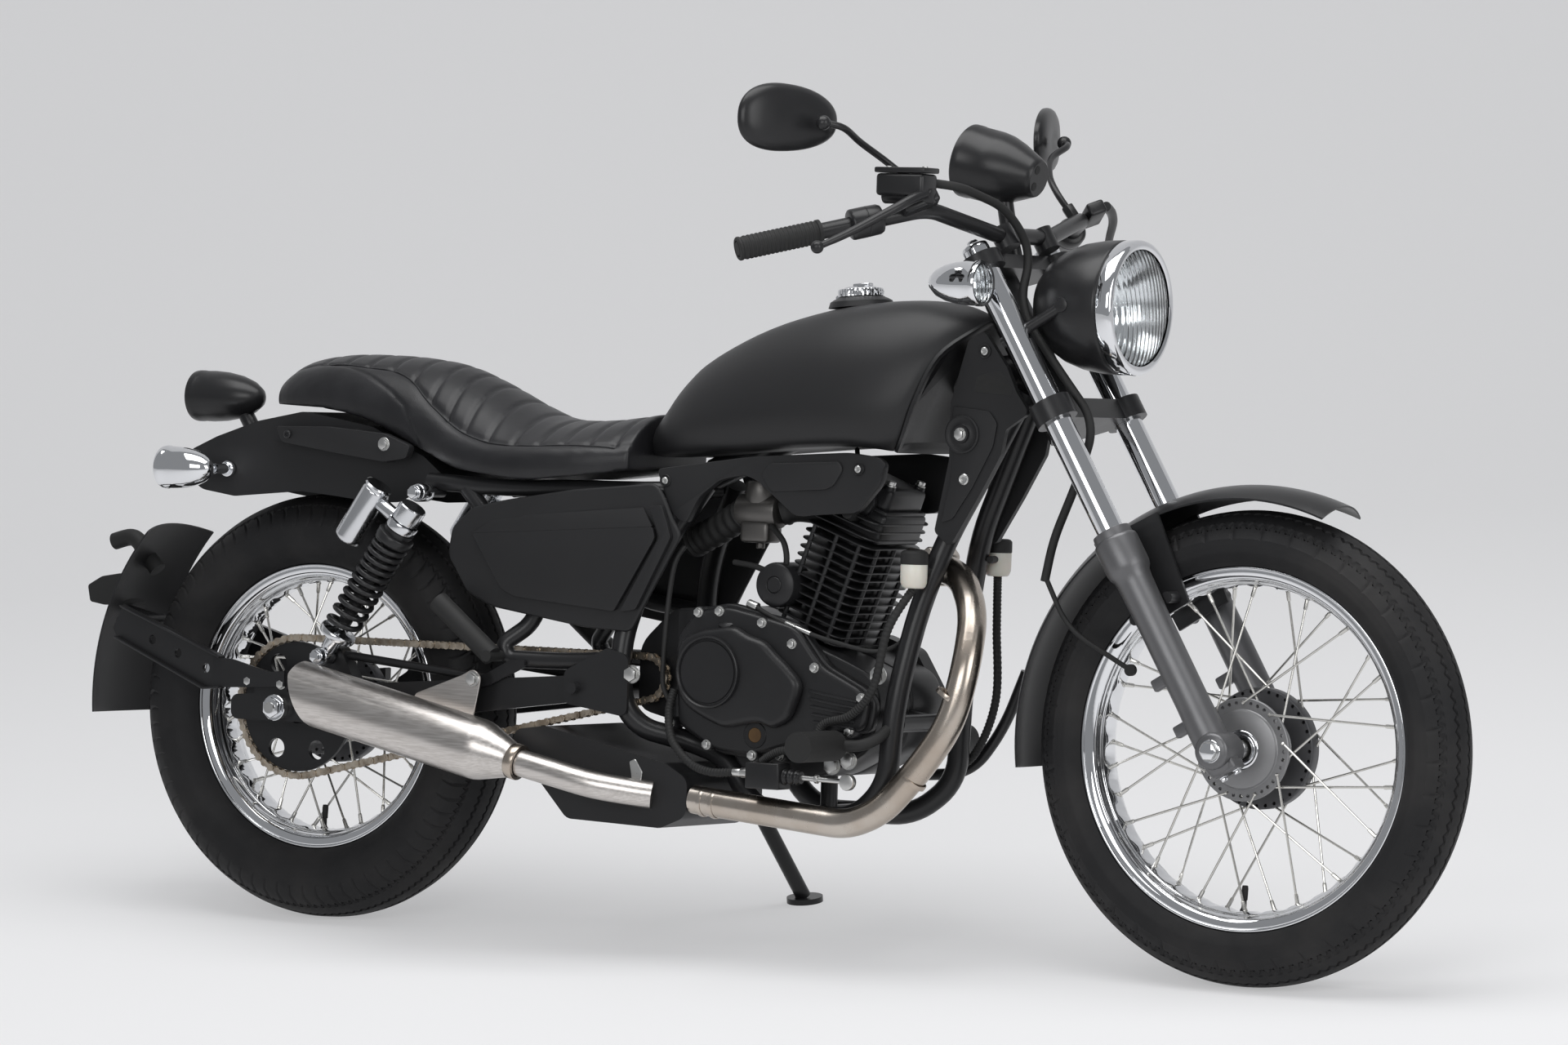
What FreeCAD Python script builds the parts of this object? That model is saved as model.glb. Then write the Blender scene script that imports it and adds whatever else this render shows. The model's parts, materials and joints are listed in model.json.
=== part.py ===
import FreeCAD, Part
import math
import os

# Cruiser motorcycle on its side stand, millimetres, degrees.
# It is drawn upright: +X forward from the rear axle's plane, +Y the rider's left, +Z up from the ground.
# Every sub-part then takes the same Placement, which leans it on its stand.

os.makedirs("parts", exist_ok=True)
doc = FreeCAD.newDocument("cruiser_motorcycle")

SIZES = {
    # whole machine
    "wheelbase": 1500,
    "lean_angle": 10,
    "half_width_unit": 100,
    "level_unit": 100,
    "fork_unit": 100,
    "seat_clearance": 0.3,
    "running_clearance": 0.05,
    # front wheel
    "front_tyre_radius": 320,
    "front_tyre_width": 97,
    "front_rim_radius": 245,
    "front_rim_width": 74,
    # rear wheel
    "rear_tyre_radius": 305,
    "rear_tyre_width": 136,
    "rear_rim_radius": 205,
    "rear_rim_width": 84,
    # parts that both wheels share
    "rim_wall": 5,
    "rim_well_depth": 21,
    "rim_well_width": 26,
    "hub_flange_radius": 69,
    "hub_flange_thickness": 6,
    "hub_half_width": 34,
    "hub_barrel_radius": 36,
    "hub_recess_radius": 47,
    "hub_recess_depth": 4,
    "drum_radius": 82,
    "drum_width": 22,
    "bearing_radius": 24,
    "bearing_depth": 6,
    "spoke_radius": 2,
    "axle_radius": 8,
    # final drive
    "chain_pitch": 12.7,
    "chain_line": 82,
    "chain_width": 15,
    "chain_link_height": 11,
    "chain_waist_height": 8,
    "sprocket_radius": 99,
    "front_sprocket_radius": 30,
    "sprocket_thickness": 6,
    "front_sprocket_level": 374,
    "front_sprocket_station": 590,
    # fork
    "rake_angle": 30.7,
    "fork_offset": 40,
    "axle_lead": 5,
    "fork_half_spacing": 98,
    "fork_tube_radius": 19,
    "fork_tube_top": 768,
    "slider_radius": 26,
    "slider_collar_radius": 31,
    "slider_top": 334,
    "slider_bottom": -34,
    "slider_collar_height": 62,
    "stem_radius": 15,
    "head_tube_radius": 29,
    "head_tube_bottom": 545,
    "head_tube_length": 172,
    "yoke_thickness": 30,
    "upper_yoke_thickness": 22,
    "yoke_ring_radius": 29,
    "yoke_half_depth": 26,
    # front fender
    "fender_thickness": 2.5,
    "front_fender_gap": 34,
    "front_fender_half_width": 56,
    "front_fender_drop": 18,
    # handlebar
    "bar_radius": 11.1,
    "grip_radius": 16.5,
    "grip_length": 118,
    # headlamp
    "headlamp_radius": 92,
    "headlamp_depth": 150,
    "headlamp_ring_length": 34,
    "headlamp_lens_radius": 80,
    "headlamp_lens_bulge": 16,
    # speedometer
    "speedometer_radius": 51,
    "speedometer_length": 116,
    "speedometer_nose_radius": 27,
    # frame
    "backbone_radius": 22,
    "cradle_radius": 15,
    "rail_radius": 12,
    "rail_offset": 105,
    "cradle_cross_reach": 82,
    "hanger_offset": 138,
    "swingarm_half_span": 118,
    "swingarm_beam_width": 24,
    "swingarm_beam_height": 44,
    "swingarm_pivot_radius": 20,
    # body
    "panel_thickness": 16,
    "rear_fender_half_width": 92,
    "tank_cap_radius": 32,
    # exhaust
    "header_radius": 20,
    "silencer_radius": 43,
    "silencer_pipe_radius": 19,
    # engine
    "cylinder_tilt": 20,
    "fin_pitch": 12,
    "fin_thickness": 3,
    "fin_count": 13,
    "fin_length": 112,
    "fin_width": 150,
    "barrel_radius": 46,
    # shock absorbers
    "shock_eye_radius": 13,
    "shock_body_radius": 20,
    "shock_seat_low": 45,
    "shock_seat_high": 205,
    "shock_collar_thickness": 8,
    "spring_radius": 27,
    "spring_bore_radius": 19,
    "reservoir_offset": 65,
    "reservoir_radius": 21,
    "reservoir_length": 95,
    # engine cases
    "case_width": 176,
    "chain_well_length": 96,
    "chain_well_station": 545,
    "chain_well_level": 300,
    "cover_thickness": 28,
    "bulge_thickness": 18,
    "cover_disc_radius": 50,
    "cover_disc_thickness": 8,
    "head_length": 112,
    "head_width": 116,
    "head_height": 44,
    "rocker_length": 96,
    "rocker_width": 100,
    "rocker_height": 36,
    "carburettor_length": 64,
    "carburettor_height": 84,
    "carburettor_radius": 25,
    "exhaust_box_right": 142,
    "exhaust_box_width": 200,
    "slash_angle": 30,
    "silencer_bracket_offset": 156,
    # corners of flat layers, seen from the side
    "case_corner_radius": 20,
    "cover_corner_radius": 12,
    "trim_corner_radius": 9,
    "fender_corner_radius": 30,
    # covers
    "side_cover_thickness": 10,
    "side_cover_lift": 6,
    "tunnel_half_width": 27,
    "cap_tilt": 5,
    "cap_thickness": 14,
    "filler_ring_height": 7,
    "lid_knuckle_radius": 4,
    "lid_knuckle_length": 18,
    "side_cover_offset": 118,
    "tank_trim_offset": 102,
    "neck_cover_offset": 57,
    "neck_cover_thickness": 9,
    "front_fender_start": 69,
    "front_fender_sweep": 118,
    # tail
    "tail_lamp_length": 116,
    "tail_lamp_radius": 37,
    "indicator_length": 84,
    "indicator_radius": 31,
    "hugger_radius": 385,
    "hugger_half_width": 82,
    "hugger_low_angle": 4,
    "hugger_high_angle": 41,
    "arm_hole_radius": 7,
    "arm_toe_in": 9,
    "hugger_cross_reach": 95,
    # feet and brake parts
    "peg_length": 95,
    "peg_radius": 21,
    "passenger_peg_radius": 15,
    "brake_cylinder_width": 36,
    "brake_cylinder_length": 58,
    "hose_radius": 6,
    "thin_hose_radius": 3.5,
    "reservoir_pot_radius": 19,
    "reservoir_pot_height": 52,
    # steering details
    "lower_yoke_middle": 518,
    "upper_yoke_middle": 746,
    "bar_clamp_spacing": 55,
    "bar_clamp_radius": 16,
    "control_start": 36,
    "control_length": 60,
    "control_radius": 20,
    "lever_radius": 6,
    "front_master_length": 78,
    "front_master_width": 42,
    "mirror_stem_radius": 5,
    "mirror_half_length": 84,
    "mirror_half_height": 46,
    "mirror_half_thickness": 13,
    "mirror_yaw": 22,
    # side stand
    "stand_lug_thickness": 22,
    "stand_tube_radius": 11,
    "stand_foot_radius": 26,
    "stand_foot_thickness": 8,
}


def fill_sheet():
    sheet = doc.addObject("Spreadsheet::Sheet", "Sizes")
    for row, (alias, value) in enumerate(SIZES.items(), start=1):
        sheet.set("A%d" % row, alias.replace("_", " "))
        sheet.set("B%d" % row, str(value))
        sheet.setAlias("B%d" % row, alias)
    doc.recompute()
    return sheet


sheet = fill_sheet()


def size(alias):
    return float(sheet.get(alias))


def V(x, y, z):
    return FreeCAD.Vector(x, y, z)


# Places on the machine. A station is a fifteenth of the wheelbase, counted from the rear axle.

RIGHT = -1
LEFT = 1
SIDES = (RIGHT, LEFT)
STATIONS = 15
HALF = 0.5
FULL_TURN = 360
X_AXIS = V(1, 0, 0)
Y_AXIS = V(0, 1, 0)
Z_AXIS = V(0, 0, 1)

wheelbase = size("wheelbase")
station = wheelbase / STATIONS
half_width_unit = size("half_width_unit")
level_unit = size("level_unit")
fork_unit = size("fork_unit")
clearance = size("seat_clearance")
rake = size("rake_angle")
rear_axle_level = size("rear_tyre_radius")
front_axle_level = size("front_tyre_radius")


def spot(along, across, up):
    """A place in stations, half widths and levels."""
    return V(along * station, across * half_width_unit, up * level_unit)


def spots(table, side=LEFT):
    return [spot(along, across * side, up) for along, across, up in table]


def fork_spot(ahead, across, up):
    """A place in the fork's own frame, whose +Z is the steering axis."""
    return V(ahead * fork_unit, across * fork_unit, up * fork_unit)


def fork_spots(table, side=LEFT):
    return [fork_spot(ahead, across * side, up) for ahead, across, up in table]


rear_axle = V(0, 0, rear_axle_level)
front_axle = V(wheelbase, 0, front_axle_level)
axle_ahead = size("fork_offset") + size("axle_lead")
rake_turn = FreeCAD.Rotation(Y_AXIS, -rake)
fork_frame = FreeCAD.Placement(front_axle - rake_turn.multVec(V(axle_ahead, 0, 0)), rake_turn)
lean = size("lean_angle")
lean_turn = FreeCAD.Rotation(X_AXIS, -lean)
TREAD_DROP_SHARE = 0.08
CROWN_WIDTH_SHARE = 0.41
BOX_CENTRE_SHARES = (0.47836, -0.12402)


def crown_radius(radius, width):
    half = CROWN_WIDTH_SHARE * width
    drop = TREAD_DROP_SHARE * radius
    return (half ** 2 + drop ** 2) / (drop + drop)


def stance_placement():
    """The lean about the tyres' contact line, the tyres' round crowns back on the ground."""
    crown = crown_radius(rear_axle_level, size("rear_tyre_width"))
    rise = crown * (math.cos(math.radians(lean)) - 1)
    middle = BOX_CENTRE_SHARES[0] * wheelbase
    sideways = BOX_CENTRE_SHARES[1] * wheelbase
    return FreeCAD.Placement(V(-middle, sideways, -rise), lean_turn)


stance = stance_placement()
bike = FreeCAD.Placement()
kept = []


def at(place, turn=None):
    return FreeCAD.Placement(place, turn or FreeCAD.Rotation())


def turn_z_to(direction):
    return FreeCAD.Rotation(Z_AXIS, direction)


def sub_part(label, item, frame=bike):
    """Names a finished sub-part and leans it with the rest of the machine."""
    item.Label = label
    item.Placement = stance.multiply(frame).multiply(item.Placement)
    kept.append(item)
    return item


# Curves and solids that several sub-parts use

def round_corner(before, corner, after, radius):
    """The two tangent points and the middle of a corner's arc."""
    one = (before - corner).normalize()
    two = (after - corner).normalize()
    opening = one.getAngle(two)
    reach = radius / math.tan(opening * HALF)
    inward = (one + two).normalize()
    middle = corner + inward * (radius / math.sin(opening * HALF) - radius)
    return corner + one * reach, middle, corner + two * reach


def curves_through(points, radius, closed):
    """Straight runs joined by tangent arcs, as Part curves."""
    count = len(points)
    corners = range(count) if closed else range(1, count - 1)
    arcs = {}
    for index in corners:
        before, corner, after = points[index - 1], points[index], points[(index + 1) % count]
        turn = math.pi - (before - corner).getAngle(after - corner)
        shorter = min((before - corner).Length, (after - corner).Length)
        room = RUN_SHARE * shorter / math.tan(turn * HALF) if turn > STRAIGHT_TURN else 0
        if radius > 0 and room > 0:
            arcs[index] = round_corner(before, corner, after, min(radius, room))
    curves = []
    for index in range(count if closed else count - 1):
        following = (index + 1) % count
        start = arcs[index][2] if index in arcs else points[index]
        end = arcs[following][0] if following in arcs else points[following]
        curves.append(Part.LineSegment(start, end))
        if following in arcs and (closed or following < count - 1):
            curves.append(Part.Arc(*arcs[following]))
    return curves


RUN_SHARE = 0.45
STRAIGHT_TURN = 0.01
NO_LIMIT_SHARE = 100


def wire_through(points, radius=0, closed=False):
    return Part.Wire([curve.toShape() for curve in curves_through(points, radius, closed)])


def tube(points, radius, bend=None):
    """A round bar swept along straight runs and tangent arcs."""
    path = wire_through(points, NO_LIMIT_SHARE * radius if bend is None else bend)
    start = path.Edges[0]
    ring = Part.Wire(Part.Circle(points[0], start.tangentAt(start.FirstParameter), radius).toShape())
    return path.makePipeShell([ring], True, False)


def bar(start, end, radius):
    return Part.makeCylinder(radius, (end - start).Length, start, end - start)


def cone(start, end, start_radius, end_radius):
    return Part.makeCone(start_radius, end_radius, (end - start).Length, start, end - start)


def plate(points, thickness, direction, radius=0):
    """A flat plate with rounded corners, from its outline."""
    return Part.Face(wire_through(points, radius, True)).extrude(direction * thickness)


def feature(name, shape):
    item = doc.addObject("Part::Feature", name)
    item.Shape = shape
    return item


def compound(name, items):
    item = doc.addObject("Part::Compound", name)
    item.Links = items
    return item


def fused(name, items):
    item = doc.addObject("Part::MultiFuse", name)
    item.Shapes = items
    return item


def cut(name, base, tool):
    item = doc.addObject("Part::Cut", name)
    item.Base = base
    item.Tool = tool
    return item


def bind(item, **sizes):
    """Ties an object's properties to cells of the sheet."""
    for name, formula in sizes.items():
        item.setExpression(name, formula)
    return item


def cylinder(name, radius, height, place=None):
    item = bind(doc.addObject("Part::Cylinder", name), Radius=radius, Height=height)
    item.Placement = place or bike
    return item


def block(name, length, width, height, place=None):
    item = bind(doc.addObject("Part::Box", name), Length=length, Width=width, Height=height)
    item.Placement = place or bike
    return item


# PartDesign bodies

def new_body(name, place=None):
    body = doc.addObject("PartDesign::Body", name)
    body.Placement = place or bike
    return body


def new_sketch(body, role, curves):
    sketch = body.newObject("Sketcher::SketchObject", body.Name + "_outline")
    plane = next(item for item in body.Origin.OriginFeatures if item.Role == role)
    sketch.AttachmentSupport = [(plane, "")]
    sketch.MapMode = "FlatFace"
    sketch.addGeometry(curves, False)
    return sketch


def outline(pairs, radius=0):
    return curves_through([V(u, v, 0) for u, v in pairs], radius, True)


def revolve(body, curves):
    """A full turn of a profile about the body's Z axis."""
    turned = body.newObject("PartDesign::Revolution", body.Name + "_turned")
    turned.Profile = new_sketch(body, "XZ_Plane", curves)
    turned.ReferenceAxis = (turned.Profile[0], ["V_Axis"])
    turned.Angle = FULL_TURN
    return turned


def pad(body, role, curves, length, both_ways=False):
    padded = body.newObject("PartDesign::Pad", body.Name + "_pad")
    padded.Profile = new_sketch(body, role, curves)
    padded.setExpression("Length", length)
    padded.Midplane = both_ways
    return padded


def pocket(body, role, curves, length, backwards=False, both_ways=False):
    hollow = body.newObject("PartDesign::Pocket", body.Name + "_pocket")
    hollow.Profile = new_sketch(body, role, curves)
    hollow.setExpression("Length", length)
    hollow.Reversed = backwards
    hollow.Midplane = both_ways
    return hollow


def side_outline(table, radius=0):
    """An outline in stations and levels."""
    return outline([(along * station, up * level_unit) for along, up in table], radius)


def mirrored(name, item):
    twin = doc.addObject("Part::Mirroring", name)
    twin.Source = item
    twin.Normal = Y_AXIS
    return twin


def both_sides(name, item):
    """A right-hand piece and its twin on the left."""
    return compound(name, [item, mirrored(name + "_twin", item)])


# Wheels. A wheel's body turns about its own Z axis, laid along the machine's Y axis.

WHEEL_TURN = turn_z_to(Y_AXIS)
SPOKES = 36
CROSSED_TURN_SHARE = 0.11
front_wheel_place = at(front_axle, WHEEL_TURN)
rear_wheel_place = at(rear_axle, WHEEL_TURN)


def rim_profile(radius, width):
    """Half-round flanges, bead seats and a well, as one closed band."""
    wall = size("rim_wall")
    edge = width * HALF
    lip = edge - wall
    well = size("rim_well_width") * HALF
    seat = radius - wall - wall - wall
    floor = radius - size("rim_well_depth")
    outer = [(radius, -edge), (radius, -lip), (seat, -lip + wall), (seat, -well - wall), (floor, -well)]
    inner = [(seat - wall, -edge + wall), (radius - wall, -edge)]
    under = [(floor - wall, -well), (seat - wall, -well - wall)]
    mirror_outer = [(r, -y) for r, y in reversed(outer)]
    mirror_inner = [(r, -y) for r, y in reversed(inner)]
    mirror_under = [(r, -y) for r, y in reversed(under)]
    return outer + mirror_outer + mirror_inner + mirror_under + under + inner


def rim(label, place, radius, width):
    body = new_body(label + "_body", place)
    revolve(body, outline(rim_profile(radius, width)))
    return sub_part(label, body)


def tyre(label, place, radius, width, rim_radius, rim_width):
    """A solid ring: beads inside the rim's lips, round sidewalls and a round crown."""
    wall = size("rim_wall")
    bead = rim_width * HALF - wall - wall - clearance
    lip = rim_width * HALF
    foot = rim_radius - wall - wall - wall + clearance
    over = rim_radius + clearance
    shoulder = CROWN_WIDTH_SHARE * width
    shoulder_radius = radius * (1 - TREAD_DROP_SHARE)
    belly = (over + shoulder_radius) * HALF
    top = [V(over, -lip, 0), V(belly, -width * HALF, 0), V(shoulder_radius, -shoulder, 0)]
    crown = [V(shoulder_radius, -shoulder, 0), V(radius, 0, 0), V(shoulder_radius, shoulder, 0)]
    back = [V(shoulder_radius, shoulder, 0), V(belly, width * HALF, 0), V(over, lip, 0)]
    below = [V(over, lip, 0), V(over, bead + clearance, 0), V(foot, bead - wall, 0)]
    below += [V(foot, wall - bead, 0), V(over, -bead - clearance, 0), V(over, -lip, 0)]
    curves = [Part.Arc(*top), Part.Arc(*crown), Part.Arc(*back)]
    curves += [Part.LineSegment(one, two) for one, two in zip(below, below[1:])]
    body = new_body(label + "_body", place)
    revolve(body, curves)
    return sub_part(label, body)


def spoke_bars(rim_radius, flange_radii):
    """Crossed spokes from each flange's ring of holes to the well of the rim."""
    reach = rim_radius - size("rim_well_depth") - size("rim_wall") - clearance - size("spoke_radius") * HALF
    spread = size("rim_well_width") * HALF * HALF
    lift = size("hub_half_width") - size("hub_flange_thickness") * HALF
    bars = []
    for number in range(SPOKES):
        side = RIGHT if number % 2 else LEFT
        lean_way = 1 if (number // 2) % 2 else -1
        root_radius = flange_radii[side] - size("spoke_radius") * 2
        angle = number * FULL_TURN / SPOKES
        tip_angle = angle + lean_way * CROSSED_TURN_SHARE * FULL_TURN
        root = FreeCAD.Rotation(Z_AXIS, angle).multVec(V(root_radius, 0, lift * side))
        tip = FreeCAD.Rotation(Z_AXIS, tip_angle).multVec(V(reach, 0, spread * side))
        bars.append(bar(root, tip, size("spoke_radius")))
    return bars


def hub_profile(drum_radius):
    """Barrel, thin flange and bearing recess at the right, drum at the left."""
    bore = size("axle_radius") + size("running_clearance")
    flange = size("hub_flange_radius")
    thin = size("hub_flange_thickness")
    half = size("hub_half_width")
    barrel = size("hub_barrel_radius")
    recess = size("hub_recess_radius")
    bearing = size("bearing_radius")
    return [
        (bore, -half + size("bearing_depth")), (bearing, -half + size("bearing_depth")), (bearing, -half),
        (recess, -half), (recess, -half - size("hub_recess_depth")), (recess + thin, -half),
        (flange, -half), (flange, -half + thin), (barrel, -half + thin + thin),
        (barrel, half - size("drum_width")), (drum_radius, half - size("drum_width") + thin),
        (drum_radius, half), (bore, half),
    ]


def hub(label, place, rim_radius, drum_radius):
    body = new_body(label + "_turning", place)
    revolve(body, outline(hub_profile(drum_radius)))
    flange_radii = {RIGHT: size("hub_flange_radius"), LEFT: drum_radius}
    spokes = feature(label + "_spokes", Part.makeCompound(spoke_bars(rim_radius, flange_radii)))
    spokes.Placement = place
    return sub_part(label, fused(label + "_fused", [body, spokes]))


def wheels():
    front_radius = size("front_rim_radius")
    rear_radius = size("rear_rim_radius")
    drum = size("drum_radius")
    rim("front_rim", front_wheel_place, front_radius, size("front_rim_width"))
    rim("rear_rim", rear_wheel_place, rear_radius, size("rear_rim_width"))
    tyre("front_tyre", front_wheel_place, size("front_tyre_radius"), size("front_tyre_width"),
         front_radius, size("front_rim_width"))
    tyre("rear_tyre", rear_wheel_place, size("rear_tyre_radius"), size("rear_tyre_width"),
         rear_radius, size("rear_rim_width"))
    hub("front_hub", front_wheel_place, front_radius, drum)
    hub("rear_hub", rear_wheel_place, rear_radius, drum)


# Final drive: one fixed loop of chain round both sprockets

def sprocket_tip_radius(pitch_radius):
    return pitch_radius - size("chain_link_height") * HALF - clearance - clearance


def rear_sprocket():
    """Toothless below the rollers, with windows, on the hub's right face."""
    hub_face = size("hub_half_width") + size("hub_recess_depth")
    chain_line = size("chain_line")
    thick = size("sprocket_thickness")
    outer = sprocket_tip_radius(size("sprocket_radius"))
    inner = size("bearing_radius")
    carrier = size("hub_recess_radius")
    body = new_body("sprocket_body", rear_wheel_place)
    profile = [(inner, -hub_face - clearance), (carrier, -hub_face - clearance), (carrier, -chain_line + thick),
               (outer, -chain_line + thick * HALF), (outer, -chain_line - thick * HALF),
               (inner, -chain_line - thick * HALF)]
    revolve(body, outline(profile))
    windows = []
    reach = V(0, 0, chain_line)
    for number in range(SPROCKET_WINDOWS):
        middle = FreeCAD.Rotation(Z_AXIS, number * FULL_TURN / SPROCKET_WINDOWS).multVec(V((carrier + outer) * HALF, 0, 0))
        windows.append(bar(middle - reach - reach, middle, (outer - carrier) * WINDOW_SHARE))
    openings = feature("sprocket_windows", Part.makeCompound(windows))
    openings.Placement = rear_wheel_place
    return sub_part("rear_sprocket", cut("sprocket_plate", body, openings))


SPROCKET_WINDOWS = 6
WINDOW_SHARE = 0.3


def chain_outline(grow):
    """The belt line round the two sprockets, grown by a distance, with its upper and lower tangents."""
    rear = V(0, rear_axle_level, 0)
    front = V(size("front_sprocket_station"), size("front_sprocket_level"), 0)
    big = size("sprocket_radius") + grow
    small = size("front_sprocket_radius") + grow
    span = front - rear
    slope = math.atan2(span.y, span.x)
    lift = math.acos((big - small) / span.Length)
    up = V(math.cos(slope + lift), math.sin(slope + lift), 0)
    down = V(math.cos(slope - lift), math.sin(slope - lift), 0)
    back = V(-math.cos(slope), -math.sin(slope), 0)
    ahead = V(math.cos(slope), math.sin(slope), 0)
    return [
        Part.LineSegment(rear + up * big, front + up * small),
        Part.Arc(front + up * small, front + ahead * small, front + down * small),
        Part.LineSegment(front + down * small, rear + down * big),
        Part.Arc(rear + down * big, rear + back * big, rear + up * big),
    ]


def chain_rail(direction):
    """One edge of the chain's outline: full height at every pin, a waist at the middle of every link."""
    path = Part.Wire([curve.toShape() for curve in chain_outline(0)])
    links = round(path.Length / size("chain_pitch"))
    heights = {0: size("chain_link_height"), WAIST_STEP: size("chain_waist_height")}
    points = []
    steps = links * LINK_STEPS
    ends = [0]
    for edge in path.Edges:
        ends.append(ends[-1] + edge.Length)
    for step in range(steps):
        distance = path.Length * step / steps
        number = max(k for k in range(len(path.Edges)) if ends[k] <= distance)
        edge = path.Edges[number]
        where = edge.getParameterByLength(distance - ends[number])
        outward = edge.tangentAt(where).cross(Z_AXIS) * -direction
        height = heights.get(step % LINK_STEPS, size("chain_link_height"))
        points.append(edge.valueAt(where) + outward * (height * HALF))
    return Part.Wire(Part.makePolygon(points + points[:1]))


def chain():
    """The closed loop of links, its plates waisted between the pins."""
    rails = [Part.Face(chain_rail(direction)) for direction in (LEFT, RIGHT)]
    outer, inner = sorted(rails, key=lambda face: -face.Area)
    width = size("chain_width")
    loop = outer.cut(inner).extrude(Z_AXIS * width)
    item = feature("chain_loop", loop)
    item.Placement = at(V(0, width * HALF - size("chain_line"), 0), FreeCAD.Rotation(X_AXIS, FULL_TURN / 4))
    return sub_part("chain", item)


LINK_STEPS = 4
WAIST_STEP = 2


# Frame: backbone with the head tube, cradle tubes, seat rails and struts

CRADLE_NECK_SHARES = (-0.253, 0.15, 5.848)
BACKBONE_NECK_SHARES = (-0.136, 0.0, 6.163)
CRADLE_SHARES = [
    (10.80, 0.33, 6.60), (10.45, 0.45, 5.90), (10.15, 0.68, 4.90),
    (9.95, 0.92, 3.60), (9.88, 0.95, 2.45), (9.30, 0.82, 1.96), (7.70, 0.78, 1.96),
    (7.15, 0.70, 2.70), (6.60, 0.72, 2.88), (5.75, 1.14, 3.10), (5.60, 1.14, 4.10), (5.80, 0.84, 5.20),
    (6.50, 0.40, 6.45),
]
BACKBONE_SHARES = [(10.30, 0.0, 8.05), (8.60, 0.0, 7.60), (6.40, 0.0, 6.60)]
SEAT_RAIL_SHARES = [(6.40, 0.40, 6.38), (5.20, 0.88, 6.33), (3.60, 1.045, 6.304), (2.30, 1.043, 6.36)]
STRUT_SHARES = [(5.68, 1.00, 4.62), (4.30, 1.05, 4.78), (2.95, 1.05, 6.28)]
PEG_LOOP_SHARES = [
    (4.20, 1.00, 4.78), (4.08, 1.02, 4.42), (3.74, 1.24, 4.12), (3.85, 1.24, 3.92), (4.78, 1.14, 3.92),
    (5.60, 1.14, 3.98),
]
EYE_PIN_SHARE = 1.5
SPACER_SHARE = 1.6
SHOCK_TOP_SHARES = (2.44, -1.45, 6.20)
SHOCK_FOOT_SHARES = (0.85, -1.45, 3.82)
PIVOT_SHARES = (5.05, 0, 3.57)


def neck_spot(ahead, across, up):
    """A place on the frame's neck, given in the fork's frame so that it follows the head tube."""
    return fork_frame.multVec(fork_spot(ahead, across, up))


def cradle_line(side):
    ahead, across, up = CRADLE_NECK_SHARES
    return [neck_spot(ahead, across * side, up)] + spots(CRADLE_SHARES, side)


def cradle_space(grow=0):
    """Both cradle tubes, as they are or grown, so that neighbours can be cut clear of them."""
    return Part.makeCompound([tube(cradle_line(side), size("cradle_radius") + grow) for side in SIDES])


def cross_tube(place, reach, radius):
    """A straight tube across the machine, through a place."""
    centre = spot(*place)
    out = V(0, reach, 0)
    middle = V(centre.x, 0, centre.z)
    return bar(middle - out, middle + out, radius)


def frame():
    """Head tube, backbone, two cradles and the seat rails, welded into one."""
    bottom = V(0, 0, size("head_tube_bottom"))
    top = V(0, 0, size("head_tube_bottom") + size("head_tube_length"))
    head = bar(fork_frame.multVec(bottom), fork_frame.multVec(top), size("head_tube_radius"))
    bore = bar(fork_frame.multVec(bottom), fork_frame.multVec(top), size("stem_radius") + size("running_clearance"))
    pieces = [tube([neck_spot(*BACKBONE_NECK_SHARES)] + spots(BACKBONE_SHARES), size("backbone_radius"))]
    small = size("rail_radius")
    pin = size("shock_eye_radius") * HALF
    for side in SIDES:
        pieces.append(tube(cradle_line(side), size("cradle_radius")))
        for table in (SEAT_RAIL_SHARES, STRUT_SHARES, PEG_LOOP_SHARES):
            pieces.append(tube(spots(table, side), small))
        eye = spot(SHOCK_TOP_SHARES[0], SHOCK_TOP_SHARES[1] * -side, SHOCK_TOP_SHARES[2])
        inner = V(eye.x, side * (size("rear_fender_half_width") + clearance), eye.z)
        pieces.append(bar(inner, eye + V(0, side * size("shock_eye_radius") * EYE_PIN_SHARE, 0), pin))
        plate_in = size("swingarm_half_span") + size("swingarm_beam_width") * HALF + clearance * 3
        points = [spot(along, 0, up) + V(0, side * plate_in, 0) for along, up in PIVOT_PLATE_SHARES]
        pieces.append(plate(points, side * size("rim_wall"), Y_AXIS, small))
        lift = spot(*PLATE_LUG_SHARES)
        pieces.append(bar(lift + V(0, side * size("rail_offset"), 0), lift + V(0, side * plate_in, 0), small))
    pieces.append(cross_tube(PIVOT_SHARES, plate_in + size("rim_wall") + small, size("axle_radius")))
    for place in CROSS_TUBE_SHARES:
        pieces.append(cross_tube(place, size("cradle_cross_reach"), small))
    for foot, head_place in ENGINE_LUG_SHARES:
        pieces.append(bar(spot(*foot), spot(*head_place), small))
    pieces += silencer_hanger()
    pieces.append(cross_tube(TANK_PUCK_SHARES, size("tunnel_half_width") - clearance, small))
    frame_shape = head.fuse(pieces).cut(bore)
    sub_part("frame", feature("frame_weldment", frame_shape))


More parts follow.
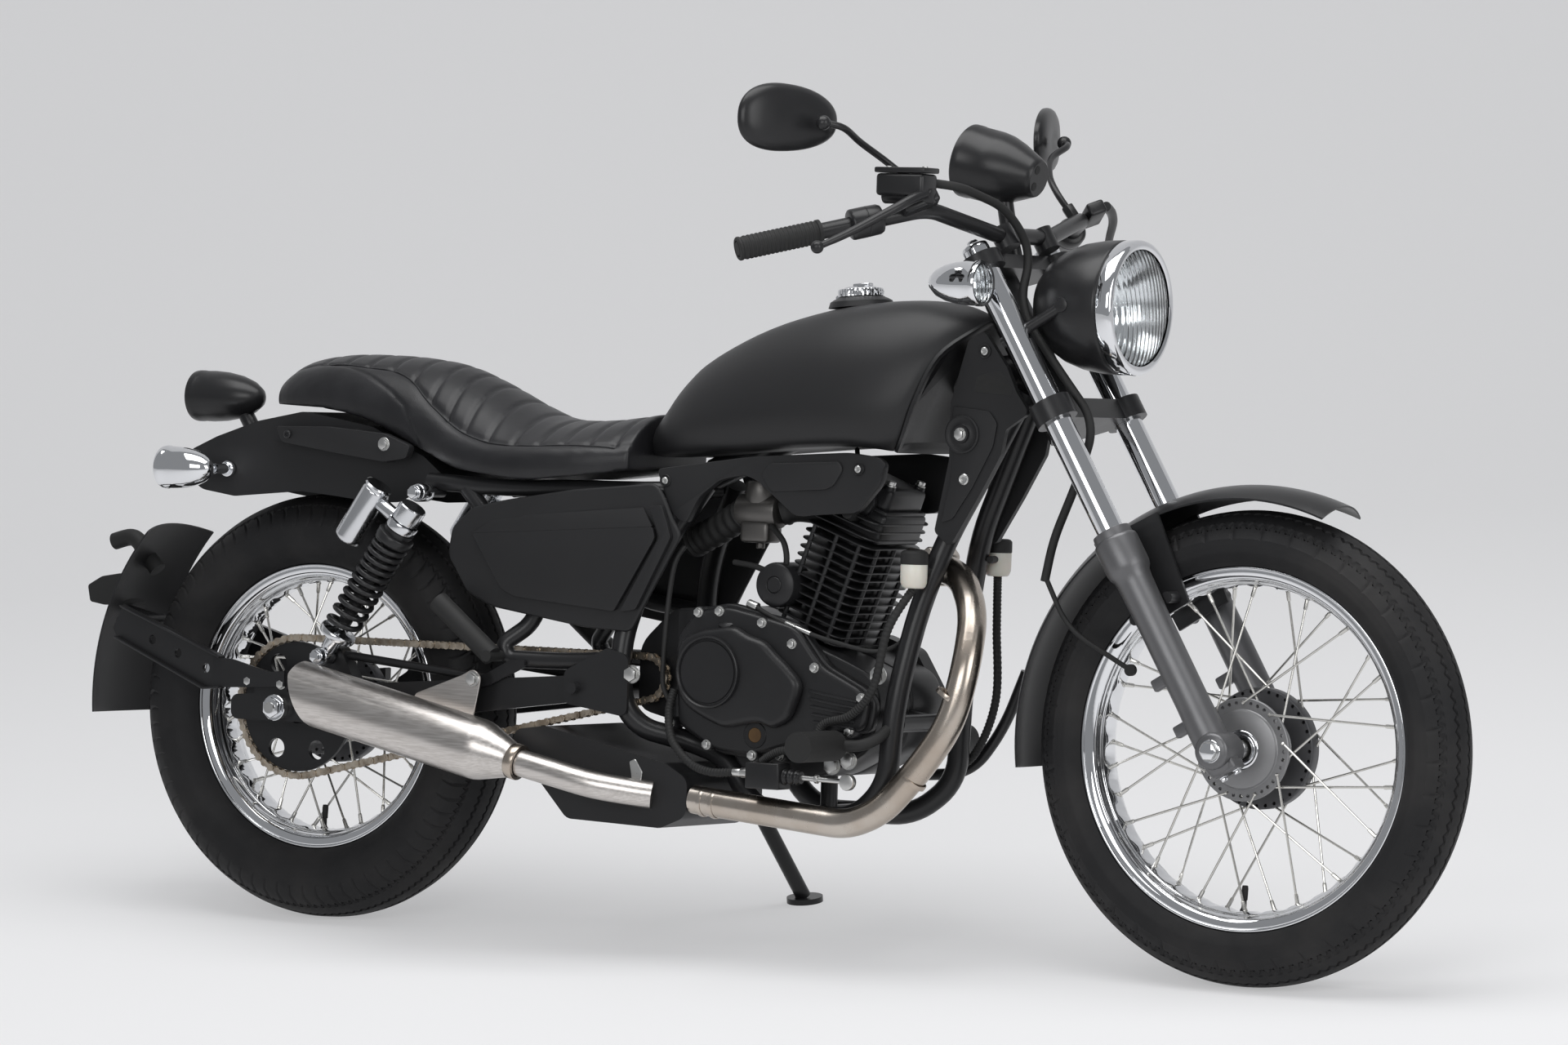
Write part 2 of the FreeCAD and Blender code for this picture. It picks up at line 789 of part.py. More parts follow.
PLATE_LUG_SHARES = (5.68, 0, 3.60)
CROSS_TUBE_SHARES = [(8.40, 0, 1.96), (5.20, 0, 6.33), (9.94, 0, 3.30)]
ENGINE_LUG_SHARES = [((8.40, 0, 1.96), (8.40, 0, 2.49)), ((9.94, 0, 3.30), (9.66, 0, 3.34))]
TANK_PUCK_SHARES = (9.85, 0, 7.92)
HANGER_SHARES = [(3.30, 3.60), (3.44, 3.50), (3.62, 3.54), (4.20, 3.82), (4.20, 3.92), (3.98, 3.92), (3.60, 3.72)]
PIVOT_PLATE_SHARES = [(4.85, 3.35), (5.90, 3.20), (5.90, 4.05), (5.55, 4.15), (4.85, 3.80)]


def silencer_hanger():
    """The plate welded to the right peg loop, which the silencer's bracket bolts to."""
    thick = size("rim_wall")
    out = V(0, -size("hanger_offset"), 0)
    return [plate([spot(along, 0, up) + out for along, up in HANGER_SHARES], thick, Y_AXIS, thick)]


# Swingarm: two beams, a pivot tube and the brackets of the shock absorbers

BEAM_SHARES = [(-0.85, 2.85), (-0.85, 3.20), (0.15, 3.28), (0.60, 3.56), (0.68, 3.98), (1.00, 3.98),
               (1.30, 3.45), (5.22, 3.76), (5.22, 3.40), (1.2, 2.86)]


def swingarm():
    span = size("swingarm_half_span")
    wide = size("swingarm_beam_width")
    pivot = spot(*PIVOT_SHARES)
    hole = size("axle_radius") + clearance
    pin = size("shock_eye_radius") * HALF
    pieces = []
    for side in SIDES:
        points = [spot(along, 0, up) + V(0, side * span - wide * HALF, 0) for along, up in BEAM_SHARES]
        pieces.append(plate(points, wide, Y_AXIS, wide * HALF))
        eye = spot(SHOCK_FOOT_SHARES[0], SHOCK_FOOT_SHARES[1] * -side, SHOCK_FOOT_SHARES[2])
        pieces.append(bar(V(eye.x, side * span, eye.z), eye + V(0, side * size("shock_eye_radius") * EYE_PIN_SHARE, 0), pin))
        brace = spots(BRACE_SHARES, side)
        pieces.append(bar(brace[0], brace[1], wide * HALF * HALF))
        tab_start = V(0, side * span + min(side, 0) * wide * HALF, 0)
        tab = [spot(along, 0, up) + tab_start for along, up in ARM_TAB_SHARES]
        pieces.append(plate(tab, wide * HALF, Y_AXIS))
    across = V(0, span, 0)
    cross = bar(pivot - across, pivot + across, size("swingarm_pivot_radius"))
    arm = cross.fuse(pieces)
    arm = arm.cut(bar(rear_axle - across - across, rear_axle + across + across, hole))
    arm = arm.cut(bar(pivot - across - across, pivot + across + across, hole))
    sub_part("swingarm", feature("arm", arm))


BRACE_SHARES = [(0.90, 1.18, 3.86), (3.70, 1.18, 3.60)]
ARM_TAB_SHARES = [(-0.45, 3.18), (0.12, 3.18), (0.12, 3.58), (-0.45, 3.52)]


def rear_axle_bar():
    """The axle with its spacers, nuts and washers."""
    out = V(0, size("swingarm_half_span") + size("swingarm_beam_width"), 0)
    nut_out = out + V(0, size("axle_radius") * 2, 0)
    rod = bar(rear_axle - nut_out, rear_axle + nut_out, size("axle_radius"))
    parts = [rod]
    for side in SIDES:
        inner = size("swingarm_half_span") + size("swingarm_beam_width") * HALF + clearance
        start = rear_axle + V(0, side * inner, 0)
        parts.append(bar(start, start + V(0, side * size("axle_radius"), 0), size("axle_radius") * 2))
        gap_start = size("chain_line") + size("sprocket_thickness") if side == RIGHT else size("hub_half_width")
        spacer_in = rear_axle + V(0, side * (gap_start + clearance), 0)
        spacer_out = rear_axle + V(0, side * (size("swingarm_half_span")
                                              - size("swingarm_beam_width") * HALF - clearance), 0)
        parts.append(bar(spacer_in, spacer_out, size("axle_radius") * SPACER_SHARE))
    sub_part("rear_axle", feature("rear_axle_rod", parts[0].fuse(parts[1:])))


# Shock absorbers, each with a remote reservoir

COILS = 11


def along_shock(distance, aside=0):
    foot = spot(*SHOCK_FOOT_SHARES)
    axis = (spot(*SHOCK_TOP_SHARES) - foot).normalize()
    back = Y_AXIS.cross(axis).normalize()
    return foot + axis * distance - back * aside


def shock_absorbers():
    """Eyes, rod, body and reservoir of each damper; the spring is a piece of its own."""
    eye = size("shock_eye_radius")
    body_radius = size("shock_body_radius")
    seat_low = size("shock_seat_low")
    seat_high = size("shock_seat_high")
    collar = size("shock_collar_thickness")
    total = (spot(*SHOCK_TOP_SHARES) - spot(*SHOCK_FOOT_SHARES)).Length
    eye_half = V(0, eye, 0)
    pieces = []
    for end in (spot(*SHOCK_TOP_SHARES), spot(*SHOCK_FOOT_SHARES)):
        pieces.append(bar(end - eye_half, end + eye_half, eye))
    pieces.append(bar(along_shock(0), along_shock(seat_low), eye * HALF + eye * HALF * HALF))
    pieces.append(bar(along_shock(seat_low - collar), along_shock(seat_low), size("spring_radius")))
    pieces.append(bar(along_shock(seat_low), along_shock(seat_high), eye * HALF))
    pieces.append(bar(along_shock(seat_high), along_shock(seat_high + collar), size("spring_radius") + clearance))
    body_end = total - eye * HALF - eye * HALF * HALF
    pieces.append(bar(along_shock(seat_high + collar), along_shock(body_end), body_radius))
    aside = size("reservoir_offset")
    low = seat_high - size("reservoir_length") * HALF
    high = low + size("reservoir_length")
    pieces.append(bar(along_shock(low, aside), along_shock(high, aside), size("reservoir_radius")))
    neck = low + size("reservoir_length") - eye - eye * HALF
    pieces.append(bar(along_shock(neck, aside), along_shock(neck), eye))
    shape = pieces[0].fuse(pieces[1:])
    for end in (spot(*SHOCK_TOP_SHARES), spot(*SHOCK_FOOT_SHARES)):
        shape = shape.cut(bar(end - eye_half * 2, end + eye_half * 2, eye * HALF + clearance))
    damper = feature("damper", shape)
    sub_part("shock_absorbers", both_sides("dampers", damper))


def shock_springs():
    """Coil springs, wound from wire between the two spring seats."""
    wire = (size("spring_radius") - size("spring_bore_radius")) * HALF
    mean = size("spring_radius") - wire
    low = size("shock_seat_low") + clearance + wire
    travel = size("shock_seat_high") - clearance - wire - low
    winding = Part.makeHelix(travel / COILS, travel, mean)
    start = Part.Wire(Part.Circle(V(mean, 0, 0), Y_AXIS, wire).toShape())
    coil = Part.Wire(winding.Edges).makePipeShell([start], True, True)
    foot = spot(*SHOCK_FOOT_SHARES)
    wound = feature("wound_spring", coil)
    turn = turn_z_to(spot(*SHOCK_TOP_SHARES) - foot)
    wound.Placement = at(foot, turn).multiply(at(V(0, 0, low)))
    sub_part("shock_springs", both_sides("springs", wound))


# Side layers: flat covers and cases, from outlines in stations and levels

def side_layer(name, table, start, thickness, radius=0):
    """A plate whose inner face is a distance out on the right and that grows outwards."""
    body = new_body(name, at(V(0, -start, 0)))
    pad(body, "XZ_Plane", side_outline(table, radius), thickness)
    return body


CASE_SHARES = [
    (5.66, 3.30), (5.66, 4.20), (6.20, 4.72), (7.40, 4.80), (7.70, 4.646), (9.10, 4.136), (9.55, 3.95), (9.70, 3.60),
    (9.55, 2.90), (8.80, 2.50), (7.55, 2.48), (7.10, 3.05), (6.30, 3.15),
]
COVER_SHARES = [
    (6.51, 4.35), (6.81, 4.75), (7.35, 4.85), (7.94, 4.73), (8.49, 4.60), (8.93, 4.06), (9.57, 3.76),
    (9.72, 3.57), (9.66, 3.17), (8.88, 3.05), (8.49, 2.90), (7.80, 2.72), (7.20, 2.76), (6.56, 3.12),
]
BULGE_SHARES = [
    (7.11, 4.66), (7.71, 4.60), (8.06, 4.66), (8.36, 4.44), (8.61, 4.28), (8.76, 3.88), (8.71, 3.52),
    (8.56, 3.20), (8.31, 3.10), (7.91, 3.12), (7.31, 3.02), (6.81, 3.28), (6.64, 3.70), (6.64, 4.10),
    (6.80, 4.45),
]
LEFT_COVER_SHARES = [
    (8.05, 4.10), (8.60, 4.45), (9.20, 4.25), (9.55, 3.70), (9.45, 3.05), (8.95, 2.70), (8.30, 2.75),
    (7.90, 3.20), (7.85, 3.70),
]
DISC_SHARES = (7.22, 3.90)


def crankcase():
    """The case is as wide as the covers' joint faces, with a well for the chain at the right."""
    case = new_body("case")
    pad(case, "XZ_Plane", side_outline(CASE_SHARES, size("case_corner_radius")), "Sizes.case_width", both_ways=True)
    half = size("case_width") * HALF
    inner = size("chain_line") - size("chain_width")
    well = block("well", "Sizes.chain_well_length", "Sizes.case_width", "Sizes.case_width",
                 at(V(size("chain_well_station"), -inner - size("case_width"), size("chain_well_level"))))
    return sub_part("engine_crankcase", cut("case_cut", case, well))


def engine_covers():
    half = size("case_width") * HALF + clearance
    base = side_layer("cover_base", COVER_SHARES, half, "Sizes.cover_thickness", size("cover_corner_radius"))
    bulge = side_layer("cover_bulge", BULGE_SHARES, half + size("cover_thickness"), "Sizes.bulge_thickness",
                       size("cover_corner_radius"))
    disc_face = half + size("cover_thickness") + size("bulge_thickness")
    centre = spot(DISC_SHARES[0], 0, DISC_SHARES[1]) - V(0, disc_face, 0)
    disc = cylinder("cover_disc", "Sizes.cover_disc_radius", "Sizes.cover_disc_thickness",
                    at(centre, turn_z_to(-Y_AXIS)))
    sub_part("clutch_cover", fused("right_cover", [base, bulge, disc]))
    left = side_layer("generator_cover_layer", LEFT_COVER_SHARES, half, "Sizes.cover_thickness", size("case_corner_radius"))
    sub_part("generator_cover", mirrored("left_cover", left))


def tilted(name, length, width, height, rise, forward=0):
    """A block centred on the cylinder's own leaning axis."""
    turn = FreeCAD.Rotation(Y_AXIS, size("cylinder_tilt"))
    corner = V(forward - size(length) * HALF, -size(width) * HALF, rise + clearance)
    return block(name, "Sizes." + length, "Sizes." + width, "Sizes." + height,
                 at(spot(*CYLINDER_FOOT_SHARES) + turn.multVec(corner), turn))


CYLINDER_FOOT_SHARES = (8.32, 0, 4.42)


def cylinder_and_head():
    """A round barrel with thin square fins, then the head and its rocker cover."""
    turn = FreeCAD.Rotation(Y_AXIS, size("cylinder_tilt"))
    foot = at(spot(*CYLINDER_FOOT_SHARES) + turn.multVec(V(0, 0, clearance)), turn)
    barrel = cylinder("barrel", "Sizes.barrel_radius", "Sizes.fin_pitch * Sizes.fin_count", foot)
    fins = [barrel]
    for number in range(int(size("fin_count"))):
        fins.append(tilted("fin", "fin_length", "fin_width", "fin_thickness", size("fin_pitch") * (number + HALF)))
    sub_part("engine_cylinder", fused("cylinder_fins", fins))
    rise = size("fin_pitch") * size("fin_count") + clearance
    head = [tilted("head_block", "head_length", "head_width", "head_height", rise)]
    head.append(tilted("rocker_cover", "rocker_length", "rocker_width", "rocker_height",
                       rise + size("head_height")))
    for number in range(HEAD_FINS):
        head.append(tilted("head_fin", "fin_length", "fin_width", "fin_thickness",
                           rise + size("fin_pitch") * (number + HALF)))
    sub_part("engine_head", fused("head_fins", head))


HEAD_FINS = 3
CARBURETTOR_SHARES = (7.45, -0.45, 6.12)
INTAKE_SHARES = [(8.55, -0.10, 6.10), (8.05, -0.25, 6.20), (7.75, -0.42, 6.15)]
AIR_HOSE_SHARES = [(7.20, -0.45, 6.10), (6.70, -0.30, 5.85), (6.10, -0.10, 5.62)]


def intake():
    """Carburettor on the intake stub, with the air hose that leads back behind the side cover."""
    centre = spot(*CARBURETTOR_SHARES)
    half = V(size("carburettor_length") * HALF, 0, 0)
    up = V(0, 0, size("carburettor_height") * HALF)
    bowl = size("carburettor_radius")
    body = bar(centre - half, centre + half, bowl).fuse(bar(centre - up, centre + up, bowl))
    stub = tube(spots(INTAKE_SHARES), size("header_radius"))
    hose = tube(spots(AIR_HOSE_SHARES), size("header_radius"))
    shape = body.fuse([stub, hose]).cut(fin_space())
    sub_part("carburettor", feature("carburettor_body", shape))


def fin_space():
    """The square column that the cylinder and head fill, a little enlarged."""
    turn = FreeCAD.Rotation(Y_AXIS, size("cylinder_tilt"))
    long = size("fin_length") + clearance * 2
    wide = size("fin_width") + clearance * 2
    column = Part.makeBox(long, wide, wide + wide, V(-long * HALF, -wide * HALF, 0))
    column.Placement = at(spot(*CYLINDER_FOOT_SHARES), turn)
    return column


# Exhaust

HEADER_SHARES = [
    (9.62, -0.10, 5.50), (10.45, -0.12, 5.40), (10.98, -0.62, 4.85), (11.10, -1.02, 4.10), (10.95, -1.12, 3.35),
    (10.50, -1.18, 2.70), (9.98, -1.25, 2.12), (9.45, -1.25, 1.90), (6.98, -1.25, 2.12),
]
BOX_SHARES = [(3.90, 2.92), (4.60, 3.02), (6.60, 2.60), (6.96, 2.40), (6.96, 1.88), (6.54, 1.70), (5.00, 1.75)]
SILENCER_TAIL_SHARES = (0.72, -1.88, 3.34)
SILENCER_NOSE_SHARES = (4.46, -1.88, 2.52)
LINK_SHARES = [(4.46, -1.88, 2.52), (5.60, -1.76, 2.27), (6.60, -1.30, 2.12)]


SLASH_REACH = 4


def silencer_profile(length):
    """Straight can, shoulder cone and collar, as half of its section."""
    can = size("silencer_radius")
    pipe = size("silencer_pipe_radius")
    cone_start = length - can - can * HALF
    bore = can - size("rim_wall")
    depth = can + can
    return [(0, depth), (bore, depth), (bore, 0), (can, 0), (can, cone_start),
            (pipe + size("rim_wall"), length - size("rim_wall")), (pipe + size("rim_wall"), length), (0, length)]


def slash_space(tail, nose):
    """What the slanting cut takes off the silencer's tail, most of it from below."""
    reach = size("silencer_radius") * SLASH_REACH
    along = (nose - tail).normalize()
    outward = FreeCAD.Rotation(Y_AXIS, -size("slash_angle")).multVec(along)
    top = tail + Y_AXIS.cross(along) * -size("silencer_radius")
    block_shape = Part.makeBox(reach, reach, reach)
    turn = FreeCAD.Rotation(X_AXIS, outward)
    block_shape.Placement = at(top + turn.multVec(V(-reach, -reach * HALF, -reach * HALF)), turn)
    return feature("slash_space", block_shape)


def silencer_bracket():
    """The three-cornered plate on the silencer and the spacer that its bolt passes through."""
    thick = size("chain_link_height") * HALF * HALF
    out = V(0, -size("silencer_bracket_offset"), 0)
    sheet_plate = plate([spot(along, 0, up) + out for along, up in SILENCER_BRACKET_SHARES], thick, Y_AXIS,
                        size("rail_radius"))
    bolt = spot(*BRACKET_BOLT_SHARES)
    inner = V(0, -size("hanger_offset") - clearance, 0)
    return feature("silencer_bracket", sheet_plate.fuse(bar(bolt + out, bolt + inner, size("axle_radius"))))


SILENCER_BRACKET_SHARES = [(2.48, 3.37), (3.30, 3.68), (3.45, 3.77), (3.60, 3.67), (3.55, 3.40), (3.46, 3.00), (2.48, 3.20)]
BRACKET_BOLT_SHARES = (3.46, 0, 3.62)


def exhaust():
    sub_part("exhaust_header", feature("header_pipe", tube(spots(HEADER_SHARES), size("header_radius"))))
    box = new_body("box", at(V(0, -size("exhaust_box_right"), 0)))
    pad(box, "XZ_Plane", side_outline(BOX_SHARES, size("case_corner_radius")), "Sizes.exhaust_box_width")
    box.Placement = at(V(0, size("exhaust_box_width") - size("exhaust_box_right"), 0))
    doc.recompute()
    box_shape = box.Shape.copy()
    sub_part("exhaust_box", box)
    tail = spot(*SILENCER_TAIL_SHARES)
    nose = spot(*SILENCER_NOSE_SHARES)
    can = new_body("can", at(tail, turn_z_to(nose - tail)))
    revolve(can, outline(silencer_profile((nose - tail).Length)))
    link = feature("link", tube(spots(LINK_SHARES), size("silencer_pipe_radius")).cut(box_shape))
    can_and_link = fused("can_and_link", [can, link, silencer_bracket()])
    sub_part("silencer", cut("slashed_silencer", can_and_link, slash_space(tail, nose)))


# Bodywork

TANK_SHARES = [
    (5.635, 6.80, 0.40, 7.05, 0.50, 7.28, 0.38, 7.46),
    (6.00, 6.82, 0.60, 7.18, 0.74, 7.55, 0.58, 7.86),
    (6.60, 6.86, 0.80, 7.32, 0.99, 7.92, 0.74, 8.28),
    (7.50, 6.95, 0.96, 7.48, 1.20, 8.25, 0.88, 8.70),
    (8.50, 7.04, 1.06, 7.60, 1.33, 8.45, 0.96, 8.98),
    (9.20, 7.06, 1.06, 7.62, 1.35, 8.53, 0.95, 9.07),
    (9.60, 7.04, 1.00, 7.60, 1.30, 8.48, 0.98, 9.09, 0.146),
    (9.78, 7.02, 0.93, 7.60, 1.19, 8.42, 0.96, 9.02, 0.32),
    (9.82, 7.04, 0.89, 7.60, 1.10, 8.36, 0.86, 8.86, 0.48),
]
TUNNEL_SHARES = [
    (11.90, 8.70), (10.30, 8.45), (8.60, 8.00), (6.30, 7.02), (5.30, 6.60), (5.30, 5.50), (11.90, 5.50),
]
SEAT_SHARES = [
    (-0.70, 7.38, 0.50, 7.50, 0.52, 7.62, 0.42, 7.72),
    (-0.30, 7.35, 0.76, 7.60, 0.78, 7.84, 0.64, 8.03),
    (0.30, 7.35, 0.88, 7.62, 0.90, 7.92, 0.74, 8.13),
    (1.00, 7.24, 0.95, 7.55, 0.98, 7.88, 0.80, 8.14),
    (1.60, 7.04, 1.02, 7.38, 1.05, 7.72, 0.87, 8.11),
    (2.20, 6.78, 1.10, 7.10, 1.15, 7.45, 0.97, 8.02),
    (2.80, 6.56, 1.20, 6.85, 1.26, 7.12, 1.09, 7.80),
    (3.40, 6.46, 1.28, 6.70, 1.34, 6.95, 1.18, 7.52),
    (4.00, 6.44, 1.30, 6.68, 1.36, 6.93, 1.20, 7.32),
    (4.80, 6.50, 1.22, 6.74, 1.27, 6.98, 1.12, 7.32),
    (5.63, 6.62, 1.02, 6.83, 1.05, 7.04, 0.92, 7.44),
]


def section(along, base, base_half, middle, middle_half, shoulder, shoulder_half, crown, slant=0):
    """A cross-section: flat underside, bulging sides and a crowned top. A slant leans its plane forwards."""
    def point(across, up):
        return spot(along + slant * (up - base), across, up)
    edges = [
        Part.LineSegment(point(-base_half, base), point(base_half, base)),
        Part.Arc(point(base_half, base), point(middle_half, middle), point(shoulder_half, shoulder)),
        Part.Arc(point(shoulder_half, shoulder), point(0, crown), point(-shoulder_half, shoulder)),
        Part.Arc(point(-shoulder_half, shoulder), point(-middle_half, middle), point(-base_half, base)),
    ]
    return Part.Wire([edge.toShape() for edge in edges])


def loft(table):
    return Part.makeLoft([section(*row) for row in table], True, False)


def tank():
    """A teardrop over the backbone, with a filler ring on top."""
    half = size("tunnel_half_width")
    points = [spot(along, 0, up) - V(0, half, 0) for along, up in TUNNEL_SHARES]
    tunnel = plate(points, half + half, Y_AXIS)
    shape = loft(TANK_SHARES).cut(tunnel)
    cap = cap_place()
    ring = Part.makeCylinder(size("tank_cap_radius") + size("rim_wall"), size("filler_ring_height") * 2)
    ring.Placement = cap.multiply(at(V(0, 0, -size("filler_ring_height") * 2)))
    sub_part("fuel_tank", feature("tank_shell", shape.fuse(ring).cut(lid_knuckle(clearance))))


def cap_place():
    return at(spot(*CAP_SHARES), FreeCAD.Rotation(Y_AXIS, -size("cap_tilt")))


CAP_SHARES = (8.67, 0, 9.12)


def lid_knuckle(grow):
    """The round knuckle at the lid's rear edge, or with grow the space it turns in."""
    pin = cap_place().multVec(V(-size("tank_cap_radius"), 0, clearance))
    half = Y_AXIS * (size("lid_knuckle_length") * HALF + grow)
    return bar(pin - half, pin + half, size("lid_knuckle_radius") + grow)


def fuel_lid():
    """A flip-up cap that turns on a knuckle at its rear edge."""
    radius = size("tank_cap_radius")
    place = cap_place()
    body = new_body("lid", place.multiply(at(V(0, 0, clearance))))
    thick = size("cap_thickness")
    profile = [(0, 0), (radius, 0), (radius, thick * HALF), (radius - thick * HALF, thick), (0, thick)]
    revolve(body, outline(profile))
    knuckle = feature("lid_knuckle", lid_knuckle(0))
    sub_part("fuel_lid", fused("lid_and_knuckle", [body, knuckle]))


def seat():
    sub_part("seat", feature("seat_pad", loft(SEAT_SHARES)))


SIDE_COVER_SHARES = [
    (2.86, 5.73), (3.19, 6.03), (3.75, 6.13), (4.84, 6.30), (6.20, 6.43), (6.32, 6.30), (6.50, 5.95),
    (6.62, 5.78), (5.85, 4.38), (5.12, 4.41), (3.55, 4.64), (3.15, 4.82), (2.86, 5.35),
]
RAISED_PANEL_SHARES = [
    [(3.22, 5.66), (3.60, 5.90), (6.02, 6.12), (6.22, 5.86), (6.26, 5.70), (5.62, 4.66), (3.96, 4.80), (3.74, 4.90)],
    [(6.16, 6.14), (6.32, 6.18), (6.40, 5.98), (6.52, 5.74), (5.98, 4.70), (5.72, 4.66), (6.36, 5.72)],
]
TANK_TRIM_SHARES = [
    (6.15, 6.66), (7.67, 6.88), (9.20, 6.98), (9.70, 6.93), (9.81, 6.84), (9.75, 6.56), (9.40, 6.16),
    (8.41, 6.08), (7.80, 6.54), (7.59, 6.62), (7.18, 6.54), (6.85, 6.29), (6.64, 5.90), (6.41, 6.05),
]
NECK_COVER_SHARES = [
    (11.02, 8.70), (10.78, 8.56), (10.53, 7.70), (10.53, 6.92), (10.33, 5.94), (10.58, 5.74),
    (11.00, 6.42), (11.34, 7.02), (11.40, 7.36), (11.76, 7.60), (11.55, 7.88), (11.40, 8.20),
]
FENDER_RAIL_SHARES = [
    (-0.45, 7.05), (-0.45, 6.88), (1.10, 6.66), (1.55, 6.60), (1.95, 6.70), (1.60, 6.92), (1.00, 7.06),
]


def side_panels():
    base = side_layer("side_cover_layer", SIDE_COVER_SHARES, size("side_cover_offset"), "Sizes.side_cover_thickness",
                      size("cover_corner_radius"))
    raised = []
    for number, table in enumerate(RAISED_PANEL_SHARES):
        raised.append(side_layer("raised_panel_%d" % number, table, size("side_cover_offset") +
                                 size("side_cover_thickness"), "Sizes.side_cover_lift", size("hose_radius")))
    cover = fused("side_cover_shell", [base] + raised)
    space = feature("rear_tube_space", tube(cradle_line(RIGHT), size("cradle_radius") + clearance))
    sub_part("side_covers", both_sides("side_cover_pair", cut("side_cover", cover, space)))
    trim = side_layer("tank_trim_layer", TANK_TRIM_SHARES, size("tank_trim_offset"), "Sizes.panel_thickness",
                      size("trim_corner_radius"))
    sub_part("tank_trims", both_sides("tank_trim_pair", trim))
    neck = side_layer("neck_cover_layer", NECK_COVER_SHARES, size("neck_cover_offset"), "Sizes.neck_cover_thickness",
                      size("trim_corner_radius"))
    space = feature("cradle_space", tube(cradle_line(RIGHT), size("cradle_radius") + clearance))
    sub_part("neck_covers", both_sides("neck_cover_pair", cut("neck_cover", neck, space)))
    rail = side_layer("fender_rail_layer", FENDER_RAIL_SHARES, size("rear_fender_half_width") + clearance,
                      "Sizes.panel_thickness", size("trim_corner_radius"))
    sub_part("fender_rails", both_sides("fender_rail_pair", rail))


REAR_FENDER_SHARES = [
    (-2.12, 6.60), (-1.50, 6.88), (-0.80, 7.12), (0.00, 7.28), (1.20, 7.10), (2.10, 6.70), (2.60, 6.32),
    (2.20, 6.30), (1.70, 6.04), (1.30, 6.02), (0.61, 6.09), (0.01, 6.14), (-1.17, 6.03), (-1.80, 6.12),
]
REAR_FENDER_HOLLOW_SHARES = [
    (-2.30, 6.30), (-1.50, 6.78), (-0.80, 7.00), (0.00, 7.16), (1.20, 6.98), (2.05, 6.60), (2.60, 6.20),
    (2.80, 5.50), (-2.30, 5.50),
]


def rear_fender():
    """A skirted shell, open below, over the rear tyre."""
    body = new_body("rear_fender_shell")
    pad(body, "XZ_Plane", side_outline(REAR_FENDER_SHARES, size("fender_corner_radius")), "Sizes.rear_fender_half_width * 2",
        both_ways=True)
    pocket(body, "XZ_Plane", side_outline(REAR_FENDER_HOLLOW_SHARES, size("fender_corner_radius")),
           "Sizes.rear_fender_half_width * 2 - Sizes.fender_thickness * 2", both_ways=True)
    sub_part("rear_fender", body)


def front_fender():
    """A crowned strip that follows the tyre, with side plates down to the fork legs."""
    outer = size("front_tyre_radius") + size("front_fender_gap")
    thick = size("fender_thickness")
    half = size("front_fender_half_width")
    drop = size("front_fender_drop")
    low, high = outer - drop, outer - thick
    edges = [
        Part.Arc(V(low, -half, 0), V(outer, 0, 0), V(low, half, 0)),
        Part.LineSegment(V(low, half, 0), V(low - thick, half, 0)),
        Part.Arc(V(low - thick, half, 0), V(high, 0, 0), V(low - thick, -half, 0)),
        Part.LineSegment(V(low - thick, -half, 0), V(low, -half, 0)),
    ]
    face = Part.Face(Part.Wire([edge.toShape() for edge in edges]))
    face.rotate(V(0, 0, 0), Y_AXIS, -size("front_fender_start"))
    strip = face.revolve(V(0, 0, 0), -Y_AXIS, size("front_fender_sweep"))
    strip.translate(front_axle)
    pieces = [strip]
    for side in SIDES:
        inner = V(0, side * (half - thick), 0)
        points = [fork_frame.multVec(fork_spot(ahead, 0, up)) + inner for ahead, up in FENDER_PLATE_SHARES]
        pieces.append(plate(points, thick * side + thick * side, Y_AXIS))
        for ahead, up in FENDER_LUG_SHARES:
            lug = fork_frame.multVec(fork_spot(ahead, 0, up))
            reach = size("fork_half_spacing") - size("slider_radius") * HALF
            pieces.append(bar(lug + inner, lug + V(0, side * reach, 0), size("axle_radius")))
    shape = pieces[0].fuse(pieces[1:])
    for side in SIDES:
        shape = shape.cut(slider_shape(side, clearance))
    sub_part("front_fender", feature("front_fender_strip", shape))


FENDER_PLATE_SHARES = [(-0.05, 2.05), (0.80, 2.05), (0.95, 3.34), (-0.10, 3.42)]
FENDER_LUG_SHARES = [(0.66, 2.20), (0.09, 2.17)]


# Tail

TAIL_LAMP_SHARES = (-1.34, 0, 7.45)
STALK_FOOT_SHARES = (-1.48, 0, 6.894)
STALK_TIP_SHARES = (-1.75, 0, 7.30)
FENDER_NORMAL_SHARES = (-1, 0, 2.5)
INDICATOR_SHARES = (-1.18, -1.45, 6.42)
HUGGER_LINK_SHARES = [(-1.15, 3.72), (-1.15, 3.28), (0.10, 3.35), (0.10, 3.57), (-0.16, 3.55), (-0.82, 3.70)]
HUGGER_BAR_SHARES = [(-0.98, 3.74), (-3.03, 4.39), (-3.22, 4.05), (-3.14, 3.91), (-1.30, 3.25), (-0.98, 3.28)]
HUGGER_CROSS_SHARES = (-3.10, 0, 4.15)
ARM_BEND_SHARE = -0.98
ARM_HOLE_SHARES = [(-2.41, 3.91), (-1.885, 3.74), (-1.308, 3.553)]


DOME_STEPS = 6
QUARTER_TURN = 90


def dome(radius, start, end):
    """A quarter of an ellipse from the widest point to the axis, in short straight steps."""
    points = []
    for step in range(DOME_STEPS):
        turn = math.radians(QUARTER_TURN * step / DOME_STEPS)
        points.append((radius * math.cos(turn), start + (end - start) * math.sin(turn)))
    return points + [(0, end)]


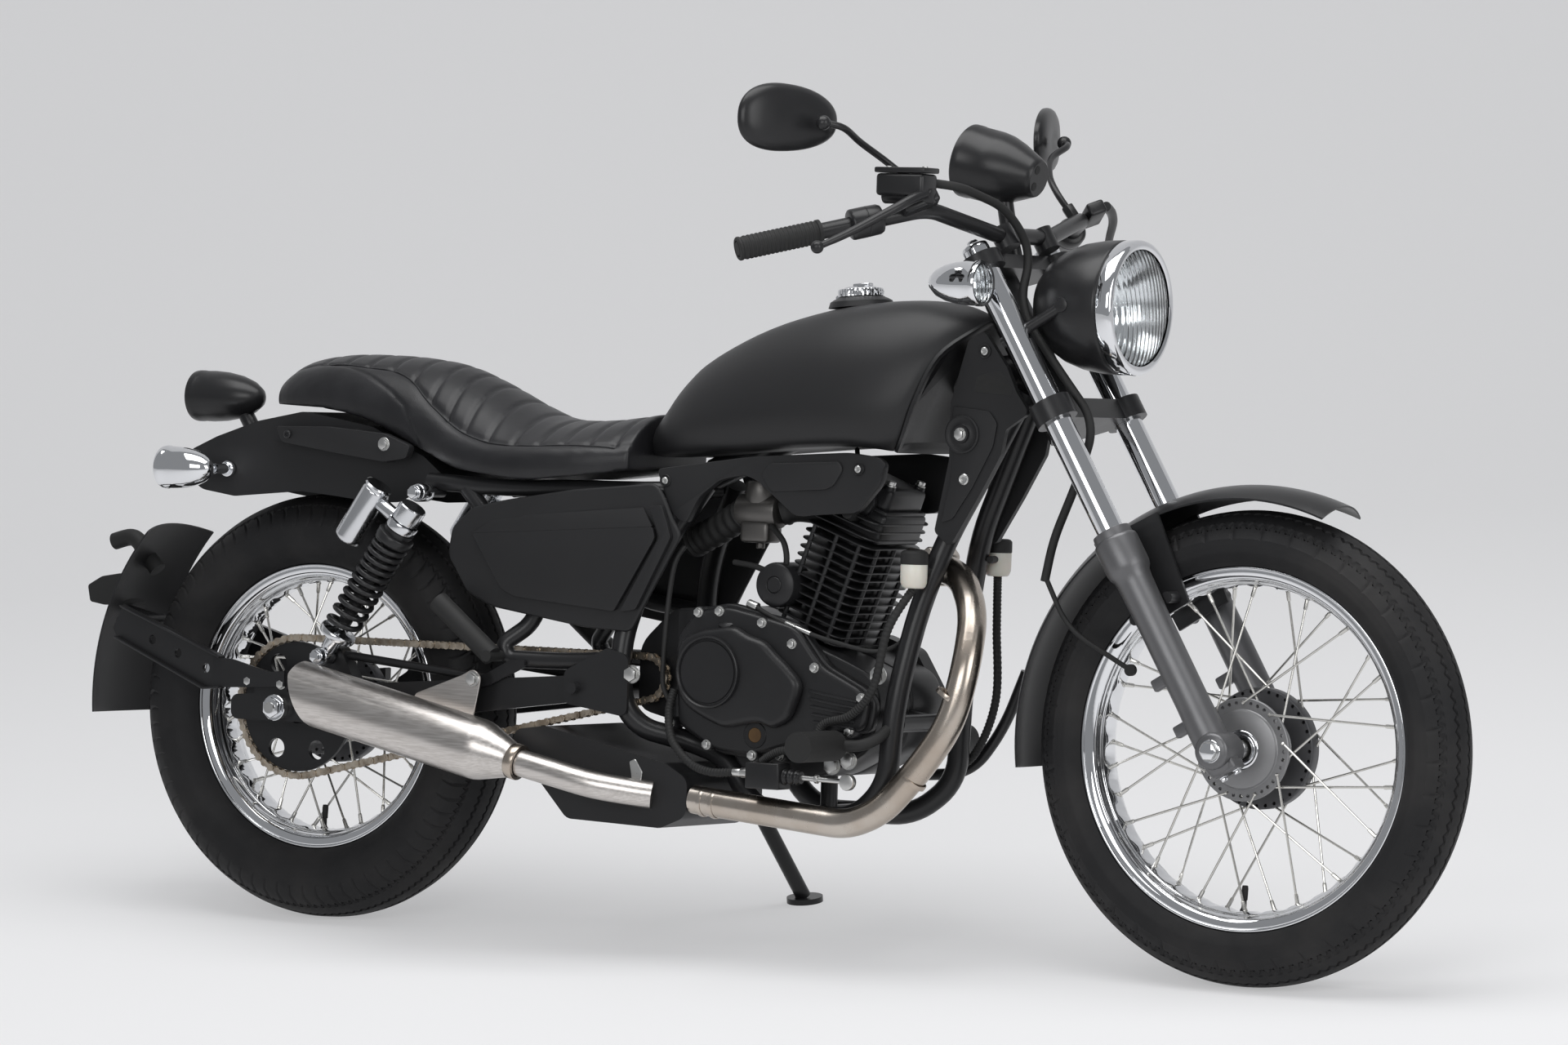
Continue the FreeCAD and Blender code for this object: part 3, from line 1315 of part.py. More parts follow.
def bullet(name, length, radius, place):
    """A round lamp: blunt open end, long rounded back."""
    total = size(length)
    wide = size(radius)
    body = new_body(name, place)
    revolve(body, outline([(0, 0), (wide, 0)] + dome(wide, total * HALF * HALF, total)))
    return body


def tail():
    lamp = bullet("tail_lamp_bullet", "tail_lamp_length", "tail_lamp_radius",
                  at(spot(*TAIL_LAMP_SHARES) - V(size("tail_lamp_length"), 0, 0), turn_z_to(X_AXIS)))
    stalk_foot = spot(*STALK_FOOT_SHARES)
    normal = V(*FENDER_NORMAL_SHARES).normalize()
    disc = bar(stalk_foot, stalk_foot + normal * size("axle_radius"), size("stem_radius"))
    stem = bar(stalk_foot + normal * size("spoke_radius"), spot(*STALK_TIP_SHARES), size("rail_radius"))
    stalk = feature("tail_stalk", stem.fuse(disc))
    sub_part("tail_lamp", fused("tail_lamp_and_stalk", [lamp, stalk]))
    indicator = bullet("rear_indicator_bullet", "indicator_length", "indicator_radius",
                       at(spot(*INDICATOR_SHARES) - V(size("indicator_length"), 0, 0), turn_z_to(X_AXIS)))
    root = V(spot(*INDICATOR_SHARES).x, -size("rear_fender_half_width") - clearance * 4, spot(*INDICATOR_SHARES).z)
    tip = spot(*INDICATOR_SHARES) - V(size("axle_radius"), 0, 0)
    stem = feature("rear_indicator_stem", bar(root, tip, size("axle_radius")))
    sub_part("rear_indicators", both_sides("rear_indicator_pair", fused("rear_indicator", [indicator, stem])))


def hugger():
    """A plate carrier behind the tyre, on two arms from the axle's ends."""
    outer = size("hugger_radius")
    thick = size("fender_thickness")
    half = size("hugger_half_width")
    drop = size("front_fender_drop")
    edges = [
        Part.Arc(V(-outer + drop, -half, 0), V(-outer, 0, 0), V(-outer + drop, half, 0)),
        Part.LineSegment(V(-outer + drop, half, 0), V(-outer + drop + thick, half, 0)),
        Part.Arc(V(-outer + drop + thick, half, 0), V(-outer + thick, 0, 0), V(-outer + drop + thick, -half, 0)),
        Part.LineSegment(V(-outer + drop + thick, -half, 0), V(-outer + drop, -half, 0)),
    ]
    face = Part.Face(Part.Wire([edge.toShape() for edge in edges]))
    face.rotate(V(0, 0, 0), Y_AXIS, -size("hugger_low_angle"))
    strip = face.revolve(V(0, 0, 0), Y_AXIS, size("hugger_low_angle") + size("hugger_high_angle"))
    strip.translate(rear_axle)
    cross = cross_tube(HUGGER_CROSS_SHARES, size("hugger_cross_reach"), size("axle_radius"))
    middle_turn = FreeCAD.Rotation(Y_AXIS, (size("hugger_high_angle") - size("hugger_low_angle")) * HALF)
    link_tip = rear_axle + middle_turn.multVec(V(thick * HALF - outer, 0, 0))
    link = bar(spot(*HUGGER_CROSS_SHARES), link_tip, size("axle_radius"))
    sub_part("plate_hugger", feature("hugger_scoop", strip.fuse([cross, link])))
    sub_part("hugger_arms", both_sides("hugger_arm_pair", feature("hugger_arm", hugger_arm())))


def hugger_arm():
    """A flat link on the swingarm's tab and, bent inwards from it, a drilled arm to the cross tube."""
    thick = size("rim_wall")
    start = size("swingarm_half_span") + size("swingarm_beam_width") * HALF + clearance
    out = V(0, -start - thick, 0)
    flat = plate([spot(along, 0, up) + out for along, up in HUGGER_LINK_SHARES], thick, Y_AXIS)
    arm = plate([spot(along, 0, up) + out for along, up in HUGGER_BAR_SHARES], thick, Y_AXIS)
    for along, up in ARM_HOLE_SHARES:
        arm = arm.cut(cross_tube((along, 0, up), start + start, size("arm_hole_radius")))
    bend = spot(ARM_BEND_SHARE, 0, 0) + out
    arm.rotate(bend, Z_AXIS, -size("arm_toe_in"))
    return flat.fuse(arm)


# Feet and brake parts

PEG_SHARES = (9.25, -1.34, 2.98)
PEG_CARRIER_SHARES = [(9.95, -0.92, 3.30), (9.80, -1.34, 3.00), (9.25, -1.34, 2.98)]
PASSENGER_PEG_SHARES = [(3.77, -1.56, 3.96), (2.84, -1.56, 4.69)]
GEAR_SHAFT_SHARES = (7.85, 0, 2.72)
GEAR_LEVER_SHARES = [
    (7.85, 1.42, 2.72), (8.60, 1.50, 2.45), (9.80, 1.50, 2.55), (10.30, 1.50, 3.20),
    (10.63, 1.50, 4.00),
]
BRAKE_CYLINDER_SHARES = (8.15, -1.42, 2.52)
PUSHROD_SHARES = [(8.30, -1.42, 2.52), (9.63, -1.45, 2.50)]
RESERVOIR_SHARES = [(10.22, -0.98, 5.42), (10.44, 0.94, 5.58)]
RESERVOIR_TAB_SHARES = [(10.30, -0.58, 5.42), (10.38, 0.50, 5.58)]
RIGHT_HOSE_SHARES = [
    (10.22, -0.98, 5.15), (10.00, -1.26, 4.60), (9.82, -1.30, 3.80), (9.45, -1.30, 3.40), (9.02, -1.30, 3.30),
    (8.85, -1.32, 2.94), (8.40, -1.42, 2.86), (8.15, -1.42, 2.62),
]
LEFT_HOSE_SHARES = [
    (10.44, 0.94, 5.35), (10.36, 1.10, 4.60), (10.30, 1.24, 3.60), (10.05, 1.15, 2.85), (9.60, 1.05, 2.50),
]


def foot_controls():
    peg = spot(*PEG_SHARES)
    out = V(0, -size("peg_length"), 0)
    rubber = bar(peg, peg + out, size("peg_radius"))
    carrier = tube(spots(PEG_CARRIER_SHARES), size("axle_radius"))
    rider_peg = feature("rider_peg", rubber.fuse(carrier).cut(cradle_space(clearance)))
    sub_part("rider_pegs", both_sides("rider_peg_pair", rider_peg))
    foot, tip = spots(PASSENGER_PEG_SHARES)
    radius = size("passenger_peg_radius")
    inner = V(0, radius + size("axle_radius"), 0)
    knuckle = bar(foot - V(0, radius, 0), foot + inner, size("axle_radius"))
    folded = bar(foot, tip, radius).fuse(knuckle)
    loop = tube(spots(PEG_LOOP_SHARES, RIGHT), size("rail_radius") + clearance)
    sub_part("passenger_pegs", both_sides("passenger_peg_pair", feature("passenger_peg", folded.cut(loop))))
    shaft = spot(*GEAR_SHAFT_SHARES) + V(0, size("case_width") * HALF + clearance, 0)
    sub_part("gear_lever", feature("gear_lever_arm", tube([shaft] + spots(GEAR_LEVER_SHARES), size("axle_radius"))))


def brake_fluid():
    centre = spot(*BRAKE_CYLINDER_SHARES)
    wide = size("brake_cylinder_width")
    corner = centre - V(wide * HALF, wide * HALF, wide * HALF)
    master = block("rear_master", "Sizes.brake_cylinder_length", "Sizes.brake_cylinder_width",
                   "Sizes.brake_cylinder_width", at(corner))
    start, end = spots(PUSHROD_SHARES)
    rod = feature("rear_pushrod", bar(start, end, size("spoke_radius") * 2))
    pots = []
    for place in spots(RESERVOIR_SHARES):
        pots.append(cylinder("pot", "Sizes.reservoir_pot_radius", "Sizes.reservoir_pot_height",
                             at(place - V(0, 0, size("reservoir_pot_height") * HALF))))
    hose_radius = size("hose_radius")
    right = feature("right_hose", tube(spots(RIGHT_HOSE_SHARES), hose_radius).cut(cradle_space(clearance)))
    left = feature("left_hose", tube(spots(LEFT_HOSE_SHARES), hose_radius).cut(cradle_space(clearance)))
    tabs = []
    for place, seat_place in zip(spots(RESERVOIR_SHARES), spots(RESERVOIR_TAB_SHARES)):
        tabs.append(feature("pot_tab", bar(place, seat_place, hose_radius).cut(cradle_space(clearance))))
    right_run = fused("right_pot_and_cylinder", [pots[0], right, master, rod, tabs[0]])
    left_run = fused("left_pot_and_hose", [pots[1], left, tabs[1]])
    sub_part("brake_reservoirs", compound("pots_and_hoses", [right_run, left_run]))


# Steering

def slider_shape(side, grow=0):
    """A lower fork leg with its wide collar and flat axle boss, in the machine's frame."""
    offset = size("fork_offset")
    across = side * size("fork_half_spacing")
    low = V(offset, across, size("slider_bottom") - grow)
    high = V(offset, across, size("slider_top") + grow)
    collar = V(offset, across, size("slider_top") - size("slider_collar_height"))
    leg = bar(low, high, size("slider_radius") + grow).fuse(bar(collar, high, size("slider_collar_radius") + grow))
    leg.Placement = fork_frame
    return leg


def fork():
    offset = size("fork_offset")
    spacing = size("fork_half_spacing")
    tube_radius = size("fork_tube_radius")
    sliders = []
    tubes = []
    reach = V(0, spacing + size("slider_radius") * 2, 0)
    axle_hole = bar(front_axle - reach, front_axle + reach, size("axle_radius") + clearance)
    for side in SIDES:
        across = side * spacing
        low = V(offset, across, size("slider_top") - size("slider_collar_height") * 2)
        high = V(offset, across, size("fork_tube_top"))
        leg_bore = bar(low, V(offset, across, size("slider_top")), tube_radius + clearance)
        leg_bore.Placement = fork_frame
        sliders.append(slider_shape(side).cut(leg_bore).cut(axle_hole))
        leg = bar(low + V(0, 0, clearance), high, tube_radius)
        leg.Placement = fork_frame
        tubes.append(leg)
    sub_part("fork_sliders", feature("sliders", Part.makeCompound(sliders)))
    sub_part("fork_tubes", feature("tubes", Part.makeCompound(tubes)))


def yoke_shape(middle, thickness, stem_from, stem_to):
    """Two rings round the fork tubes, a bridge between them and a length of steering stem."""
    offset = size("fork_offset")
    spacing = size("fork_half_spacing")
    depth = size("yoke_half_depth")
    base = middle - thickness * HALF
    waist = depth * HALF
    corners = [(offset + waist, -spacing), (offset + waist, spacing), (offset - waist, spacing),
               (-depth, waist), (-depth, -waist), (offset - waist, -spacing)]
    bridge = plate([V(ahead, across, base) for ahead, across in corners], thickness, Z_AXIS)
    shape = bridge.fuse(Part.makeCylinder(depth, thickness, V(0, 0, base)))
    for side in SIDES:
        ring = Part.makeCylinder(size("yoke_ring_radius"), thickness, V(offset, side * spacing, base))
        shape = shape.fuse(ring)
    if stem_to > stem_from:
        shape = shape.fuse(Part.makeCylinder(size("stem_radius"), stem_to - stem_from, V(0, 0, stem_from)))
    for side in SIDES:
        hole = Part.makeCylinder(size("fork_tube_radius") + clearance, thickness + thickness,
                                 V(offset, side * spacing, base - thickness * HALF))
        shape = shape.cut(hole)
    return shape


def yokes():
    lower = size("lower_yoke_middle")
    upper = size("upper_yoke_middle")
    thick = size("yoke_thickness")
    thin = size("upper_yoke_thickness")
    low_face = lower + thick * HALF
    high_face = upper - thin * HALF
    race = size("head_tube_radius") - size("seat_clearance")
    lower_yoke = yoke_shape(lower, thick, lower, high_face - clearance)
    gap = size("head_tube_bottom") - clearance - low_face
    lower_yoke = lower_yoke.fuse(Part.makeCylinder(race, gap, V(0, 0, low_face)))
    upper_yoke = yoke_shape(upper, thin, upper, upper)
    head_top = size("head_tube_bottom") + size("head_tube_length") + clearance
    collar = Part.makeCylinder(race, high_face - head_top, V(0, 0, head_top))
    collar = collar.cut(Part.makeCylinder(size("stem_radius") + clearance, high_face - head_top, V(0, 0, head_top)))
    upper_yoke = upper_yoke.fuse(collar)
    sub_part("lower_yoke", feature("lower_yoke_casting", lower_yoke), fork_frame)
    sub_part("upper_yoke", feature("upper_yoke_casting", upper_yoke), fork_frame)


def front_axle_bar():
    reach = size("fork_half_spacing") + size("slider_radius")
    out = V(0, reach, 0)
    rod = bar(front_axle - out, front_axle + out, size("axle_radius"))
    pieces = []
    for side in SIDES:
        near_hub = size("hub_half_width") + (clearance if side == LEFT else clearance - size("bearing_depth"))
        inner = V(0, side * near_hub, 0)
        outer = V(0, side * (size("fork_half_spacing") - size("slider_radius") - clearance), 0)
        pieces.append(bar(front_axle + inner, front_axle + outer, size("axle_radius") * SPACER_SHARE))
        pieces.append(bar(front_axle + out * side, front_axle + (out + V(0, size("axle_radius"), 0)) * side,
                          size("axle_radius") * SPACER_SHARE))
    sub_part("front_axle", feature("front_axle_rod", rod.fuse(pieces)))


BAR_SHARES = [(-1.18, -4.05, 8.52), (0.58, -2.15, 8.18), (0.66, -0.70, 7.78)]
GRIP_SHARES = [(-1.18, -4.05, 8.52), (-0.30, -3.10, 8.35)]


def handlebar():
    half = fork_spots(BAR_SHARES)
    other = [V(point.x, -point.y, point.z) for point in reversed(half)]
    radius = size("bar_radius")
    rod = feature("bar_tube", tube(half + other, radius, radius * 6))
    sub_part("handlebar", rod, fork_frame)
    outer, inner = fork_spots(GRIP_SHARES)
    along = (inner - outer).normalize()
    start = outer - along * (size("rim_wall") + size("rim_wall"))
    end = start + along * size("grip_length")
    shape = bar(start, end, size("grip_radius")).cut(bar(outer, end + along, radius + clearance))
    grip = feature("grip_tube", shape)
    sub_part("grips", both_sides("grip_pair", grip), fork_frame)
    clamps = []
    for side in SIDES:
        base = V(fork_spots(BAR_SHARES)[2].x, side * size("bar_clamp_spacing"), size("upper_yoke_middle") +
                 size("upper_yoke_thickness") * HALF + clearance)
        top = V(base.x, base.y, fork_spots(BAR_SHARES)[2].z + radius)
        post = bar(base, top, size("bar_clamp_radius"))
        clamps.append(post.cut(tube(half + other, radius + clearance, radius * 6)))
    sub_part("bar_clamps", feature("clamp_posts", Part.makeCompound(clamps)), fork_frame)


FRONT_MASTER_SHARES = (0.62, -2.45, 8.56)
LEVER_SHARES = [(0.80, -2.40, 8.25), (0.55, -3.00, 8.15), (-0.25, -3.95, 8.00)]
MIRROR_STEM_SHARES = [
    (0.52, -2.02, 8.28), (0.42, -2.02, 8.80), (0.34, -2.55, 9.30), (0.43, -3.16, 9.49), (0.10, -3.42, 9.78),
]
MIRROR_SHARES = (-0.04, -3.52, 9.86)


def bar_space(grow):
    """The handlebar's own tube, grown."""
    half = fork_spots(BAR_SHARES)
    other = [V(point.x, -point.y, point.z) for point in reversed(half)]
    return tube(half + other, size("bar_radius") + grow, size("bar_radius") * 6)


def bar_controls():
    """Switch housings, levers and the front brake's master cylinder."""
    along = (fork_spots(BAR_SHARES)[0] - fork_spots(BAR_SHARES)[1]).normalize()
    middle = fork_spots(BAR_SHARES)[1] + along * size("control_start")
    housing = bar(middle, middle + along * size("control_length"), size("control_radius"))
    lever = tube(fork_spots(LEVER_SHARES), size("lever_radius"))
    perch = bar(fork_spots(LEVER_SHARES)[0], middle + along * size("bar_radius"), size("lever_radius"))
    shape = housing.fuse([lever, perch]).cut(bar_space(clearance))
    wide = size("front_master_width")
    turn = FreeCAD.Rotation(Y_AXIS, rake)
    master = Part.makeBox(size("front_master_length"), wide, wide)
    corner = V(-size("front_master_length") * HALF, -wide * HALF, -wide * HALF)
    master.Placement = at(fork_spot(*FRONT_MASTER_SHARES) + turn.multVec(corner), turn)
    right = shape.fuse(master).cut(bar_space(clearance))
    left = shape.mirror(V(0, 0, 0), Y_AXIS)
    sub_part("bar_controls", feature("controls", Part.makeCompound([right, left])), fork_frame)


def mirrors():
    """A clamp on the bar, a bent stem and an oval head."""
    stem = tube(fork_spots(MIRROR_STEM_SHARES), size("mirror_stem_radius"))
    centre = fork_spot(*MIRROR_SHARES)
    grow = FreeCAD.Matrix()
    grow.scale(size("mirror_half_thickness"), size("mirror_half_length"), size("mirror_half_height"))
    head = Part.makeSphere(1).transformGeometry(grow)
    head.Placement = at(centre, FreeCAD.Rotation(Z_AXIS, -size("mirror_yaw")).multiply(FreeCAD.Rotation(Y_AXIS, rake)))
    one, two = fork_spots(BAR_SHARES)[2], fork_spots(BAR_SHARES)[1]
    inward = (one - two).normalize()
    clamp_end = two + inward * size("control_radius")
    clamp = bar(two + inward * (clearance * 6), clamp_end, size("bar_radius") + size("mirror_stem_radius"))
    shape = head.fuse([stem, clamp]).cut(bar_space(clearance))
    sub_part("mirrors", both_sides("mirror_pair", feature("mirror", shape)), fork_frame)


HEADLAMP_SHARES = (1.76, 0, 6.04)
HEADLAMP_EAR_SHARES = (0.98, 0.784, 6.49)
SPEEDOMETER_SHARES = (0.41, 0, 9.13)
SPEEDOMETER_NOSE_SHARES = (1.23, 0, 8.37)
FRONT_INDICATOR_SHARES = (0.62, -1.66, 7.02)


def headlamp():
    """Bowl, ring and lens look straight ahead, level with the ground when the machine is upright."""
    radius = size("headlamp_radius")
    depth = size("headlamp_depth")
    ring = size("headlamp_ring_length")
    lens_radius = size("headlamp_lens_radius")
    level = FreeCAD.Rotation(Y_AXIS, rake)
    face = at(fork_spot(*HEADLAMP_SHARES), level.multiply(turn_z_to(X_AXIS)))
    shell = new_body("headlamp_bowl", face)
    revolve(shell, outline([(0, -clearance), (radius, -clearance)] + dome(radius, -ring, -depth)))
    legs = [V(size("fork_offset"), side * size("fork_half_spacing"), 0) for side in SIDES]
    top = V(0, 0, size("fork_tube_top"))
    leg_space = Part.makeCompound([bar(leg, leg + top, size("fork_tube_radius") + clearance) for leg in legs])
    ears = []
    for side, leg in zip(SIDES, legs):
        ahead, across, up = HEADLAMP_EAR_SHARES
        ears.append(bar(leg + V(0, 0, up * fork_unit), fork_spot(ahead, across * side, up), size("axle_radius")))
    ear_pair = feature("headlamp_ears", Part.makeCompound(ears).cut(leg_space))
    sub_part("headlamp_shell", fused("headlamp_bowl_and_ears", [shell, ear_pair]), fork_frame)
    lens = new_body("headlamp_glass", face)
    revolve(lens, outline([(0, 0)] + dome(lens_radius, 0, size("headlamp_lens_bulge"))))
    sub_part("headlamp_lens", lens, fork_frame)


def speedometer():
    back = fork_spot(*SPEEDOMETER_SHARES)
    nose = fork_spot(*SPEEDOMETER_NOSE_SHARES)
    radius = size("speedometer_radius")
    length = size("speedometer_length")
    small = size("speedometer_nose_radius")
    pod = new_body("speedometer_pod", at(back, turn_z_to(nose - back)))
    profile = [(0, 0), (radius, 0), (radius, length * HALF), (small, length), (0, length)]
    revolve(pod, outline(profile))
    pod_lift = size("bar_clamp_radius") * HALF - clearance * 4
    foot = V(size("fork_offset"), 0, size("upper_yoke_middle") + size("upper_yoke_thickness") * HALF + pod_lift)
    post = bar(foot, back + (nose - back) * HALF, size("bar_clamp_radius")).cut(bar_space(clearance))
    cradle = feature("speedometer_cradle", post)
    sub_part("speedometer", fused("speedometer_and_cradle", [pod, cradle]), fork_frame)


def front_indicators():
    face = fork_spot(*FRONT_INDICATOR_SHARES)
    level = FreeCAD.Rotation(Y_AXIS, rake)
    lamp = bullet("front_indicator_bullet", "indicator_length", "indicator_radius",
                  at(face, level.multiply(turn_z_to(-X_AXIS))))
    root = V(size("fork_offset"), -size("fork_half_spacing") - size("fork_tube_radius") - clearance, face.z)
    ahead = level.multVec(V(-size("indicator_length") * HALF * HALF, 0, 0))
    leg = V(size("fork_offset"), -size("fork_half_spacing"), face.z)
    up = V(0, 0, size("fork_offset"))
    leg_space = bar(leg - up, leg + up, size("fork_tube_radius") + clearance)
    stem = feature("front_indicator_stem", bar(root, face + ahead, size("axle_radius")).cut(leg_space))
    pair = both_sides("front_indicator_pair", fused("front_indicator", [lamp, stem]))
    sub_part("front_indicators", pair, fork_frame)


FORK_HOSE_SHARES = [
    (0.80, -2.237, 8.45), (0.80, -2.06, 8.45), (0.98, -1.75, 8.30), (1.00, -0.80, 8.00), (0.84, -0.32, 7.45),
    (0.42, -0.58, 6.80),
    (0.56, -0.63, 5.84), (0.70, -0.58, 4.85),
    (0.18, -0.60, 4.35), (-0.60, -0.64, 3.75), (-0.98, -0.64, 3.33),
]
THIN_HOSE_SHARES = [(-0.94, -0.64, 3.37), (-0.98, -0.64, 2.60), (-0.40, -0.62, 1.66)]


def fork_hose():
    """The front brake's hose, which ends in a free banjo fitting by the bare lug."""
    thick = tube(fork_spots(FORK_HOSE_SHARES), size("hose_radius"))
    end = fork_spots(THIN_HOSE_SHARES)[2]
    banjo_half = V(0, size("thin_hose_radius"), 0)
    thin = tube(fork_spots(THIN_HOSE_SHARES), size("thin_hose_radius"))
    banjo = bar(end - banjo_half, end + banjo_half, size("axle_radius"))
    hose = thick.fuse([thin, banjo]).cut(bar_space(clearance))
    sub_part("fork_hose", feature("fork_hose_tube", hose), fork_frame)


# Side stand: a leg on a slanting pin at the left, its foot flat on the ground

STAND_PIVOT_SHARES = (5.90, 1.25, 2.62)
STAND_ARM_SHARES = (6.10, 0.97, 3.01)
STAND_AXIS_SHARES = (-0.06, 0.83, 0.555)
STAND_AIM_SHARES = (0.18, 0.55, -0.82)
STAND_AXIS = V(*STAND_AXIS_SHARES)


def stand_direction():
    """The leg's line when down: across the pin's axis, towards the ground at the left and ahead."""
    aim = V(*STAND_AIM_SHARES)
    axis = FreeCAD.Vector(STAND_AXIS).normalize()
    return (aim - axis * aim.dot(axis)).normalize()


def side_stand():
    pivot = spot(*STAND_PIVOT_SHARES)
    axis = FreeCAD.Vector(STAND_AXIS).normalize()
    down = stand_direction()
    normal = stance.Rotation.inverted().multVec(Z_AXIS)
    ground = stance.inverse().multVec(V(0, 0, 0))
    lug = size("stand_lug_thickness")
    pin = size("axle_radius")
    start = pivot + axis * (lug * HALF)
    foot_thick = size("stand_foot_thickness")
    travel = (ground + normal * (foot_thick * HALF) - start).dot(normal) / down.dot(normal)
    foot = start + down * travel
    base = foot - normal * (foot_thick * HALF)
    pad_shape = bar(base, base + normal * foot_thick, size("stand_foot_radius"))
    leg = bar(start, foot - down * (size("stand_tube_radius") * HALF), size("stand_tube_radius"))
    shape = bar(pivot, pivot + axis * lug, pin * 2).fuse([leg, pad_shape])
    shape = shape.cut(bar(pivot - axis * lug, pivot + axis * (lug + lug), pin + size("running_clearance")))
    sub_part("side_stand", feature("stand_leg", shape))
    back = pivot - axis * clearance
    bracket = bar(back - axis * (lug * HALF), back, pin * 2)
    arm_start = back - axis * (lug * HALF - clearance)
    lug_space = bar(pivot - axis * clearance, pivot + axis * (lug + clearance), pin * 2 + clearance * 4)
    arm = bar(arm_start, spot(*STAND_ARM_SHARES), pin).cut(lug_space)
    bracket = bracket.fuse([bar(back, pivot + axis * lug, pin), arm])
    bracket = bracket.cut(cradle_space(clearance))
    sub_part("stand_bracket", feature("stand_bracket_plate", bracket))


# Everything is made, then checked and written out

def write_parts():
    doc.recompute()
    for item in doc.Objects:
        if any(flag in item.State for flag in ("Invalid", "Error")):
            raise RuntimeError("%s (%s) failed: %s" % (item.Name, item.Label, item.State))
    for item in kept:
        shape = item.Shape
        if shape.isNull() or not shape.isValid() or not shape.Solids:
            raise RuntimeError(item.Label + " has no valid solid")
        shape.exportStep("parts/" + item.Label + ".step")


wheels()
rear_sprocket()
chain()
frame()
swingarm()
rear_axle_bar()
shock_absorbers()
shock_springs()
crankcase()
engine_covers()
cylinder_and_head()
intake()
exhaust()
tank()
fuel_lid()
seat()
side_panels()
rear_fender()
front_fender()
tail()
hugger()
foot_controls()
brake_fluid()
fork()
yokes()
front_axle_bar()
handlebar()
bar_controls()
mirrors()
headlamp()
speedometer()
front_indicators()
fork_hose()
side_stand()
write_parts()
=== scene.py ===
import json
import math
import bpy
from mathutils import Matrix, Vector
from mathutils.bvhtree import BVHTree


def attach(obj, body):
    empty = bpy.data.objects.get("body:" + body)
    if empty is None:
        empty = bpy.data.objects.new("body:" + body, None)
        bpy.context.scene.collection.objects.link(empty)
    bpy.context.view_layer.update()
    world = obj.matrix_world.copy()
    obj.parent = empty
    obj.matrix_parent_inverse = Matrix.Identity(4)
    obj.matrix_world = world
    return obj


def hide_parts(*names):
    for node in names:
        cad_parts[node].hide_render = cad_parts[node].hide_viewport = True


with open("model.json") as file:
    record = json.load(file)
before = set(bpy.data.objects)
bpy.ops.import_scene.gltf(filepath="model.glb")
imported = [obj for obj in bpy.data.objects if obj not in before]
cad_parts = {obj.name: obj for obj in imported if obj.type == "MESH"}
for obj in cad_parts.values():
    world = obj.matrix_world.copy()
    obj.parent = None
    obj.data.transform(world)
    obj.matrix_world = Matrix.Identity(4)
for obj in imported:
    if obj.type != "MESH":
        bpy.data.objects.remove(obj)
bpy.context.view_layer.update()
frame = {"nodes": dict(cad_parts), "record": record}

# How the motorcycle stands: everything is drawn upright, with the rear axle above the origin and +X ahead, in metres,
# and this one matrix leans it ten degrees to the left on its stand and centres it. The camera looks from the right
# and a little ahead, from far off through a long lens, so the wheels stay nearly round.
upright = Matrix.Translation((-.71754, -.18603, .001153)) @ Matrix.Rotation(math.radians(-10), 4, "X")
view_turn = math.radians(31.23)
view_dip = math.radians(1.135)
view_roll = math.radians(1.748)
flat = math.cos(view_dip)
back = Vector((math.sin(view_turn) * flat, -math.cos(view_turn) * flat, math.sin(view_dip)))
level_right = Vector((math.cos(view_turn), math.sin(view_turn), 0))
level_up = back.cross(level_right)
right = level_right * math.cos(view_roll) + level_up * math.sin(view_roll)
up = level_up * math.cos(view_roll) - level_right * math.sin(view_roll)
looking = Matrix((right, up, back)).transposed().to_4x4()
looking.translation = Vector((6.19583, -8.97573, .80426))
focal_pixels, photo_width, sensor = 9250.48, 1920, 36
bpy.ops.object.camera_add()
camera = bpy.context.object
camera.name = "studio_camera"
camera.matrix_world = upright @ looking
camera.data.sensor_width = sensor
camera.data.lens = focal_pixels / photo_width * sensor
camera.data.clip_end = 100
bpy.context.scene.camera = camera


# The studio: a pale floor that curves up into a pale wall well behind the machine, lit by one wide soft box overhead,
# one beside the camera and a low one ahead of the front wheel. Metal sees the same pale room.
class Wire:
    """One output of a material's nodes, so that a pattern's sums read as plain arithmetic."""

    def __init__(self, finish, socket):
        self.finish = finish
        self.socket = socket

    def maths(self, operation, *others, clamp=False):
        return self.finish.node("Math", {"operation": operation, "use_clamp": clamp}, [self, *others])

    def __add__(self, other):
        return self.maths("ADD", other)

    __radd__ = __add__

    def __mul__(self, other):
        return self.maths("MULTIPLY", other)

    def ramp(self, low, high):
        """0 below low, 1 above high and smooth between."""
        return self.finish.node("MapRange", {"interpolation_type": "SMOOTHSTEP"}, [self, low, high, 0, 1])


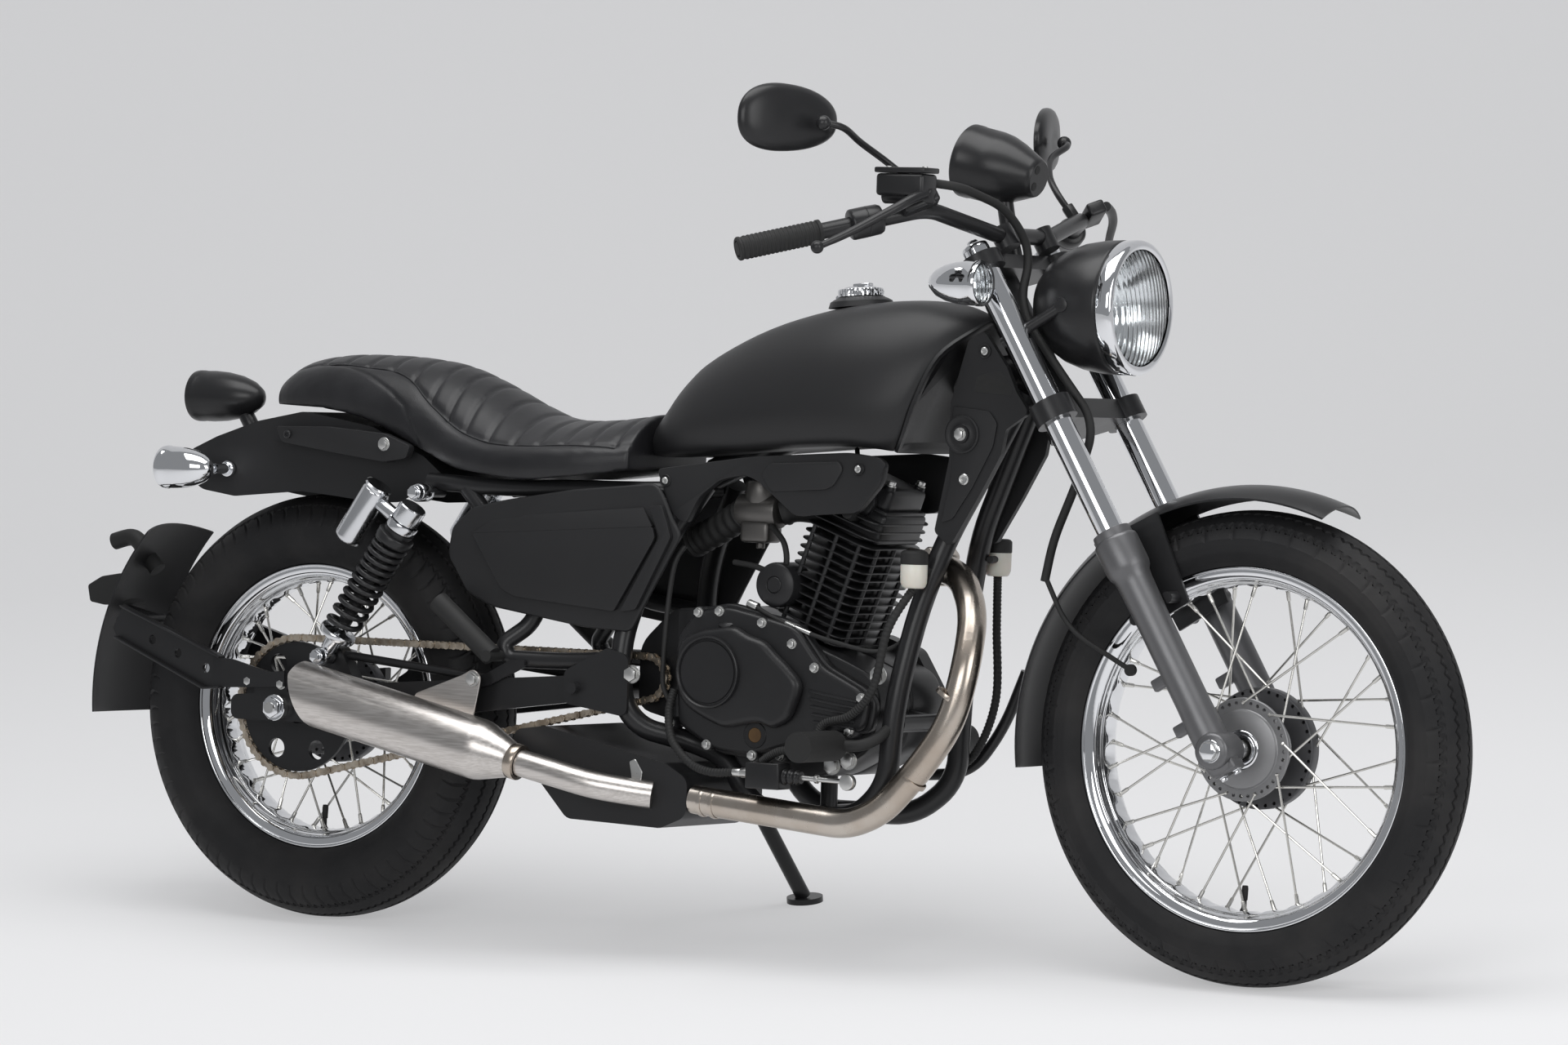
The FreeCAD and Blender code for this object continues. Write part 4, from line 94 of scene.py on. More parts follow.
class Finish:
    """A material and the nodes that feed its surface."""

    def __init__(self, name, colour, roughness, metallic=0, **surface):
        self.material = bpy.data.materials.new(name)
        self.material.use_nodes = True
        self.tree = self.material.node_tree
        self.surface = self.tree.nodes["Principled BSDF"]
        self.put("Base Color", (*colour, 1))
        self.put("Roughness", roughness)
        self.put("Metallic", metallic)
        for socket, value in surface.items():
            self.put(socket.replace("_", " "), value)
        self.place = self.node("TexCoord", {}, [], "Object")

    def put(self, socket, value):
        target = self.surface.inputs[socket]
        if isinstance(value, Wire):
            self.tree.links.new(value.socket, target)
        else:
            target.default_value = value

    def node(self, kind, settings, values, output=0):
        node = self.tree.nodes.new("ShaderNode" + kind)
        for key, value in settings.items():
            setattr(node, key, value)
        pairs = values.items() if isinstance(values, dict) else enumerate(values)
        for key, value in pairs:
            if isinstance(value, Wire):
                self.tree.links.new(value.socket, node.inputs[key])
            else:
                node.inputs[key].default_value = value
        return Wire(self, node.outputs[output])

    def noise(self, scale, detail=3, stretch=(1, 1, 1), roughness=.5):
        place = self.place
        if stretch != (1, 1, 1):
            place = self.node("Mapping", {}, {"Vector": place, "Scale": stretch})
        return self.node("TexNoise", {}, {"Vector": place, "Scale": scale, "Detail": detail, "Roughness": roughness})

    def shades(self, mask, one, two):
        """Blends two colours by a mask."""
        return self.node("Mix", {"data_type": "RGBA"}, {0: mask, 6: (*one, 1), 7: (*two, 1)}, 2)

    def gloss(self, base, spread, scale, detail=3):
        """A roughness that varies by a noise."""
        self.put("Roughness", base + self.noise(scale, detail) * spread)

    def bump(self, height, depth, strength=1):
        """A relief, as deep as depth, raised by a height."""
        self.put("Normal", self.node("Bump", {}, {"Height": height, "Distance": depth, "Strength": strength}))


def new_piece(kind, name, **sizes):
    """A primitive of Blender's own, with everything else deselected."""
    bpy.ops.object.select_all(action="DESELECT")
    getattr(bpy.ops.mesh, "primitive_%s_add" % kind)(**sizes)
    piece = bpy.context.object
    piece.name = piece.data.name = name
    return piece


def pick(*pieces):
    """Selects pieces, the first of them active."""
    bpy.ops.object.select_all(action="DESELECT")
    for piece in pieces:
        piece.select_set(True)
    bpy.context.view_layer.objects.active = pieces[0]


def mode(kind):
    """Goes into object or edit mode."""
    bpy.ops.object.mode_set(mode=kind)


def choose(kind, action):
    """Selects all or none of a mesh's vertices or edges, in edit mode."""
    bpy.ops.mesh.select_mode(type=kind)
    bpy.ops.mesh.select_all(action=action)


floor_size, floor_shift, cove_radius, cove_steps, wall_height = (40, 14, 1), (0, -3.9, 0), 3, 12, 9
floor = new_piece("plane", "studio_floor", size=1)
mode("EDIT")
bpy.ops.transform.resize(value=floor_size)
bpy.ops.transform.translate(value=floor_shift)
choose("EDGE", "DESELECT")
mode("OBJECT")
for edge in floor.data.edges:
    edge.select = all(floor.data.vertices[index].co.y > 0 for index in edge.vertices)
mode("EDIT")
rises = [math.radians(90 * step / cove_steps) for step in range(cove_steps + 1)]
for before, rise in zip(rises, rises[1:]):
    bpy.ops.mesh.extrude_edges_move(TRANSFORM_OT_translate={"value": (
        0, cove_radius * (math.sin(rise) - math.sin(before)), cove_radius * (math.cos(before) - math.cos(rise)))})
bpy.ops.mesh.extrude_edges_move(TRANSFORM_OT_translate={"value": (0, 0, wall_height)})
mode("OBJECT")
bpy.ops.object.shade_smooth()
floor.data.transform(Matrix.Rotation(view_turn, 4, "Z"))
room = Finish("studio_paper", (.8, .8, .81), .9)
rays = [room.node("LightPath", {}, [], kind) for kind in ("Is Camera Ray", "Is Glossy Ray", "Is Transmission Ray")]
glow_share = .42
seen = (rays[0] + rays[1]).maths("ADD", rays[2], clamp=True) * glow_share
glow = room.node("Emission", {}, {"Color": (.93, .93, .94, 1), "Strength": 1})
mixed = room.node("MixShader", {}, [seen, Wire(room, room.surface.outputs[0]), glow])
room.tree.links.new(mixed.socket, room.tree.nodes["Material Output"].inputs["Surface"])
floor.data.materials.append(room.material)

bpy.context.scene.view_settings.view_transform = "Standard"
world = bpy.data.worlds.new("studio_light")
bpy.context.scene.world = world
world.use_nodes = True
sky = world.node_tree.nodes["Background"].inputs
sky["Color"].default_value, sky["Strength"].default_value = (.9, .92, .95, 1), .3


def soft_box(name, where, towards, width, height, power):
    """A rectangular lamp that faces a point."""
    light = bpy.data.lights.new(name, "AREA")
    light.shape = "RECTANGLE"
    light.size = width
    light.size_y = height
    light.energy = power
    lamp = bpy.data.objects.new(name, light)
    bpy.context.collection.objects.link(lamp)
    lamp.location = where
    lamp.rotation_euler = (Vector(towards) - Vector(where)).to_track_quat("-Z", "Y").to_euler()


soft_box("overhead_box", (.2, -.3, 3.6), (.1, 0, 0), 3.6, 2.2, 92)
soft_box("camera_box", (1.2, -4.6, 2.6), (0, 0, .5), 3, 2, 62)
soft_box("front_box", (4.2, -1.4, 2), (.4, 0, .5), 2, 2.4, 46)


# Tyres: black rubber covers, mounted on the rims. The front has five zigzag grooves round its crown, the rear has
# five coarser ones and short cuts across its shoulders. Sidewalls are smooth but for the moulded rings.
def turned(name, outline, steps, closed=False):
    """A shape turned about its Z axis: half of its section, drawn as points, is spun through a full turn."""
    piece = new_piece("circle", name, vertices=len(outline), radius=1)
    for vertex, (radius, level) in zip(piece.data.vertices, outline):
        vertex.co = (radius, 0, level)
    if not closed:
        mode("EDIT")
        choose("EDGE", "DESELECT")
        mode("OBJECT")
        for edge in piece.data.edges:
            edge.select = set(edge.vertices) == {0, len(outline) - 1}
        mode("EDIT")
        bpy.ops.mesh.delete(type="EDGE")
        mode("OBJECT")
    mode("EDIT")
    choose("VERT", "SELECT")
    bpy.ops.mesh.spin(steps=steps, angle=math.tau, center=(0, 0, 0), axis=(0, 0, 1))
    bpy.ops.mesh.select_all(action="SELECT")
    bpy.ops.mesh.remove_doubles(threshold=.00001)
    bpy.ops.mesh.normals_make_consistent(inside=False)
    mode("OBJECT")
    return piece


def settle(piece, body, finish, place=Matrix(), nodes=(), smooth=35):
    """Leans a finished piece with the machine, its place in its mesh, and ties it to the body that carries it."""
    pick(piece)
    bpy.ops.object.transform_apply(location=True, rotation=True, scale=True)
    piece.data.transform(upright @ place)
    piece.data.materials.clear()
    piece.data.materials.append(finish.material)
    bpy.ops.object.shade_smooth_by_angle(angle=math.radians(smooth))
    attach(piece, body)
    if nodes:
        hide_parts(*nodes)
    return piece


def arc(one, middle, two, count):
    """Points along the circle through three points of a section."""
    (ax, ay), (bx, by), (cx, cy) = one, middle, two
    d = 2 * (ax * (by - cy) + bx * (cy - ay) + cx * (ay - by))
    a2, b2, c2 = ax * ax + ay * ay, bx * bx + by * by, cx * cx + cy * cy
    ux = (a2 * (by - cy) + b2 * (cy - ay) + c2 * (ay - by)) / d
    uy = (a2 * (cx - bx) + b2 * (ax - cx) + c2 * (bx - ax)) / d
    start, mid, end = (math.atan2(y - uy, x - ux) for x, y in (one, middle, two))
    turn = math.tau if start < end else -math.tau
    if not min(start, end) < mid < max(start, end):
        end -= turn
        if not min(start, end) < mid < max(start, end):
            mid += math.tau if mid < min(start, end) else -math.tau
    reach = math.hypot(ax - ux, ay - uy)
    return [(ux + reach * math.cos(start + (end - start) * k / count),
             uy + reach * math.sin(start + (end - start) * k / count)) for k in range(count + 1)]


WHEELBASE, FRONT_TYRE, REAR_TYRE, FRONT_RIM, REAR_RIM = 1.5, .32, .305, .245, .205
FRONT_WIDTH, REAR_WIDTH = .074, .084
axle_turn = Matrix.Rotation(math.radians(-90), 4, "X")
front_wheel = Matrix.Translation((WHEELBASE, 0, FRONT_TYRE)) @ axle_turn
rear_wheel = Matrix.Translation((0, 0, REAR_TYRE)) @ axle_turn

rubber = Finish("tyre_black_rubber", (.017, .017, .019), .62, Specular_IOR_Level=.25)
dust = rubber.noise(9, 5)
rubber.put("Base Color", rubber.shades(dust.ramp(.35, .75), (.012, .012, .013), (.024, .023, .023)))
rubber.gloss(.5, .28, 35, 3)
rubber.bump(rubber.noise(420, 3) * .5 + rubber.noise(60, 4) * .6, .0006, .35)


def tyre(name, radius, width, rim_radius, rim_width, grooves, period, columns, cuts, sweep, body, place, node):
    """A cover with its grooves. Period counts their zigzags and cuts the shoulder slots, which sweep leans."""
    shoulder, shoulder_radius = .41 * width, .92 * radius
    over = rim_radius + .0004
    belly = (over + shoulder_radius) / 2
    crown = (shoulder ** 2 + (radius - shoulder_radius) ** 2) / (2 * (radius - shoulder_radius))

    def surface(across):
        return radius - crown + math.sqrt(max(crown * crown - across * across, 0))

    rows = []
    edge = -shoulder * 1.02
    for groove, half, depth in grooves:
        for stop in (edge + (groove - half - .0006 - edge) * share for share in (0, .5)):
            rows.append((stop, 0, 0))
        rows += [(groove - half - .0006, .0003, 1), (groove - half, depth * .5, 1), (groove - half * .6, depth, 1),
                 (groove + half * .6, depth, 1), (groove + half, depth * .5, 1), (groove + half + .0006, .0003, 1)]
        edge = groove + half + .0006
    rows += [(edge + (shoulder * 1.02 - edge) * share, 0, 0) for share in (.33, .66, 1)]
    rows = rows[1:]
    top = [(surface(across) - depth, across) for across, depth, wave in rows]
    left = arc((over, -rim_width / 2), (belly, -width / 2), (shoulder_radius, -shoulder), 15)
    ring = [(r + (.0011 if k in (5, 6) else 0), y - (.0009 if k in (5, 6, 11) else 0))
            for k, (r, y) in enumerate(left)][:-1]
    bead = [(over, rim_width / 2 - .01), (rim_radius - .0146, rim_width / 2 - .014),
            (rim_radius - .0146, .014 - rim_width / 2), (over, .01 - rim_width / 2)]
    outline = ring + top + [(r, -y) for r, y in reversed(ring)] + bead
    cover = turned(name, outline, columns, closed=True)
    waves = {(round(r, 5), round(y, 5)): row for (r, y), row in zip(top, rows)}
    for vertex in cover.data.vertices:
        x, y, z = vertex.co
        reach, turn = math.hypot(x, y), math.atan2(y, x)
        row = waves.get((round(reach, 5), round(z, 5)))
        if row is None and reach > rim_radius + .02:
            row = waves.get(min(waves, key=lambda key: abs(key[0] - reach) + abs(key[1] - z)))
            if abs(surface(row[0]) - row[1] - reach) + abs(row[0] - z) > .0002:
                row = None
        column = round((turn / math.tau) % 1 * columns)
        if row and row[2]:
            swing = abs((column / columns * period) % 1 * 4 - 2) - 1
            across = row[0] + swing * .0021
            reach = surface(across) - row[1]
        else:
            across = z
        outside = abs(across) - grooves[-1][0]
        if outside > .001 and reach > belly and column % (columns // cuts) == 0:
            reach -= .0035 * min(1, (reach - belly) / .02)
        if outside > -.004:
            turn += sweep * math.sin(outside / .02 * 2.2)
        vertex.co = (reach * math.cos(turn), reach * math.sin(turn), across)
    return settle(cover, body, rubber, place, [node], 28)


tyre("front_tyre_cover", FRONT_TYRE, .097, FRONT_RIM, FRONT_WIDTH,
     [(-.036, .0017, .003), (-.02, .0017, .0035), (0, .0017, .0035), (.02, .0017, .0035),
      (.036, .0017, .003)], 126, 504, 42, .012, "front_wheel", front_wheel, "front_tyre")
tyre("rear_tyre_cover", REAR_TYRE, .136, REAR_RIM, REAR_WIDTH,
     [(-.047, .0016, .0035), (-.024, .0019, .004), (0, .0019, .004), (.024, .0019, .004),
      (.047, .0016, .0035)], 148, 592, 74, .03, "rear_wheel", rear_wheel, "rear_tyre")

# Rims: chromed steel, rolled from one strip, with round lips, bead seats and a well. Each nipple sits in a dimple
# that is pressed into the well, and the valve stands inwards at the bottom.
chrome = Finish("bright_chrome", (.78, .79, .81), .05, 1)
chrome.put("Roughness", .03 + chrome.noise(18, 4).ramp(.5, .8) * .09)
chrome.bump(chrome.noise(14, 2), .0006, .12)
spoke_steel = Finish("spoke_zinc", (.62, .61, .58), .22, 1)
spoke_steel.gloss(.16, .16, 240, 2)
SPOKES, DIMPLE, NIPPLE_DEPTH = 36, .9915, .025


def rim(name, radius, width, body, place, node):
    """One rim, with a dimple at every spoke."""
    lip = [(radius - .0026 + .0026 * math.sin(t), -width / 2 + .0026 - .0026 * math.cos(t))
           for t in (math.radians(20 * k) for k in range(-4, 8))]
    well = arc((radius - .0165, -.0205), (radius - .02, -.0165), (radius - .0212, -.011), 4)
    outside = lip + [(radius - .012, .0085 - width / 2), (radius - .015, .0125 - width / 2)] + well
    inside = [(r - .0042, y) for r, y in reversed(well)] + [
        (radius - .0198, .0125 - width / 2), (radius - .0175, .006 - width / 2),
        (radius - .0095, .0016 - width / 2)]
    outline = outside + [(r, -y) for r, y in reversed(outside)] + [(r, -y) for r, y in reversed(inside)] + inside
    band = turned(name, outline, 216, closed=True)
    for vertex in band.data.vertices:
        x, y, z = vertex.co
        if abs(z) < .0125 and math.hypot(x, y) < radius - .023:
            turn = math.atan2(y, x) / math.tau * SPOKES % 1
            if min(turn, 1 - turn) < .2:
                vertex.co = (x * DIMPLE, y * DIMPLE, z)
    return settle(band, body, chrome, place, [node], 50)


rim("front_rim_band", FRONT_RIM, FRONT_WIDTH, "front_wheel", front_wheel, "front_rim")
rim("rear_rim_band", REAR_RIM, REAR_WIDTH, "rear_wheel", rear_wheel, "rear_rim")


def copied(piece, place):
    """A copy with its own mesh, moved by a matrix."""
    twin = piece.copy()
    twin.data = piece.data.copy()
    bpy.context.collection.objects.link(twin)
    twin.data.transform(place)
    return twin


def joined(name, pieces):
    """Several pieces made one, under one name."""
    pick(*pieces)
    bpy.ops.object.join()
    pieces[0].name = pieces[0].data.name = name
    return pieces[0]


def along(start, end):
    """The matrix that takes +Z from one point to another."""
    start, end = Vector(start), Vector(end)
    return Matrix.Translation(start) @ (end - start).to_track_quat("Z", "Y").to_matrix().to_4x4()


def spokes(name, rim_radius, body, place):
    """Crossed spokes with their nipples, from both flanges to the dimples of the rim."""
    flange_radii = {-1: .069, 1: .082}
    reach = rim_radius - NIPPLE_DEPTH
    pieces, wires, known = [], [], 0
    for number in range(SPOKES):
        side = -1 if number % 2 else 1
        way = 1 if (number // 2) % 2 else -1
        turn = math.tau * number / SPOKES
        tip_turn = turn + way * .11 * math.tau
        root_reach = flange_radii[side] - .006
        root = Vector((root_reach * math.cos(turn), root_reach * math.sin(turn), side * (.031 + way * .0035)))
        tip = Vector((reach * math.cos(tip_turn), reach * math.sin(tip_turn), side * .0062))
        length = (tip - root).length
        if abs(length - known) > .00002:
            wire = turned("spoke", [(0, -.002), (.003, -.002), (.003, .0005), (.0017, .0015),
                                    (.0017, length - .017), (.0025, length - .0165), (.0029, length - .014),
                                    (.0029, length - .004), (.0038, length - .003), (.0038, length),
                                    (0, length)], 8)
            known = length
            wires.append(wire)
        pieces.append(copied(wire, along(root, tip)))
    for wire in wires:
        bpy.data.objects.remove(wire)
    return settle(joined(name, pieces), body, spoke_steel, place)


spokes("front_spokes", FRONT_RIM, "front_wheel", front_wheel)
spokes("rear_spokes", REAR_RIM, "rear_wheel", rear_wheel)

# Hubs: cast alloy, a drilled flange at each side, the drum at the left. The right flange carries a raised round
# cover with a polished bearing ring, and the axle passes through its dark middle.
hub_grey = Finish("hub_blasted_alloy", (.24, .24, .245), .42, .75)
hub_grey.gloss(.34, .18, 60, 4)
hub_grey.bump(hub_grey.noise(900, 2), .0003, .35)
drum_grey = Finish("drum_dark_alloy", (.1, .1, .105), .45, .7)
drum_grey.gloss(.36, .2, 40, 4)
drum_grey.bump(drum_grey.noise(700, 2), .0003, .35)
bearing_dark = Finish("bearing_shadow_black", (.012, .012, .012), .6)
bearing_dark.gloss(.5, .25, 120)


def drilled(piece, cutter):
    """Cuts one shape out of another for good."""
    pick(piece)
    tool = piece.modifiers.new("holes", "BOOLEAN")
    tool.operation = "DIFFERENCE"
    tool.object = cutter
    tool.solver = "EXACT"
    bpy.ops.object.modifier_apply(modifier="holes")
    bpy.data.objects.remove(cutter)
    return piece


def ring_of_pins(radius, pin, count, level, length):
    """Short pins on a circle, to drill with."""
    one = turned("pin", [(0, 0), (pin, 0), (pin, length), (0, length)], 10)
    pins = [copied(one, Matrix.Rotation(math.tau * k / count, 4, "Z") @ Matrix.Translation((radius, 0, level)))
            for k in range(count)]
    bpy.data.objects.remove(one)
    return joined("pins", pins)


def hub(name, body, place, rim_radius):
    """One hub: flange, barrel, drum, bearing ring and socket, with its rim's valve."""
    flange = turned(name + "_flange", [(.036, -.028), (.0685, -.0285), (.0695, -.0295), (.0695, -.033),
                                       (.0685, -.034), (.054, -.0342), (.053, -.035), (.052, -.0372),
                                       (.0505, -.038), (.0275, -.0388), (.0265, -.038), (.0262, -.032),
                                       (.036, -.03)], 96, closed=True)
    drilled(flange, ring_of_pins(.0625, .0026, SPOKES, -.04, .02))
    settle(flange, body, hub_grey, place, [name])
    barrel = turned(name + "_barrel", [(.03, -.0285), (.036, -.0285), (.035, -.022), (.0345, -.004),
                                       (.038, .004), (.046, .009), (.05, .0125), (.03, .0125)], 64)
    settle(barrel, body, hub_grey, place)
    drum = turned(name + "_drum", [(.04, .0125), (.08, .0125), (.0815, .014), (.082, .016),
                                   (.082, .031), (.081, .0325), (.076, .0335), (.074, .0315),
                                   (.056, .032), (.054, .0338), (.024, .034), (.0095, .034),
                                   (.0095, .0125)], 96, closed=True)
    drilled(drum, ring_of_pins(.077, .0026, SPOKES, 0, .02))
    settle(drum, body, drum_grey, place)
    race = turned(name + "_bearing_ring", [(.0155, -.037), (.017, -.0395), (.019, -.0395), (.0196, -.0375),
                                           (.0205, -.0372), (.0212, -.0392), (.0235, -.0398), (.0252, -.0392),
                                           (.0262, -.038), (.0262, -.033), (.0155, -.033)], 64, closed=True)
    settle(race, body, chrome, place)
    socket = turned(name + "_bearing_socket", [(.0095, -.034), (.0095, -.03), (.0155, -.03),
                                               (.0155, -.0372), (.0148, -.0372), (.0138, -.034)], 48,
                    closed=True)
    settle(socket, body, bearing_dark, place)
    valve = turned(name + "_valve_stem", [(0, 0), (.005, 0), (.0055, .003), (.0036, .006), (.0032, .016),
                                          (.0043, .017), (.0045, .032), (.0038, .036), (0, .0365)], 16)
    stem = Matrix.Rotation(math.radians(2), 4, "Z") @ along((0, rim_radius - NIPPLE_DEPTH, 0), (0, 0, 0))
    settle(valve, body, rubber, place @ stem)


hub("front_hub", "front_wheel", front_wheel, FRONT_RIM)
hub("rear_hub", "rear_wheel", rear_wheel, REAR_RIM)

# Fuel tank: pressed steel halves with a welded lip round the front and underneath, sprayed matt black. It sits on
# rubber over the backbone, its nose reaches over the steering head and the seat's nose is let into its tail.
matt_paint = Finish("tank_matt_black", (.0135, .0135, .0145), .43, Specular_IOR_Level=.38)
matt_paint.put("Base Color", matt_paint.shades(matt_paint.noise(5, 4), (.0105, .0105, .0115),
                                               (.0165, .0165, .0175)))
matt_paint.put("Roughness", .36 + matt_paint.noise(7, 3) * .1 + matt_paint.noise(260, 2) * .06)
matt_paint.bump(matt_paint.noise(900, 2), .00015, .4)


def smooth_between(rows, steps):
    """Rows of numbers with a smooth curve's rows put between them."""
    out = []
    for k in range(len(rows) - 1):
        one, two = rows[k], rows[k + 1]
        before, after = rows[max(k - 1, 0)], rows[min(k + 2, len(rows) - 1)]
        for step in range(steps):
            t = step / steps
            out.append([((2 * b) + (c - a) * t + (2 * a - 5 * b + 4 * c - d) * t * t
                         + (3 * b - a - 3 * c + d) * t ** 3) / 2
                        for a, b, c, d in zip(before, one, two, after)])
    return out + [list(rows[-1])]


def skin(name, rings, caps=(True, True)):
    """A grid whose rows are laid on rings of points, joined round and closed at the ends."""
    across = len(rings[0])
    piece = new_piece("grid", name, x_subdivisions=across, y_subdivisions=len(rings) - 1, size=1)
    for vertex in piece.data.vertices:
        row, column = divmod(vertex.index, across + 1)
        vertex.co = rings[row][column % across]
    mode("EDIT")
    bpy.ops.mesh.select_all(action="SELECT")
    bpy.ops.mesh.remove_doubles(threshold=.000002)
    for wanted, row in zip(caps, (rings[0], rings[-1])):
        if wanted:
            choose("VERT", "DESELECT")
            mode("OBJECT")
            points = [Vector(point) for point in row]
            for vertex in piece.data.vertices:
                vertex.select = min((vertex.co - point).length for point in points) < .000004
            mode("EDIT")
            bpy.ops.mesh.edge_face_add()
    bpy.ops.mesh.select_all(action="SELECT")
    bpy.ops.mesh.normals_make_consistent(inside=False)
    mode("OBJECT")
    return piece


def half_rings(table, steps, around, underside):
    """Rings of a left and right alike body. Each row of the table runs up one side: (along, half width, height)."""
    rings = []
    flat = smooth_between([[value for point in row for value in point] for row in table], steps)
    for row in flat:
        side = smooth_between([row[k:k + 3] for k in range(0, len(row), 3)], around)
        bottom = [(side[0][0], side[0][1] * share, side[0][2]) for share in underside]
        rings.append(bottom + side + [(x, -y, z) for x, y, z in reversed(side[:-1])]
                     + [(x, -y, z) for x, y, z in reversed(bottom[1:])])
    return rings


# The tank's sections in tenths of a metre, from its tail ahead, each as (along, half width, height) from base to crown.
TANK = [[(x / 10, y / 10, z / 10) for x, y, z in row] for row in (
    [(5.62, .36, 6.83), (5.63, .44, 6.9), (5.66, .5, 7.04), (5.68, .44, 7.22), (5.7, .24, 7.36),
     (5.7, 0, 7.4)],
    [(5.8, .48, 6.82), (5.81, .57, 6.9), (5.84, .64, 7.12), (5.87, .55, 7.38), (5.89, .3, 7.58),
     (5.9, 0, 7.65)],
    [(6.1, .6, 6.82), (6.1, .74, 6.92), (6.12, .82, 7.2), (6.14, .7, 7.58), (6.15, .39, 7.86),
     (6.15, 0, 7.95)],
    [(6.6, .76, 6.85), (6.6, .93, 6.96), (6.6, 1.02, 7.32), (6.6, .86, 7.82), (6.6, .49, 8.18),
     (6.6, 0, 8.29)],
    [(7.5, .92, 6.94), (7.5, 1.13, 7.06), (7.5, 1.23, 7.48), (7.5, 1.03, 8.12), (7.5, .6, 8.58),
     (7.5, 0, 8.71)],
    [(8.5, 1.02, 7.03), (8.5, 1.26, 7.16), (8.5, 1.36, 7.62), (8.5, 1.15, 8.34), (8.5, .68, 8.85),
     (8.5, 0, 8.98)],
    [(9.2, 1.02, 7.06), (9.2, 1.27, 7.2), (9.2, 1.37, 7.66), (9.2, 1.17, 8.42), (9.2, .7, 8.95),
     (9.2, 0, 9.07)],
    [(9.6, .98, 7.04), (9.65, 1.21, 7.18), (9.72, 1.31, 7.68), (9.82, 1.12, 8.42), (9.9, .66, 8.98),
     (9.9, 0, 9.09)],
    [(9.78, .92, 7.02), (9.92, 1.12, 7.22), (10.06, 1.2, 7.7), (10.26, 1.02, 8.38), (10.44, .6, 8.86),
     (10.46, 0, 9.02)],
    [(9.82, .89, 7.04), (10, 1.05, 7.26), (10.2, 1.1, 7.74), (10.44, .93, 8.34), (10.76, .48, 8.72),
     (10.82, 0, 8.88)],
)]
rings = half_rings(TANK, 5, 5, [0, .34, .7])
mouth = rings[-1]
centre = Vector((1.02, 0, .8))
for grow, ahead in ((.0035, .0005), (.0035, .005), (-.006, .0055), (-.012, .001)):
    rings.append([Vector(point) + (Vector(point) - centre).normalized() * grow + Vector((ahead, 0, -ahead * .4))
                  for point in mouth])
tank = skin("fuel_tank_shell", rings)
settle(tank, "chassis", matt_paint, nodes=["fuel_tank"], smooth=50)

# Filler: a round neck welded to the tank, and a chromed flip-up cap with a knurled rim and a latch on top.
cap_place = Matrix.Translation((.867, 0, .912)) @ Matrix.Rotation(math.radians(-5), 4, "Y")
neck = turned("filler_neck", [(0, -.016), (.046, -.014), (.043, -.006), (.0375, -.0028), (.0335, -.0012),
                              (.0325, -.0002), (.027, -.0002), (.026, -.008), (0, -.008)], 64)
settle(neck, "chassis", matt_paint, cap_place)
cap = turned("filler_cap", [(0, .0004), (.03, .0004), (.0312, .0012), (.0318, .003), (.0318, .0095),
                            (.0306, .0112), (.028, .0122), (.0235, .0124), (.0225, .0132), (.0215, .014),
                            (.012, .015), (0, .0152)], 96)
knurl_depth, knurl_step = .965, 3.75
for vertex in cap.data.vertices:
    x, y, z = vertex.co
    at_rim = .002 < z < .01 and math.hypot(x, y) > .031
    if at_rim and round(math.degrees(math.atan2(y, x)) / knurl_step) % 3 == 0:
        vertex.co = (x * knurl_depth, y * knurl_depth, z)
settle(cap, "fuel_lid", chrome, cap_place, ["fuel_lid"], 25)
latch = new_piece("cube", "filler_cap_latch", size=1)
mode("EDIT")
bpy.ops.transform.resize(value=(.026, .014, .005))
bpy.ops.transform.translate(value=(.004, 0, .0165))
bpy.ops.mesh.bevel(offset=.0018, segments=3)
mode("OBJECT")
settle(latch, "fuel_lid", chrome, cap_place)
knuckle = turned("filler_cap_knuckle", [(0, -.009), (.0034, -.009), (.004, -.0082), (.004, .0082),
                                        (.0034, .009), (0, .009)], 20)
settle(knuckle, "fuel_lid", chrome, cap_place @ Matrix.Translation((-.032, 0, .0003)) @ axle_turn)


# Seat: foam on a moulded base under a sewn cover of grained black leathercloth. The top panel is quilted in cross
# channels and edged with a thin piping, the skirts are plain, and a seam runs down each side behind the rider.
hide = Finish("seat_black_leathercloth", (.014, .014, .016), .4, Specular_IOR_Level=.4)
grain = hide.node("TexVoronoi", {}, {"Vector": hide.place, "Scale": 620, "Randomness": .9})
hide.put("Base Color", hide.shades(hide.noise(14, 4).ramp(.3, .8), (.01, .01, .0115), (.019, .019, .021)))
hide.gloss(.32, .16, 22, 4)
hide.bump(grain * .7 + hide.noise(160, 4) * .5, .0004, .3)

SEAT = [
    (-.7, 7.38, .5, 7.5, .52, 7.62, .42, 7.72), (-.62, 7.36, .62, 7.53, .64, 7.7, .52, 7.84),
    (-.3, 7.35, .76, 7.6, .78, 7.84, .64, 8.03), (.3, 7.35, .88, 7.62, .9, 7.92, .74, 8.13),
    (1, 7.24, .95, 7.55, .98, 7.88, .8, 8.14), (1.6, 7.04, 1.02, 7.38, 1.05, 7.72, .87, 8.11),
    (2.2, 6.78, 1.1, 7.1, 1.15, 7.45, .97, 8.02), (2.8, 6.56, 1.2, 6.85, 1.26, 7.12, 1.09, 7.8),
    (3.4, 6.46, 1.28, 6.7, 1.34, 6.95, 1.18, 7.52), (4, 6.44, 1.3, 6.68, 1.36, 6.93, 1.2, 7.32),
    (4.8, 6.5, 1.22, 6.74, 1.27, 6.98, 1.12, 7.32), (5.6, 6.62, 1.02, 6.83, 1.05, 7.04, .92, 7.43),
]
